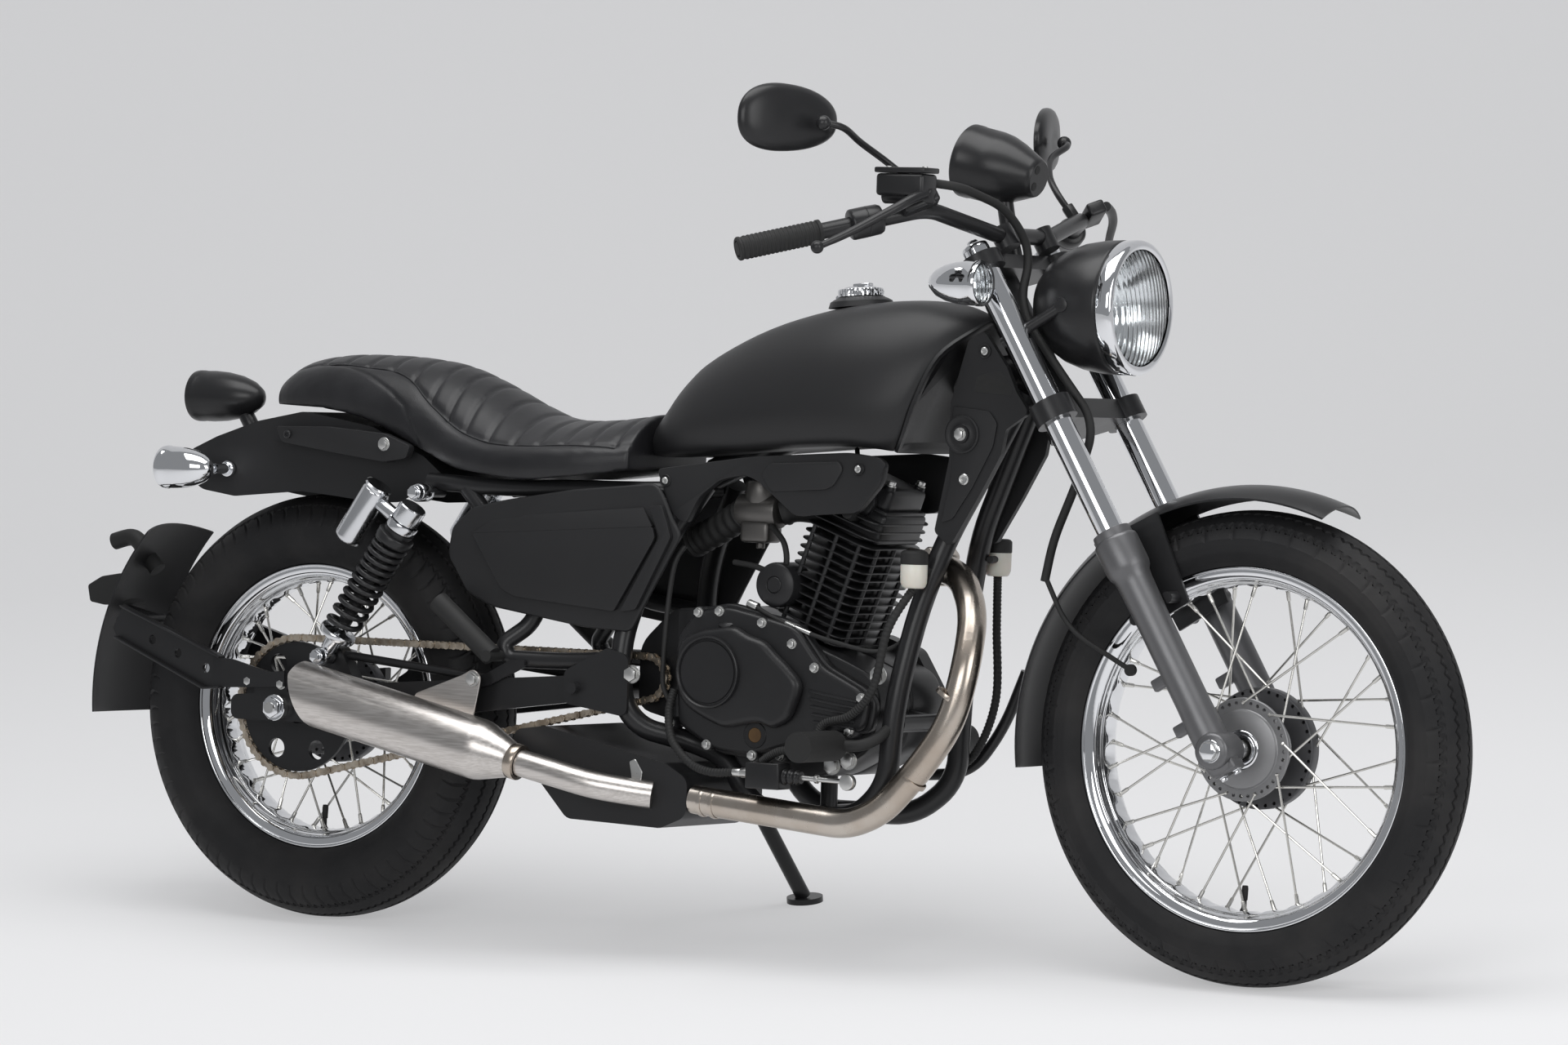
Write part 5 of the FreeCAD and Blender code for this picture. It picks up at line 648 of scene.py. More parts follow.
PAD_EDGE = [(-.075, .03), (-.06, .045), (.01, .058), (.051, .063), (.095, .068), (.134, .067), (.171, .075),
            (.2, .088), (.223, .096), (.258, .105), (.293, .112), (.336, .1175), (.376, .119), (.42, .118),
            (.46, .1145), (.497, .111), (.537, .105), (.57, .094)]
CHANNELS = (.01, .051, .093, .134, .178, .22, .256, .291, .333, .376, .418, .457, .497, .536)
SIDE_SEAM = [(-.045, .052, .787), (-.003, .055, .7975), (.056, .07, .796), (.104, .083, .784), (.148, .095, .764),
             (.181, .1045, .742), (.199, .112, .714), (.212, .113, .69)]


def between(table, value):
    """Straight-line reading of a table of pairs."""
    for (x0, y0), (x1, y1) in zip(table, table[1:]):
        if value <= x1:
            return y0 + (y1 - y0) * max(0, (value - x0) / (x1 - x0))
    return table[-1][1]


def gap_to_line(point, line):
    """How far a point lies from a run of straight stretches."""
    nearest = 1
    for one, two in zip(line, line[1:]):
        one, two = Vector(one), Vector(two)
        share = max(0, min(1, (point - one).dot(two - one) / (two - one).length_squared))
        nearest = min(nearest, (point - one - (two - one) * share).length)
    return nearest


rings = []
for x, base, base_half, middle, middle_half, shoulder, shoulder_half, crown in smooth_between(SEAT, 4):
    sides = arc((base_half, base), (middle_half, middle), (shoulder_half, shoulder), 7)
    top = arc((shoulder_half, shoulder), (0, crown), (-shoulder_half, shoulder), 14)
    loop = sides + top[1:] + [(-y, z) for y, z in reversed(sides)][1:]
    under = [(base_half * share, base) for share in (-.66, -.33, 0, .33, .66)]
    rings.append([(x / 10, y / 10, z / 10) for y, z in loop + under])
cushion = skin("seat_cover", rings)
for vertex in cushion.data.vertices:
    if vertex.co.z > .69:
        vertex.co.z -= .0015
pick(cushion)
cushion.data.remesh_voxel_size = .0062
bpy.ops.object.voxel_remesh()


def sewn(point, normal):
    """How near a point of the cover is to a line that is sewn down, from 0 on it."""
    side = abs(point.y)
    edge = between(PAD_EDGE, point.x)
    on_top = side < edge and normal.z > .15
    to_edge = abs(side - edge) if normal.z > .1 else 1
    to_channel = min(abs(point.x - line) for line in CHANNELS) if on_top else 1
    to_seam = gap_to_line(Vector((point.x, side, point.z)), SIDE_SEAM) if point.x < .25 and side > .04 else 1
    return to_edge, to_channel, to_seam


most_swell, channel_depth, seam_depth, quick_swell = .0055, .003, .0016, .0022
SEAT_BASE = [(-.07, .738), (.03, .735), (.16, .704), (.28, .656), (.4, .644), (.563, .662)]
group = cushion.vertex_groups.new(name="sewn")
resting = [vertex.co.copy() for vertex in cushion.data.vertices]
for vertex in cushion.data.vertices:
    held = vertex.normal.z < -.25 or min(sewn(vertex.co, vertex.normal)) < .0036 or vertex.co.x > .556
    group.add([vertex.index], 1 if held else 0, "REPLACE")
stuffing = cushion.modifiers.new("stuffing", "CLOTH")
for setting, value in {"quality": 5, "mass": .3, "tension_stiffness": 8, "compression_stiffness": 8,
                       "use_pressure": True, "uniform_pressure_force": 4, "vertex_group_mass": "sewn"}.items():
    setattr(stuffing.settings, setting, value)
stuffing.settings.effector_weights.gravity = 0
for moment in range(1, 21):
    bpy.context.scene.frame_set(moment)
puffed = cushion.evaluated_get(bpy.context.evaluated_depsgraph_get())
swollen = [vertex.co.copy() for vertex in puffed.data.vertices]
cushion.modifiers.remove(stuffing)
bpy.context.scene.frame_set(1)
for vertex, was, now in zip(cushion.data.vertices, resting, swollen):
    move = now - was
    vertex.co = was + move * min(1, most_swell / max(move.length, .00001))
pick(cushion)
finer = cushion.modifiers.new("finer", "SUBSURF")
finer.levels = finer.render_levels = 1
bpy.ops.object.modifier_apply(modifier="finer")
outwards = [vertex.normal.copy() for vertex in cushion.data.vertices]
for vertex, outward in zip(cushion.data.vertices, outwards):
    to_edge, to_channel, to_seam = sewn(vertex.co, outward)
    sink = channel_depth * math.exp(-(to_channel / .0042) ** 2) + seam_depth * math.exp(-(to_edge / .0035) ** 2)
    sink += seam_depth * math.exp(-(to_seam / .0026) ** 2)
    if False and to_channel < .03:
        sink -= quick_swell * min(1, to_channel / .016)
    vertex.co -= outward * sink
    vertex.co.z = max(vertex.co.z, between(SEAT_BASE, vertex.co.x) - .0005)
cushion.data.update()
seat_tree = BVHTree.FromPolygons([vertex.co for vertex in cushion.data.vertices],
                                 [list(face.vertices) for face in cushion.data.polygons])


def on_seat(x, side):
    """The seat's own surface above a place."""
    place = seat_tree.ray_cast(Vector((x, side, 1)), Vector((0, 0, -1)))[0]
    return place or Vector((x, side, .7))


def hose(name, points, radius, sides=12, steps=6, caps=(True, True), radii=None):
    """A round tube swept along a smooth line through points."""
    line = [Vector(point) for point in smooth_between([list(point) for point in points], steps)]
    rings = []
    across = Vector((0, 0, 1))
    for k, point in enumerate(line):
        ahead = (line[min(k + 1, len(line) - 1)] - line[max(k - 1, 0)]).normalized()
        if abs(ahead.dot(across)) > .98:
            across = Vector((1, 0, 0))
        across = (across - ahead * across.dot(ahead)).normalized()
        other = ahead.cross(across)
        size = radii(k / (len(line) - 1)) if radii else radius
        rings.append([point + (across * math.cos(math.tau * n / sides) + other * math.sin(math.tau * n / sides)) * size
                      for n in range(sides)])
    return skin(name, rings, caps)


piping = []
for side in (-1, 1):
    line = [on_seat(x, side * (edge - .0004)) + Vector((0, 0, .0002)) for x, edge in
            smooth_between([list(pair) for pair in PAD_EDGE[2:-1]], 3)]
    piping.append(hose("seat_piping", line, .0013, 8, 1))
settle(joined("seat_piping", piping), "chassis", hide)
settle(cushion, "chassis", hide, nodes=["seat"], smooth=75)


# Side covers: one moulded black cover at each side. Its middle panel stands proud behind a fine groove, its upper band
# slopes inwards, and a slanted slot parts it from the strip at its front edge.
grained = Finish("moulded_black_plastic", (.017, .017, .018), .46, Specular_IOR_Level=.3)
grained.put("Base Color", grained.shades(grained.noise(6, 4), (.0135, .0135, .0145), (.021, .021, .022)))
grained.gloss(.4, .12, 9, 3)
grained.bump(grained.node("TexVoronoi", {}, {"Vector": grained.place, "Scale": 1400}), .00015, .35)


def eased(piece, width, place=Matrix(), segments=2, limit=30):
    """Rounds a piece's sharp edges, then puts it in its place."""
    pick(piece)
    easing = piece.modifiers.new("easing", "BEVEL")
    easing.width, easing.segments = width, segments
    easing.limit_method, easing.angle_limit = "ANGLE", math.radians(limit)
    bpy.ops.object.modifier_apply(modifier="easing")
    piece.data.transform(place)
    return piece


def plate(name, points, push):
    """A flat shape drawn through points and pushed out into a plate."""
    piece = new_piece("circle", name, vertices=len(points), radius=1, fill_type="NGON")
    for vertex, point in zip(piece.data.vertices, points):
        vertex.co = point
    mode("EDIT")
    bpy.ops.mesh.select_all(action="SELECT")
    bpy.ops.mesh.extrude_region_move(TRANSFORM_OT_translate={"value": push})
    bpy.ops.mesh.select_all(action="SELECT")
    bpy.ops.mesh.normals_make_consistent(inside=False)
    mode("OBJECT")
    return piece


def panel(name, outline, inner, outer, bevel, segments=2, sink=None):
    """A plate cut to an outline of (along, height), from one distance out on the right to another, edges eased."""
    piece = plate(name, [(x / 10, -inner / 10, z / 10) for x, z in outline], (0, (inner - outer) / 10, 0))
    if sink:
        for vertex in piece.data.vertices:
            if vertex.co.y < -(inner + outer) / 20:
                vertex.co.y += sink(vertex.co.x * 10, vertex.co.z * 10) / 10
    return eased(piece, bevel, segments=segments, limit=25)


def both_ways(pieces):
    """Right-hand pieces and their mirror images, as one."""
    twins = []
    for piece in pieces:
        twin = copied(piece, Matrix.Scale(-1, 4, (0, 1, 0)))
        twin.data.flip_normals()
        twins.append(twin)
    return list(pieces) + twins


def mirrored(name, pieces, finish, body="chassis", place=Matrix(), nodes=(), smooth=35):
    """Right-hand pieces and their mirror images, joined and settled as one."""
    return settle(joined(name, both_ways(pieces)), body, finish, place, nodes, smooth)


def rounded(outline, radius, count=4):
    """An outline with its corners rounded."""
    out = []
    for k, (x, z) in enumerate(outline):
        before, after = Vector(outline[k - 1]), Vector(outline[(k + 1) % len(outline)])
        corner = Vector((x, z))
        one, two = before - corner, after - corner
        cut = min(radius, one.length * .45, two.length * .45)
        start, end = corner + one.normalized() * cut, corner + two.normalized() * cut
        for step in range(count + 1):
            t = step / count
            out.append(tuple(start * (1 - t) ** 2 + corner * 2 * t * (1 - t) + end * t * t))
    return out


SIDE_COVER = [(2.86, 5.73), (3.19, 6.03), (3.75, 6.15), (4.84, 6.33), (6.2, 6.46), (6.34, 6.28), (6.5, 5.95),
              (6.64, 5.76), (5.85, 4.38), (5.12, 4.41), (3.55, 4.64), (3.15, 4.82), (2.8, 5.35)]
base_plate = panel("side_cover", rounded(SIDE_COVER, .1), 1.182, 1.285, .004, 3,
                   lambda x, z: -.05 * max(0, min(1, (6.2 - x) / 3)) + .03)
lower = panel("side_cover_panel", rounded([(3.22, 5.66), (6.22, 5.86), (6.26, 5.7), (5.62, 4.66), (3.96, 4.8),
                                           (3.74, 4.9)], .05), 1.27, 1.345, .0022, 3)
upper = panel("side_cover_band", rounded([(3.22, 5.66), (3.6, 5.9), (6.02, 6.12), (6.22, 5.86)], .03), 1.262, 1.345,
              .0015, 3, lambda x, z: .055 if z > 5.84 and not (x > 6.1 and z < 6) else 0)
strip = panel("side_cover_strip", rounded([(6.16, 6.14), (6.36, 6.16), (6.46, 5.9), (6.52, 5.72), (5.98, 4.7),
                                           (5.72, 4.66), (6.34, 5.72)], .04), 1.27, 1.345, .002, 3)
mirrored("side_cover_shells", [base_plate, lower, upper, strip], grained, nodes=["side_covers"])

# Tank trims: a moulded cover under each side of the tank, with a shallow pressed field and two screws in cups.
TRIM = [(6.15, 6.66), (7.67, 6.88), (9.2, 6.98), (9.7, 6.93), (9.81, 6.84), (9.75, 6.56), (9.4, 6.16),
        (8.41, 6.08), (7.8, 6.54), (7.59, 6.62), (7.18, 6.54), (6.85, 6.29), (6.64, 5.9), (6.41, 6.05)]
trim = panel("tank_trim", rounded(TRIM, .09), 1.022, 1.165, .004, 3, lambda x, z: .05 if z > 6.8 else 0)
field = panel("tank_trim_field", rounded([(7.86, 6.62), (7.98, 6.8), (9.1, 6.86), (9.16, 6.74), (9.02, 6.52),
                                          (8.9, 6.46), (8.02, 6.4)], .06), 1.13, 1.185, .0022, 3)
screw_steel = Finish("zinc_plated_steel", (.58, .58, .57), .3, 1)
screw_steel.gloss(.22, .2, 300, 3)
# A near-black finish for thin sheets and discs laid over openings: painted shade in place of the dark inside of the
# neck covers' windows and the speedometer's lamp holes.
shadow_black = Finish("painted_recess_shadow", (.008, .008, .008), .7)
shadow_black.gloss(.6, .2, 80)


def bolt(name, radius, height, kind="hex"):
    """A bolt head on its washer, standing on z = 0. A socket head has a recess in place of flats."""
    if kind == "hex":
        washer = turned(name, [(0, 0), (radius * 1.22, 0), (radius * 1.25, height * .1),
                               (radius * 1.2, height * .2), (radius * .9, height * .22), (0, height * .22)], 24)
        head = new_piece("cylinder", name + "_head", vertices=6, radius=radius, depth=height * .8,
                         location=(0, 0, height * .6))
        bpy.ops.object.transform_apply()
        return joined(name, [washer, eased(head, radius * .1)])
    return turned(name, [(0, height * .55), (radius * .42, height * .55), (radius * .46, height * .9),
                         (radius * .75, height), (radius * .95, height * .75), (radius, height * .4),
                         (radius, 0), (0, 0)], 24)


def facing_right(x, y, z):
    """Where a fixing stands on the right side, its axis pointing out."""
    return Matrix.Translation((x / 10, y / 10, z / 10)) @ Matrix.Rotation(math.radians(90), 4, "X")


def fixings(name, places, radius, height, kind="hex", finish=screw_steel, twins=True):
    """The same fixing at several places on the right and, where it has twins, mirrored on the left."""
    one = bolt(name, radius, height, kind)
    pieces = [copied(one, facing_right(*place)) for place in places]
    bpy.data.objects.remove(one)
    return settle(joined(name, both_ways(pieces) if twins else pieces), "chassis", finish, smooth=30)


mirrored("tank_trim_shells", [trim, field], grained, nodes=["tank_trims"])
cups = []
for x, z in ((6.3, 6.5), (9.4, 6.76)):
    cup = turned("screw_cup", [(.0045, 0), (.0082, 0), (.009, .0012), (.0084, .0022), (.0072, .0008),
                               (.0045, .0006)], 24, closed=True)
    cups.append(copied(cup, facing_right(x, -1.155, z)))
    bpy.data.objects.remove(cup)
mirrored("tank_trim_cups", cups, grained)
fixings("tank_trim_screws", [(6.3, -1.16, 6.5), (9.4, -1.165, 6.76)], .0052, .003, "socket")

# Neck covers: over the plain plate a raised shield, a window painted in as a thin near-black sheet of shade, a bolt on
# a rubber in a round dish, a screw above and a plated bolt below.
shield = panel("neck_shield", rounded([(10.58, 7.66), (11.16, 7.6), (11.28, 7.44), (11.22, 7.12), (10.92, 6.56),
                                       (10.62, 6.12), (10.44, 6.06), (10.58, 6.72), (10.6, 7.02), (10.56, 7.3)], .05),
               .652, .685, .0024, 3)
dish = turned("neck_dish", [(.027, 0), (.0262, .0022), (.024, .0026), (.0215, .0008), (.015, .0004),
                            (.0125, .002), (.0118, .006), (0, .0062)], 48)
dish.data.transform(facing_right(10.74, -.684, 7.28))
cup_high = turned("neck_cup", [(.0105, 0), (.0098, .0018), (.0086, .002), (.007, .0004), (0, .0004)], 32)
cup_high.data.transform(facing_right(11.04, -.659, 8.42))
mirrored("neck_shields", [shield, dish, cup_high], grained, smooth=40)
# The window is a flush near-black sheet: painted shade in place of the opening's dark inside.
window = panel("neck_window", rounded([(10.92, 8.08), (11.3, 8.16), (11.5, 7.92), (11.48, 7.82), (10.9, 7.86)], .04),
               .65, .6625, .0004, 1)
mirrored("neck_windows", [window], shadow_black)
fixings("neck_screws", [(11.04, -.66, 8.42)], .0058, .003, "socket")
fixings("neck_bolts", [(10.8, -.684, 6.67)], .0082, .005, "socket")
fixings("neck_rubber_bolts", [(10.74, -.744, 7.28)], .0074, .006)


# Fork legs: cast lower legs, blasted grey, with a dust-seal collar at the top, a clamp boss and nut for the axle and
# two bare lugs behind for the brake caliper that isn't fitted. Chromed tubes slide in them, with chromed caps on top.
def coated(name, colour, roughness, mottle=.25, peel=.00012, metallic=0):
    """A painted, cast or moulded surface: slightly uneven shade, gloss and skin."""
    finish = Finish(name, colour, roughness, metallic, Specular_IOR_Level=.36)
    dark = tuple(value * (1 - mottle) for value in colour)
    light = tuple(value * (1 + mottle) for value in colour)
    finish.put("Base Color", finish.shades(finish.noise(7, 4), dark, light))
    finish.gloss(roughness - .04, .1, 30, 3)
    finish.bump(finish.noise(500, 2), peel, .4)
    return finish


slider_grey = coated("slider_blasted_grey", (.155, .155, .16), .4, .08, .0002, .75)
satin = coated("satin_black_powder_coat", (.0155, .0155, .0165), .3, .2)
soft_rubber = coated("soft_black_rubber", (.016, .016, .016), .62, .2, .0002)
polished = coated("polished_alloy", (.66, .67, .69), .17, .05, .00006, 1)
fork = Matrix.Translation((1.46131, 0, .29703)) @ Matrix.Rotation(math.radians(-30.7), 4, "Y")
across = Matrix.Rotation(math.radians(90), 4, "X")


def solid(kind, name, place=Matrix(), ease=0, segments=2, **sizes):
    """A primitive put in its place, with eased edges."""
    piece = new_piece(kind, name, **sizes)
    piece.data.transform(piece.matrix_world)
    piece.matrix_world = Matrix()
    if ease:
        return eased(piece, ease, place, segments)
    piece.data.transform(place)
    return piece


def rod(name, radius, start, end, ease=0, sides=32):
    """A round bar between two points."""
    start, end = Vector(start), Vector(end)
    return solid("cylinder", name, along(start, end), ease, 2, vertices=sides, radius=radius,
                 depth=(end - start).length, location=(0, 0, (end - start).length / 2))


def block(name, size, centre, ease, segments=3, base=Matrix(), turn=Matrix()):
    """A box with eased edges, turned about its own centre."""
    return eased(solid("cube", name, Matrix.Diagonal((*size, 1)), size=1), ease,
                 base @ Matrix.Translation(centre) @ turn, segments)


leg_out = .098
legs = []
for side in (-1, 1):
    leg = turned("lower_leg", [
        (0, -.0335), (.01, -.0335), (.016, -.0318), (.0205, -.027), (.0238, -.018), (.0245, -.004), (.0245, .05),
        (.0236, .058), (.0232, .075), (.0234, .2), (.0246, .256), (.0258, .2665), (.0292, .2725), (.0306, .278),
        (.0308, .284), (.0308, .3165), (.03, .32), (.0272, .3225), (.0268, .329), (.0262, .3332), (.024, .3338),
        (.0212, .3322), (.0194, .3275), (.0194, .31), (0, .31)], 56)
    leg.data.transform(Matrix.Translation((.04, side * leg_out, 0)))
    boss = turned("axle_boss", [(0, -.0275), (.02, -.0275), (.0235, -.0255), (.025, -.022), (.025, .022),
                                (.0235, .0255), (.02, .0275), (0, .0275)], 48)
    boss.data.transform(Matrix.Translation((.045, side * leg_out, 0)) @ across)
    legs += [leg, boss, block("axle_clamp", (.036, .03, .016), (.045, side * leg_out, -.0255), .003)]
    for lug_level in (.052, .122):
        legs.append(block("caliper_lug", (.03, .012, .017), (.01, side * .092, lug_level), .003))
settle(joined("fork_lower_legs", legs), "steering", slider_grey, fork, nodes=["fork_sliders"],
       smooth=40)
nuts = []
for side in (-1, 1):
    for ahead in (-.011, .011):
        nut = bolt("clamp_nut", .0052, .006)
        nut.data.transform(Matrix.Translation((.045 + ahead, side * leg_out, -.0335))
                           @ Matrix.Rotation(math.pi, 4, "X"))
        nuts.append(nut)
    end = bolt("axle_end", .0125, .008)
    end.data.transform(Matrix.Translation((.045, side * .1258, 0)) @ Matrix.Rotation(math.radians(90 * -side), 4, "X"))
    nuts.append(end)
    cap = turned("fork_cap", [(0, .7815), (.007, .7815), (.0078, .7805), (.008, .7765), (.0135, .776), (.015, .775),
                              (.0178, .7735), (.0186, .7715), (.0188, .7685), (0, .7685)], 48)
    cap.data.transform(Matrix.Translation((.04, side * leg_out, 0)))
    nuts.append(cap)
settle(joined("fork_nuts_and_caps", nuts), "steering", chrome, fork, smooth=30)

# Headlamp: a pressed bowl in satin black on two ears, a chromed trim ring held by a screw, a fluted glass and, behind
# it, the silvered reflector with the bulb's cap in front.
clear_glass = Finish("clear_lens_glass", (.95, .97, .98), .03, 0, Transmission_Weight=1, IOR=1.45)
across_glass = clear_glass.node("SeparateXYZ", {}, {"Vector": clear_glass.place}, 1)
clear_glass.bump((across_glass * 620).maths("SINE"), .0009, .35)
clear_glass.gloss(.02, .03, 40)
mirror_silver = Finish("reflector_silver", (.86, .87, .88), .12, 1)
mirror_silver.gloss(.1, .08, 30)
lamp_place = Matrix.Translation((1.3043, 0, .9062)) @ Matrix.Rotation(math.radians(90), 4, "Y")
ring = turned("headlamp_ring", [(.0795, .003), (.0825, .0052), (.0865, .005), (.0905, .0025), (.0918, -.0015),
                                (.0918, -.0165), (.0905, -.0185), (.0895, -.019)], 96)
settle(ring, "steering", chrome, lamp_place, smooth=40)
bowl = turned("headlamp_bowl", [
    (.0895, -.0186), (.0895, -.02), (.0908, -.021), (.0915, -.024), (.0905, -.048), (.0862, -.076),
    (.078, -.1), (.065, -.122), (.047, -.1385), (.026, -.1475), (.012, -.1496), (0, -.15)], 96)
settle(bowl, "steering", satin, lamp_place, nodes=["headlamp_shell"], smooth=40)
glass = turned("headlamp_glass", [(0, .0155), (.02, .015), (.04, .013), (.058, .0095), (.07, .0055),
                                  (.078, .0015), (.0795, -.001), (.079, -.004), (.077, -.0035), (.069, .002),
                                  (.057, .0062), (.04, .0095), (.02, .0118), (0, .0123)], 96)
settle(glass, "steering", clear_glass, lamp_place, nodes=["headlamp_lens"], smooth=50)
dish = turned("headlamp_reflector", [(.0785, -.006), (.07, -.02), (.056, -.04), (.04, -.055),
                                     (.024, -.064), (.012, -.0675), (0, -.069)], 72)
bulb_cap = turned("bulb_cap", [(0, -.02), (.01, -.021), (.0135, -.026), (.0135, -.05), (.008, -.066),
                               (0, -.068)], 32)
settle(joined("headlamp_reflector", [dish, bulb_cap]), "steering", mirror_silver, lamp_place)
ears = []
for side in (-1, 1):
    ears.append(rod("headlamp_ear", .0075, (1.15, side * leg_out, .853), (1.232, side * .08, .907)))
    ears.append(rod("ear_bolt", .01, (1.232, side * .074, .907), (1.232, side * .0895, .907), .002))
ears.append(rod("ring_screw", .0032, (1.298, -.049, .823), (1.303, -.049, .8225), .0008, 16))
settle(joined("headlamp_ears", ears), "steering", satin)


# Indicators: chromed bullets with clear lenses, on short stalks. The front pair looks ahead, the rear pair behind.
def bullet_lamp(name, place, body, node, stalk):
    """A pair of indicators: shells on their stalks, lenses and the mirrors behind them."""
    shell = turned(name, [(.0262, .001), (.03, 0), (.031, .0025), (.031, .0085), (.0302, .01),
                          (.03, .025), (.0285, .04), (.025, .056), (.019, .07), (.011, .0795),
                          (.004, .083), (0, .0835)], 64)
    lens = turned(name + "_lens", [(0, .0012), (.01, .0014), (.02, .0026), (.0265, .0052), (.0285, .009),
                                   (.027, .0095), (.02, .0065), (.01, .0048), (0, .0045)], 48)
    bowl_inside = turned(name + "_mirror", [(.0275, .01), (.022, .024), (.012, .034), (0, .037)], 40)
    for piece in (shell, lens, bowl_inside):
        piece.data.transform(place)
    mirrored(name, [joined(name, [shell] + stalk)], chrome, body, nodes=[node], smooth=40)
    mirrored(name, [lens], clear_glass, body, smooth=40)
    mirrored(name, [bowl_inside], mirror_silver, body, smooth=40)


facing_back = Matrix.Rotation(math.radians(90), 4, "Y")
facing_ahead = Matrix.Rotation(math.radians(-90), 4, "Y")
bullet_lamp("front_indicator_shell", Matrix.Translation((1.1562, -.166, .9323)) @ facing_ahead, "steering",
            "front_indicators", [rod("stalk", .007, (1.136, -.118, .932), (1.136, -.145, .932)),
                                 rod("stalk_collar", .0105, (1.136, -.118, .932), (1.136, -.124, .932), .001)])
bullet_lamp("rear_indicator_shell", Matrix.Translation((-.202, -.145, .642)) @ facing_back, "chassis",
            "rear_indicators", [rod("stalk", .0075, (-.126, -.0935, .642), (-.126, -.13, .642)),
                                rod("stalk_collar", .0115, (-.126, -.0935, .642), (-.126, -.1, .642), .001)])

# Speedometer: a black pod that narrows ahead, with a raised rim round its dial and two lamp holes in its nose, each
# painted in as a thin near-black disc of shade, on a stem that rises from the upper yoke.
pod_place = along(fork @ Vector((.041, 0, .913)), fork @ Vector((.123, 0, .837)))
pod = turned("speedometer_pod", [
    (0, .0015), (.044, .0015), (.0455, 0), (.049, 0), (.0508, .002), (.0508, .012), (.05, .0135),
    (.0498, .045), (.0478, .06), (.042, .078), (.034, .096), (.0285, .108), (.0262, .113), (.0235, .115),
    (0, .1152)], 80)
settle(pod, "steering", satin, pod_place, nodes=["speedometer"], smooth=35)
# The lamp holes are thin near-black discs on the nose surface: painted shade, not openings.
holes = [rod("pod_hole", .006, (-.0095, side * .0115, .1149), (-.0095, side * .0115, .1156)) for side in (-1, 1)]
settle(joined("pod_holes", holes), "steering", shadow_black, pod_place)
pod_stem = hose("pod_stem", [fork @ Vector(point) for point in ((.04, 0, .7585), (.052, 0, .8), (.078, 0, .872))],
                .0115, 24)
settle(pod_stem, "steering", satin)

# Mirrors: egg-shaped shells in black plastic, narrow end inwards, a flat glass behind in a rubber lip, each on a bent
# rod that screws into a clamp on the bar.
def ball_at(name, centre, radius):
    """A ball with its centre at a place."""
    ball = new_piece("uv_sphere", name, segments=32, ring_count=12, radius=radius)
    ball.data.transform(Matrix.Translation(centre))
    return ball


mirror_turn = Matrix.Rotation(math.radians(-22), 4, "Z")
mirror_half, mirror_rise, roundness, egg = .083, .045, .86, .13
mirror_rings = []
for depth, grow in ((-.005, .9), (-.0062, .955), (-.005, .99), (-.002, 1), (.002, .985), (.006, .93),
                    (.0095, .8), (.0115, .62), (.0125, .4), (.0129, .18)):
    ring = []
    for k in range(64):
        angle = math.tau * k / 64
        y = math.copysign(abs(math.cos(angle)) ** roundness, math.cos(angle))
        z = math.copysign(abs(math.sin(angle)) ** roundness, math.sin(angle))
        z *= (1 + egg * y) * (1 + .05 * math.sin(angle))
        ring.append((depth + .002 * y, -y * mirror_half * grow, z * mirror_rise * grow))
    mirror_rings.append(ring)
shell = skin("mirror_shell", mirror_rings, (False, True))
lip = mirror_rings[0]
shell_lip = skin("mirror_glass", [lip] + [[(x + .001, y * share, z * share) for x, y, z in lip]
                                          for share in (.985, .3)], (False, True))
centre = fork @ Vector((-.004, -.352, .986))
for piece in (shell, shell_lip):
    piece.data.transform(Matrix.Translation(centre) @ mirror_turn)
rod_points = [fork @ Vector(point) for point in ((.052, -.202, .828), (.046, -.202, .866), (.038, -.222, .9),
                                                 (.034, -.262, .932), (.042, -.306, .948), (.03, -.33, .962))]
stem = hose("mirror_stem", rod_points, .0048, 16)
nut = rod("mirror_nut", .0095, fork @ Vector((.0535, -.202, .82)), fork @ Vector((.0505, -.202, .842)), .0012, 6)
ball = ball_at("mirror_ball", rod_points[-1], .01)
mirrored("mirror_shells", [shell, stem, nut, ball], satin, "steering", nodes=["mirrors"], smooth=40)
mirrored("mirror_glasses", [shell_lip], mirror_silver, "steering")

# Hand controls: ribbed rubber grips with end weights, moulded switch cases in two halves, ball-ended levers in cast
# perches, and on the right the front brake's small cast master cylinder with its lid and two screws.
bar_end, bar_bend = Vector((-.118, -.405, .852)), Vector((.058, -.215, .818))
bar_line = (bar_bend - bar_end).normalized()
grip_length, grip_over = .118, .01
grip_from = bar_end - bar_line * grip_over
grip_place = along(grip_from, grip_from + bar_line * grip_length)
grip_outline = [(.0112, -.0002), (.015, -.0002), (.0162, .0012), (.0162, .004), (.015, .0055)]
for k in range(17):
    level = .009 + k * .006
    grip_outline += [(.0154, level), (.0162, level + .001), (.0162, level + .003), (.0154, level + .004)]
grip_outline += [(.015, .112), (.0165, .113), (.0165, .1175), (.015, .118), (.0112, .118)]
grip = turned("grip", grip_outline, 40, closed=True)
grip.data.transform(grip_place)
mirrored("grip_rubbers", [grip], soft_rubber, "steering", fork, ["grips"])
weight = turned("bar_end", [(0, -.0008), (.0085, -.0008), (.01, .0004), (.0108, .002), (.0108, .008),
                            (0, .008)], 32)
weight.data.transform(grip_place)
mirrored("bar_end_weights", [weight], soft_rubber, "steering", fork)
inboard = along(bar_end + bar_line * .15, bar_bend)
case = turned("switch_case", [(.0114, 0), (.0185, 0), (.0205, .0016), (.021, .004), (.021, .0218), (.0204, .0224),
                              (.0204, .0232), (.021, .0238), (.0205, .04), (.0185, .044), (.015, .0455),
                              (.0114, .0455)], 40, closed=True)
case.data.transform(inboard)
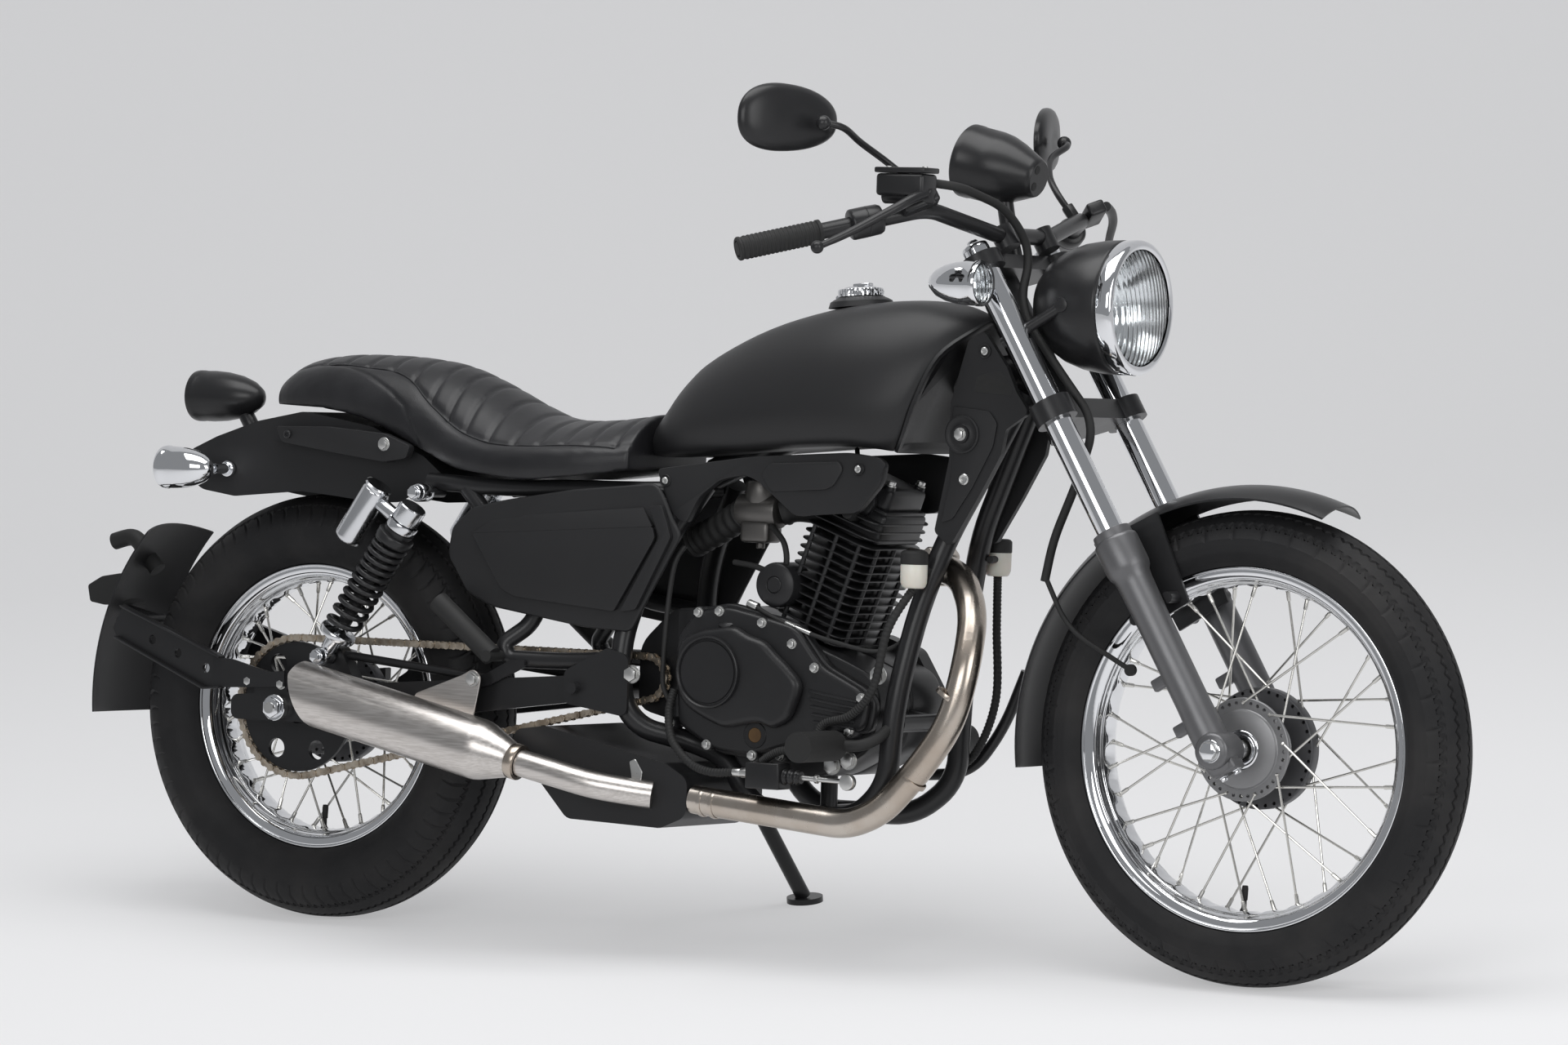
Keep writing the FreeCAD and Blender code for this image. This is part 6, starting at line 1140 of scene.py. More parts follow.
lever_line = [Vector(point) for point in ((.082, -.25, .826), (.074, -.275, .822), (.058, -.3, .816),
                                          (.03, -.33, .81), (.002, -.362, .804), (-.025, -.395, .8))]
lever = hose("lever", lever_line, .006, 16, 6, radii=lambda t: .0075 - .0028 * t if t < .9 else .0047)
knob = ball_at("lever_ball", lever_line[-1], .0088)
perch = block("lever_perch", (.052, .026, .02), (.064, -.24, .824), .004,
              turn=Matrix.Rotation(math.radians(44), 4, "Z"))
mirrored("hand_controls", [case, lever, knob, perch], satin, "steering", fork, ["bar_controls"], 40)
level = Matrix.Translation((.062, -.245, .856)) @ Matrix.Rotation(math.radians(30.7), 4, "Y")
master = block("master_cylinder", (.074, .04, .03), (0, 0, -.004), .005, 3, level)
lid = block("master_lid", (.078, .0415, .0075), (0, 0, .0155), .002, 2, level)
barrel = rod("master_barrel", .0105, level @ Vector((-.036, .004, -.019)), level @ Vector((.04, .004, -.019)), .002)
settle(joined("master_cylinder", [master, lid, barrel]), "steering", satin, fork, smooth=40)
screws = []
for ahead in (-.028, .028):
    head = bolt("lid_screw", .004, .002, "socket")
    head.data.transform(level @ Matrix.Translation((ahead, 0, .0192)))
    screws.append(head)
settle(joined("master_lid_screws", screws), "steering", screw_steel, fork)


# Engine: a sand-cast single in black. The clutch cover is a separate casting: a flat rim with bolt bosses, a smooth
# swollen middle, a round ring-edged disc and, low at the front, a panel of slanting ribs.
engine_black = coated("engine_black_paint", (.0135, .0135, .0145), .36, .22, .0002)
COVER = [(6.51, 4.35), (6.81, 4.75), (7.35, 4.85), (7.94, 4.73), (8.49, 4.6), (8.93, 4.06), (9.57, 3.76),
         (9.72, 3.57), (9.66, 3.17), (8.88, 3.05), (8.49, 2.9), (7.8, 2.72), (7.2, 2.76), (6.56, 3.12)]
BULGE = [(6.66, 4.2), (6.76, 4.36), (7, 4.46), (7.46, 4.53), (7.6, 4.53), (7.8, 4.42), (8.06, 4.36),
         (8.24, 4.19), (8.42, 4.05), (8.68, 3.8), (8.58, 3.5), (8.48, 3.28), (8.24, 3.14), (8, 3.24),
         (7.72, 3.18), (7.44, 3.12), (7.02, 3.28), (6.74, 3.46), (6.62, 3.8)]
cases = [panel("cover_rim", rounded(COVER, .12), .883, 1.04, .004, 3),
         panel("cover_step", rounded([(x * .97 + .235, z * .955 + .17) for x, z in COVER], .14), 1.03, 1.165, .009, 4),
         panel("cover_swell", rounded(BULGE, .16), 1.14, 1.345, .012, 5)]
ring = turned("cover_disc", [(0, .0035), (.0425, .0035), (.0435, .002), (.0455, .0018), (.0465, .005), (.048, .0062),
                             (.0495, .0055), (.0502, .003), (.0504, -.004), (0, -.004)], 96)
ring.data.transform(facing_right(7.21, -1.345, 3.89))
cases.append(ring)
bosses = [(6.91, 4.7), (7.25, 4.73), (7.94, 4.6), (8.43, 4.33), (8.8, 4.02), (9.56, 3.64), (9.38, 3.17),
          (6.5, 3.15), (7.1, 2.88), (7.84, 2.77), (8.28, 2.79)]
for x, z in bosses:
    cases.append(rod("cover_boss", .0085, (x / 10, -.09, z / 10), (x / 10, -.1165, z / 10), .0015, 24))
for k in range(6):
    back_end, front_end = (8.72 + k * .02, 3.72 - k * .105), (9.5 - k * .01, 3.6 - k * .092)
    cases.append(panel("cover_rib", [back_end, front_end, (front_end[0], front_end[1] - .035),
                                     (back_end[0], back_end[1] - .035)], 1.12, 1.195, .0012))
cases.append(rod("oil_neck", .015, (.735, -.096, .446), (.735, -.112, .462), .003))
oil_lip = turned("oil_window_lip", [(.0105, .001), (.0175, .0012), (.0185, .0002), (.0185, -.006), (.0105, -.006)], 40,
                 closed=True)
oil_lip.data.transform(facing_right(7.88, -1.165, 3.05))
cases.append(oil_lip)
settle(joined("clutch_cover_casting", cases), "chassis", engine_black, nodes=["clutch_cover"],
       smooth=40)
amber = Finish("oil_window_glass", (.1, .055, .02), .12)
amber.put("Base Color", amber.shades(amber.noise(40), (.06, .03, .012), (.14, .08, .03)))
window = turned("oil_window_glass", [(0, .0006), (.01, .0004), (.0104, -.001), (0, -.001)], 32)
settle(window, "chassis", amber, facing_right(7.88, -1.17, 3.05))
fixings("cover_bolts", [(x, -1.165, z) for x, z in bosses], .0058, .0058, twins=False)
fixings("engine_nuts", [(5.94, -1.3, 3.8), (9.76, -1.06, 3.96), (9.33, -1.06, 2.77), (9.07, -1.06, 2.69)],
        .0105, .0085, twins=False)

# Crankcase: two cast halves, edges rounded as a sand casting's are, with a seam between them and a well that the chain
# runs through, and the starter's round black cap behind the cylinder.
CASE = [(5.66, 3.3), (5.66, 4.2), (6.2, 4.72), (7.4, 4.8), (7.7, 4.646), (9.1, 4.136), (9.55, 3.95),
        (9.7, 3.6), (9.55, 2.9), (8.8, 2.5), (7.55, 2.48), (7.1, 3.05), (6.3, 3.15)]
halves = [panel("case_half", rounded(CASE, .2), side * .02, side * .878, .005, 3) for side in (1, -1)]
well_place = Matrix.Translation((.593, -.146, .45)) @ Matrix.Diagonal((.096, .158, .42, 1))
for half in halves:
    drilled(half, solid("cube", "chain_well", well_place, size=1))
halves.append(panel("case_seam", rounded([(x * .99 + .075, z * .99 + .035) for x, z in CASE], .2), -.03, .03, .001, 1))
settle(joined("crankcase_casting", halves), "chassis", engine_black, nodes=["engine_crankcase"],
       smooth=40)
starter = turned("starter_cap", [(0, .032), (.01, .032), (.0115, .0305), (.0125, .0318), (.027, .0312),
                                 (.03, .029), (.0312, .025), (.0312, -.02), (0, -.02)], 64)
settle(starter, "chassis", engine_black, facing_right(7.97, -.62, 5.12))

# Cylinder and head: thin fins with rounded corners round a plain barrel, small studs between them, and above them
# the head with its own fins, the rocker cover with four cap nuts and the plug with its lead.
barrel_place = Matrix.Translation((.832, 0, .442)) @ Matrix.Rotation(math.radians(20), 4, "Y")
top, first_fin, fin_pitch, fin_half, fin_half_across, fin_thick = .156, .0063, .012, .056, .075, .0024


def fin(level, name="fin"):
    """One cooling fin: a thin plate with rounded corners."""
    corners = [(-fin_half, -fin_half_across), (fin_half, -fin_half_across), (fin_half, fin_half_across),
               (-fin_half, fin_half_across)]
    return eased(plate(name, [(x, y, level) for x, y in rounded(corners, .02, 9)], (0, 0, fin_thick)), .0009)


column = [rod("barrel", .046, (0, 0, 0), (0, 0, top), 0, 64)]
for k in range(13):
    column.append(fin(first_fin + k * fin_pitch))
for x in (-.038, 0, .038):
    for side in (-1, 1):
        column.append(rod("fin_stud", .0034, (x, side * .0715, .006), (x, side * .0715, .152), 0, 12))
for y in (-.045, 0, .045):
    column.append(rod("fin_stud", .0034, (.0525, y, .006), (.0525, y, .152), 0, 12))
settle(joined("cylinder_casting", column), "chassis", engine_black, barrel_place,
       nodes=["engine_cylinder"], smooth=30)
head = [block("head", (.11, .114, .0435), (0, 0, top + .022), .006),
        block("rocker_cover", (.095, .099, .035), (0, 0, top + .0615), .009, 4),
        block("rocker_lip", (.104, .108, .006), (0, 0, top + .0455), .002, 2)]
for k in range(3):
    head.append(fin(top + first_fin + k * fin_pitch, "head_fin"))
posts = [(x, y) for x in (-.036, .036) for y in (-.04, .04)]
for x, y in posts:
    head.append(rod("cover_post", .008, (x, y, top + .045), (x, y, top + .082), .002, 24))
head.append(rod("cam_cap", .024, (.008, -.05, top + .05), (.008, -.0625, top + .05), .003))
settle(joined("head_casting", head), "chassis", engine_black, barrel_place, nodes=["engine_head"],
       smooth=40)
cap_nuts = []
for x, y in posts:
    cap_nuts.append(bolt("cap_nut", .0062, .007))
    cap_nuts[-1].data.transform(Matrix.Translation((x, y, top + .082)))
settle(joined("rocker_nuts", cap_nuts), "chassis", screw_steel, barrel_place)
plug = [rod("plug_cap", .0085, (.01, -.058, top + .026), (.014, -.092, top + .034), .002),
        hose("plug_lead", [(.014, -.09, top + .034), (.018, -.1, top + .05), (.005, -.085, top + .09),
                           (-.03, -.045, top + .11)], .0035, 10)]
settle(joined("plug_and_lead", plug), "chassis", soft_rubber, barrel_place)

# Intake: the carburettor's dull alloy body with its bowl and cap, on a rubber stub, with a ribbed air hose behind it,
# and beside it the breather, the fuel line and the clutch cable with its adjuster.
dull_alloy = coated("dull_alloy_casting", (.13, .125, .12), .38, .3, .0003, .8)
mixer = [rod("throat", .0235, (.712, -.045, .612), (.776, -.045, .612), .002),
         rod("slide_cap", .023, (.744, -.045, .622), (.744, -.045, .6545), .004),
         block("bowl", (.046, .042, .03), (.744, -.045, .583), .006),
         rod("bowl_nut", .0065, (.744, -.045, .5705), (.744, -.045, .56), .001, 6)]
settle(joined("carburettor_castings", mixer), "chassis", dull_alloy, smooth=40)
duct = hose("air_duct", [(.722, -.045, .611), (.7, -.04, .6), (.665, -.027, .584), (.63, -.015, .57),
                         (.612, -.01, .562)], .0205, 28, 14,
            radii=lambda t: .0205 + .0016 * math.sin(t * math.tau * 9))
stub = hose("intake_stub", [(.775, -.043, .612), (.795, -.034, .618), (.82, -.02, .616), (.845, -.012, .611)], .0195,
            28, 6, radii=lambda t: .0195 + .0018 * (abs(t - .12) < .06 or abs(t - .85) < .06))
settle(joined("intake_rubbers", [duct, stub]), "chassis", soft_rubber, nodes=["carburettor"])
lines = [hose("breather", [(.655, -.1, .56), (.644, -.108, .535), (.638, -.112, .48), (.634, -.113, .41),
                           (.634, -.112, .365), (.648, -.108, .338)], .0036, 12),
         hose("fuel_line", [(.77, -.06, .592), (.8, -.075, .57), (.806, -.078, .54), (.785, -.074, .528),
                            (.75, -.07, .536), (.715, -.066, .54)], .0042, 12),
         hose("clutch_cable", [(.772, -.1, .482), (.8, -.106, .47), (.85, -.106, .452), (.909, -.104, .437),
                               (.963, -.098, .428), (.992, -.08, .44), (1.012, -.07, .47)], .0032, 12)]
settle(joined("small_lines", lines), "chassis", soft_rubber)
ferrules = [rod("cable_adjuster", .0052, (.826, -.1065, .4605), (.842, -.1065, .4552), .0008, 6),
            rod("cable_thread", .0036, (.842, -.1065, .4552), (.866, -.1062, .4478), 0, 16),
            rod("cable_bracket", .0065, (.76, -.098, .485), (.776, -.099, .48), .001, 16)]
settle(joined("cable_adjuster", ferrules), "chassis", screw_steel)

# Brake fluid: two small pots of milky plastic with black screw caps, ribbed hose covers down to the rear brake's
# block, its rubber boot and the plated pushrod with its eye.
milky = Finish("milky_plastic", (.7, .67, .6), .35, Subsurface_Weight=.15)
milky.put("Base Color", milky.shades(milky.noise(20), (.62, .59, .52), (.76, .73, .66)))
milky.gloss(.3, .12, 60)
pots, caps = [], []
for x, y, z in ((1.022, -.098, .542), (1.044, .094, .558)):
    pot = turned("fluid_pot", [(0, -.0255), (.0135, -.0255), (.016, -.0235), (.018, -.018), (.0185, -.01),
                               (.0185, .006), (.0178, .0075), (0, .0075)], 48)
    lid_cap = turned("pot_cap", [(0, .0262), (.013, .0262), (.0165, .0252), (.0188, .0225), (.019, .019),
                                 (.019, .008), (.0182, .007), (0, .007)], 48)
    tab = rod("pot_tab", .005, (0, 0, -.002), (.012, math.copysign(.045, -y), -.002), .001, 16)
    for piece in (pot, lid_cap, tab):
        piece.data.transform(Matrix.Translation((x, y, z)))
    pots.append(pot)
    caps += [lid_cap, tab]
settle(joined("fluid_pots", pots), "chassis", milky, nodes=["brake_reservoirs"], smooth=40)
settle(joined("pot_caps", caps), "chassis", soft_rubber)


def ribbed(points, radius, ribs, name="ribbed_hose"):
    """A corrugated sleeve: a hose whose radius rises and falls along it."""
    steps = max(2, ribs * 4 // (len(points) - 1))
    return hose(name, points, radius, 14, steps, radii=lambda t: radius * (1 + .07 * math.sin(t * math.tau * ribs)))


sleeves = [ribbed([(1.022, -.098, .5165), (1, -.1255, .46), (.982, -.13, .38), (.948, -.13, .341),
                   (.905, -.13, .326), (.885, -.132, .294), (.842, -.141, .286), (.815, -.142, .27)], .0058, 84),
           ribbed([(1.044, .094, .5325), (1.036, .11, .46), (1.03, .124, .36), (1.005, .115, .285),
                   (.96, .105, .25)], .0058, 60)]
settle(joined("hose_sleeves", sleeves), "chassis", soft_rubber)
brake = [block("brake_block", (.054, .034, .036), (.826, -.142, .252), .0025),
         hose("brake_boot", [(.853, -.142, .252), (.866, -.142, .252), (.88, -.142, .252)], .0105, 24, 12,
              radii=lambda t: .0105 + .0012 * math.sin(t * math.tau * 3) - .002 * t)]
settle(joined("rear_brake_block", brake), "chassis", satin, smooth=40)
plated = [rod("pushrod", .0036, (.876, -.142, .252), (.944, -.1448, .2505), 0, 16),
          rod("rod_nut", .0062, (.902, -.143, .2515), (.908, -.1432, .2514), .0006, 6),
          rod("rod_eye", .0115, (.955, -.1395, .25), (.955, -.15, .25), .002, 32),
          rod("hose_joint", .0072, (.783, -.142, .254), (.8, -.142, .254), .001, 6),
          rod("hose_end", .0058, (.77, -.142, .254), (.784, -.142, .254), .001, 20)]
settle(joined("brake_plated_parts", plated), "chassis", screw_steel)
settle(ribbed([(.771, -.142, .254), (.735, -.142, .252), (.7, -.14, .262), (.665, -.134, .292), (.652, -.124, .33),
               (.655, -.116, .362)], .0058, 40, "rear_hose"), "chassis", soft_rubber)


# Exhaust: a stainless header, browned by heat, with rolled joints; a slim pipe and a brushed straight silencer with a
# slanting open end, a welded collar and a three-cornered bracket bolted to the frame's plate.
header_steel = Finish("header_heat_browned_steel", (.52, .47, .42), .24, 1)
tint = header_steel.noise(9, 5, (1, 1, 1), .6).ramp(.3, .75)
header_steel.put("Base Color", header_steel.shades(tint, (.56, .515, .465), (.44, .375, .315)))
header_steel.gloss(.2, .12, 45, 4)
header_steel.bump(header_steel.noise(300, 3), .0001, .25)
brushed = Finish("silencer_brushed_steel", (.6, .57, .545), .3, 1)
streaks = brushed.noise(420, 3, (.05, 1, 1))
brushed.put("Base Color", brushed.shades(streaks.ramp(.3, .7), (.52, .49, .465), (.66, .63, .605)))
brushed.put("Roughness", .24 + streaks * .14)
brushed.bump(streaks, .00012, .3)
tail, nose = Vector((.072, -.188, .334)), Vector((.446, -.188, .252))
axis = (nose - tail).normalized()
length = (nose - tail).length
can_place = along(tail, nose)
can = turned("silencer_can", [
    (.033, .09), (.0395, .06), (.0405, .004), (.0408, 0), (.0424, 0), (.043, .0012), (.043, length - .068),
    (.0425, length - .062), (.0405, length - .054), (.0262, length - .014), (.0242, length - .0095),
    (.024, length), (.019, length), (.019, length - .01)], 96)
can.data.transform(can_place)
slash_place = Matrix.Translation(tail + Vector((0, 0, .0425))) @ Matrix.Rotation(math.radians(-30), 4, "Y")
slash_place = slash_place @ can_place.to_3x3().to_4x4() @ Matrix.Translation((0, 0, -.1))
drilled(can, solid("cube", "slash", slash_place, size=.2))
pipe = hose("slim_pipe", [nose - axis * .004, (.5, -.184, .2405), (.56, -.176, .227), (.61, -.156, .219),
                          (.64, -.142, .215)], .019, 40, 8)
gusset = panel("silencer_bracket", rounded([(2.48, 3.37), (3.3, 3.68), (3.45, 3.77), (3.6, 3.67), (3.55, 3.4),
                                            (3.46, 3), (2.48, 3.2)], .12), 1.53, 1.56, .0006, 1)
settle(joined("silencer_can_and_pipe", [can, pipe, gusset]), "chassis", brushed,
       nodes=["silencer"], smooth=40)
collar = turned("silencer_collar", [(.0205, -.007), (.0246, -.007), (.0254, -.0058), (.0254, .0058), (.0246, .007),
                                    (.0205, .007)], 72, closed=True)
collar.data.transform(along(nose - axis * .002, nose + axis))
bands = [collar]
for one, two in (((1.0905, -.1095, .372), (1.0775, -.1135, .352)), ((1.042, -.1188, .257), (1.028, -.12, .2385)),
                 ((.716, -.125, .2096), (.73, -.125, .2082)), ((.735, -.125, .2078), (.741, -.125, .2072))):
    band = turned("pipe_joint", [(.0196, -.0035), (.0208, -.003), (.0212, 0), (.0208, .003), (.0196, .0035)], 56)
    band.data.transform(along(one, two))
    bands.append(band)
settle(joined("exhaust_bands", bands), "chassis", header_steel)
flange = panel("exhaust_flange", rounded([(9.9, 5.2), (10.02, 5.16), (10.12, 5.6), (10, 5.74), (9.9, 5.66)],
                                         .05), -.46, .22, .002, 2)
settle(flange, "chassis", header_steel)
fixings("bracket_bolt", [(3.46, -1.56, 3.62)], .0088, .0068, twins=False)
tag = panel("sensor_bracket", rounded([(6.02, 2.6), (6.12, 2.64), (6.24, 2.46), (6.2, 2.2), (6.08, 2.2),
                                       (6.06, 2.42)], .03), 1.42, 1.445, .0006, 1)
settle(tag, "chassis", screw_steel)

# Drive chain: bronze-coloured waisted plates, inner and outer by turns, on riveted pins with rollers, laid along the
# belt line of the two sprockets.
chain_steel = Finish("chain_bronzed_steel", (.5, .43, .34), .34, 1)
chain_steel.put("Base Color", chain_steel.shades(chain_steel.noise(70, 4).ramp(.35, .7), (.6, .53, .44),
                                                 (.34, .285, .225)))
chain_steel.gloss(.28, .2, 120, 3)
big, small, rear_at, front_at = .099, .03, Vector((0, REAR_TYRE)), Vector((.59, .374))
pitch, pin_end, plate_thick, chain_side = .0127, .0054, .0014, -.082
span = front_at - rear_at
slope_angle = math.atan2(span.y, span.x)
lift = math.acos((big - small) / span.length)
run = math.sqrt(span.length_squared - (big - small) ** 2)
wrap_rear, wrap_front = big * (math.tau - 2 * lift), small * 2 * lift
whole = run * 2 + wrap_rear + wrap_front


def chain_point(distance):
    """A pin's place on the belt line, starting where the upper run leaves the rear sprocket."""
    distance %= whole
    if distance < run:
        start_angle = slope_angle + lift
        normal = Vector((math.cos(start_angle), math.sin(start_angle)))
        ahead = Vector((math.sin(start_angle), -math.cos(start_angle)))
        return rear_at + normal * big + ahead * distance
    distance -= run
    if distance < wrap_front:
        angle = slope_angle + lift - distance / small
        return front_at + Vector((math.cos(angle), math.sin(angle))) * small
    distance -= wrap_front
    if distance < run:
        start_angle = slope_angle - lift
        normal = Vector((math.cos(start_angle), math.sin(start_angle)))
        behind = Vector((math.sin(start_angle), -math.cos(start_angle)))
        return front_at + normal * small + behind * distance
    angle = slope_angle - lift - (distance - run) / big
    return rear_at + Vector((math.cos(angle), math.sin(angle))) * big


link_count = round(whole / pitch / 2) * 2
half_plate = [(pin_end * math.cos(turn) - pitch / 2, pin_end * math.sin(turn)) for turn in
              [math.radians(40 + 28 * k) for k in range(11)]]
plate_outline = half_plate + [(0, -.0038)] + [(-x, -z) for x, z in half_plate] + [(0, .0038)]
links = []
for inner, out in ((True, .0042), (False, .0059)):
    for side in (-1, 1):
        face = side * out - plate_thick / 2
        links.append((inner, plate("link_plate", [(x, face, z) for x, z in plate_outline], (0, plate_thick, 0))))
pin_piece = rod("chain_pin", .0023, (0, -.0073, 0), (0, .0073, 0), 0, 10)
roller = rod("chain_roller", .004, (0, -.0033, 0), (0, .0033, 0), 0, 12)
chain_parts = []
for k in range(link_count):
    one, two = chain_point(whole * k / link_count), chain_point(whole * (k + 1) / link_count)
    ahead = (two - one).normalized()
    middle = (one + two) / 2
    turn = Matrix(((ahead.x, 0, -ahead.y), (0, 1, 0), (ahead.y, 0, ahead.x))).to_4x4()
    place = Matrix.Translation((middle.x, chain_side, middle.y)) @ turn
    for inner, link in links:
        if inner == (k % 2 == 0):
            chain_parts.append(copied(link, place))
    pin_place = Matrix.Translation((one.x, chain_side, one.y))
    chain_parts += [copied(pin_piece, pin_place), copied(roller, pin_place)]
for piece in [link for inner, link in links] + [pin_piece, roller]:
    bpy.data.objects.remove(piece)
settle(joined("drive_chain", chain_parts), "chassis", chain_steel, nodes=["chain"], smooth=30)

# Shock absorbers: black coils between two seats, a ribbed adjuster above, and beside each a bare alloy reservoir in
# a clamp. The eyes hold rubber bushes.
foot, eye_top = Vector((.085, -.145, .382)), Vector((.244, -.145, .62))
shock_axis = (eye_top - foot).normalized()
shock_place = along(foot, eye_top)
sideways = Vector((-shock_axis.z, 0, shock_axis.x))
reservoir_from = foot + shock_axis * .1575 + sideways * .065
turns, steps_each, wire_radius, coil_radius, coil_foot, coil_height = 11.5, 20, .0041, .0228, .047, .154
coil_points = []
for k in range(int(turns * steps_each) + 1):
    t = k / (turns * steps_each)
    angle = math.tau * t * turns
    coil_points.append(Vector((coil_radius * math.cos(angle), coil_radius * math.sin(angle),
                               coil_foot + coil_height * t ** .8)))
coil = hose("coil_spring", coil_points, wire_radius, 10, 1)
coil.data.transform(shock_place)
mirrored("shock_coils", [coil], satin, nodes=["shock_springs"], smooth=60)
damper_dark = turned("shock_black_parts", [
    (0, .06), (.01, .06), (.01, .19), (.0262, .2005), (.0274, .203), (.0274, .212), (.0262, .2135),
    (.0205, .2145), (.0203, .217), (.022, .2175), (.022, .2215), (.0203, .222), (0, .222)], 48)
damper_head = turned("shock_head", [(0, .222), (.019, .222), (.0192, .236), (.0203, .238), (.0203, .2605),
                                    (.019, .262), (0, .262)], 48)
damper_bright = turned("shock_bright_parts", [
    (0, .01), (.01, .01), (.0118, .014), (.0125, .03), (.02, .0345), (.0262, .036), (.0272, .0385),
    (.0272, .0435), (.0262, .0452), (.012, .0456), (.0066, .05), (.0066, .062), (0, .062)], 48)
collar_bright = turned("shock_collar", [(.0204, .2225), (.0222, .223), (.0228, .2245), (.0228, .233), (.0222, .2345),
                                        (.0204, .235)], 48, closed=True)
tank_small = turned("shock_reservoir", [(0, 0), (.015, 0), (.0185, .0012), (.0205, .0045), (.0208, .008),
                                        (.0208, .085), (.0202, .087), (.0195, .0878), (.0195, .0895),
                                        (.0205, .0905), (.0208, .0925), (.019, .0948), (0, .0952)], 56)
for piece in (damper_dark, damper_bright, damper_head, collar_bright):
    piece.data.transform(shock_place)
tank_small.data.transform(along(reservoir_from, reservoir_from + shock_axis))
bridge_foot = foot + shock_axis * .2325
bridge = rod("reservoir_bridge", .0105, bridge_foot + sideways * .055, bridge_foot, .002, 24)
eyes = []
for point in (foot, eye_top):
    eye = turned("shock_eye", [(.0078, -.013), (.0118, -.013), (.013, -.0115), (.013, .0115), (.0118, .013),
                               (.0078, .013)], 40, closed=True)
    eye.data.transform(Matrix.Translation(point) @ across)
    eyes.append(eye)
mirrored("shock_black_parts", [damper_dark], satin, smooth=40)
mirrored("shock_alloy_parts", [damper_bright, damper_head, collar_bright, tank_small, bridge] + eyes, polished,
         nodes=["shock_absorbers"], smooth=40)
fixings("shock_bolts", [(2.44, -1.645, 6.2), (.85, -1.645, 3.82)], .0085, .0065, finish=chrome, twins=False)

# Tail: a black bullet lamp with a red lens behind on its stalk, a moulded block with its fixings on each fender rail,
# and the axle's nuts, washers and chain adjusters.
tail_place = Matrix.Translation((-.25, 0, .745)) @ facing_back
lamp = turned("tail_lamp_shell", [(.0335, .0015), (.0365, 0), (.0372, .003), (.0372, .011), (.0366, .0125),
                                  (.037, .03), (.0355, .052), (.031, .076), (.0235, .096), (.014, .1095),
                                  (.005, .1152), (0, .116)], 72)
stalk = [rod("tail_stalk", .0115, (-.1492, 0, .695), (-.175, 0, .735), .002, 32),
         rod("stalk_foot", .015, (-.1475, 0, .691), (-.1505, 0, .6985), .0015, 32)]
lamp.data.transform(tail_place)
settle(joined("tail_lamp_shell", [lamp] + stalk), "chassis", satin, nodes=["tail_lamp"], smooth=40)
red_glass = Finish("tail_lamp_red", (.3, .008, .008), .12, Coat_Weight=.5)
red_glass.bump(red_glass.node("TexVoronoi", {}, {"Vector": red_glass.place, "Scale": 260}), .0005, .3)
red_glass.gloss(.1, .06, 40)
lens = turned("tail_lens", [(0, -.0015), (.015, -.001), (.028, .0004), (.0336, .0022), (.0336, .006), (0, .006)], 56)
settle(lens, "chassis", red_glass, tail_place)
grip_block = panel("fender_rail_block", rounded([(-.27, 7.06), (.6, 7.08), (1.59, 7.01), (2.04, 6.85), (1.98, 6.67),
                                                 (1.6, 6.61), (.7, 6.72), (-.17, 6.84)], .05), 1.065, 1.205, .0045, 3)
mirrored("fender_rail_blocks", [grip_block], grained, smooth=40)
fixings("fender_rail_screws", [(-.06, -1.205, 6.95)], .0062, .0035, "socket", satin)
fixings("fender_rail_bolts", [(1.6, -1.205, 6.86)], .0078, .005)
fixings("tail_fixings", [(1.2, -.925, 6.3)], .007, .0045)
fixings("axle_nuts", [(0, -1.435, 3.05)], .015, .01, finish=chrome)
fixings("adjuster_bolts", [(-.55, -1.305, 3.4), (.02, -1.305, 3.38)], .0062, .005)

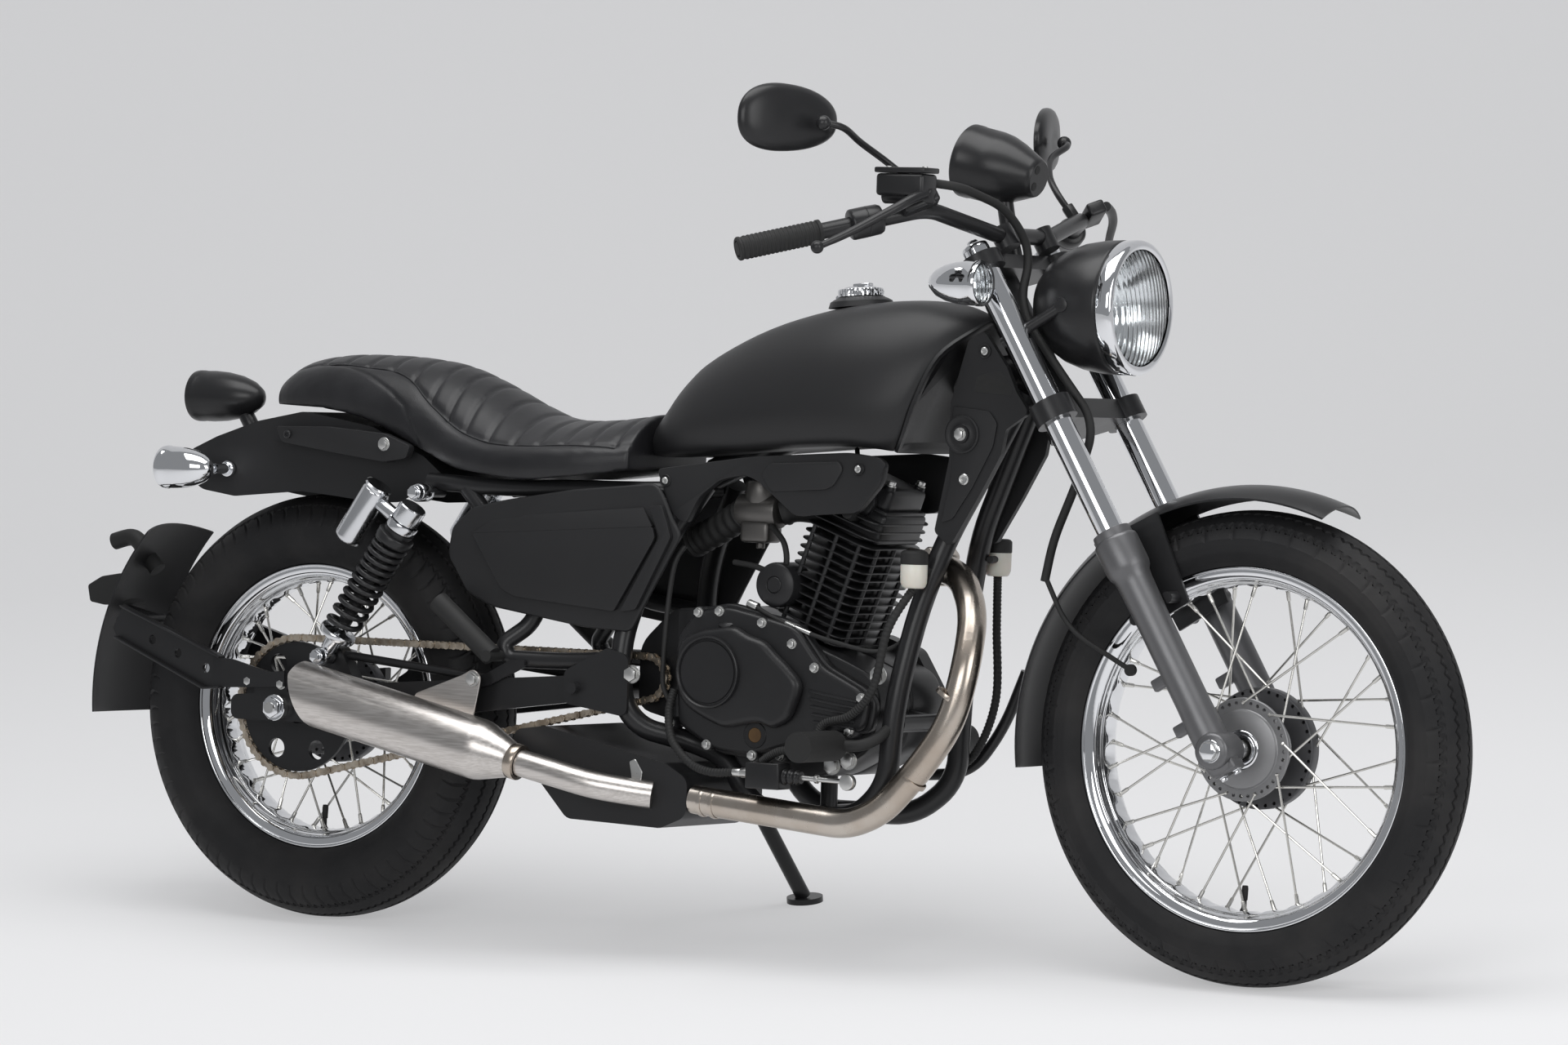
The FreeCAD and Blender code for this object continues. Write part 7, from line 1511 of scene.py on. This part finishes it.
# Plate carrier: turned-out edges along each drilled arm, and behind the blade two short stubs, the plate lamp's black
# housing and a bent rubber-capped stalk.
arm_out = .1353
arm_bend = Vector((-.098, -arm_out, 0))
arm_turn = Matrix.Translation(arm_bend) @ Matrix.Rotation(math.radians(-9), 4, "Z") @ Matrix.Translation(-arm_bend)
edges = [panel("arm_edge", outline, arm_out * 10 - .01, arm_out * 10 + .09, .0006, 2) for outline in (
    [(-.98, 3.74), (-3.02, 4.385), (-3.01, 4.355), (-.98, 3.712)],
    [(-.98, 3.28), (-1.3, 3.25), (-3.13, 3.905), (-3.12, 3.935), (-1.29, 3.281), (-.98, 3.309)])]
for edge in edges:
    edge.data.transform(arm_turn)
mirrored("carrier_arm_edges", edges, satin)
housing = panel("plate_lamp_housing", rounded([(-4.16, 4.38), (-4.21, 4.62), (-3.96, 4.76), (-3.6, 4.82),
                                               (-3.55, 4.36), (-3.9, 4.34)], .04), -.28, .28, .0035, 3)
stalk_cap = hose("carrier_stalk", [(-.315, 0, .488), (-.336, 0, .51), (-.35, 0, .528), (-.366, 0, .534),
                                   (-.394, 0, .527)], .0125, 24, 6)
settle(joined("plate_carrier_stubs", [housing, stalk_cap]), "chassis", soft_rubber, smooth=40)


# Everything that keeps its plain solid: frame, axles, yokes, tubes, clamps, hoses and stand. Each gets the finish of
# its own stuff, with the small unevenness that powder coat, plating, castings and rubber have.
SLOT_LOOKS = {
    "satin_black": satin, "matte_black_paint": matt_paint, "black_plastic": grained, "black_leather": hide,
    "black_rubber": soft_rubber, "tyre_rubber": rubber, "chrome": chrome, "polished_aluminium": polished,
    "grey_casting": slider_grey, "brushed_silencer": brushed, "header_steel": header_steel,
    "zinc_steel": screw_steel, "chain_steel": chain_steel, "engine_black": engine_black, "lamp_glass": clear_glass,
}
slot_of = {row["node"]: row["material_slot"] for row in frame["record"]["subparts"]}
for node, item in frame["nodes"].items():
    item.data.materials.clear()
    item.data.materials.append(SLOT_LOOKS[slot_of[node]].material)
    pick(item)
    bpy.ops.object.shade_smooth_by_angle(angle=math.radians(32))
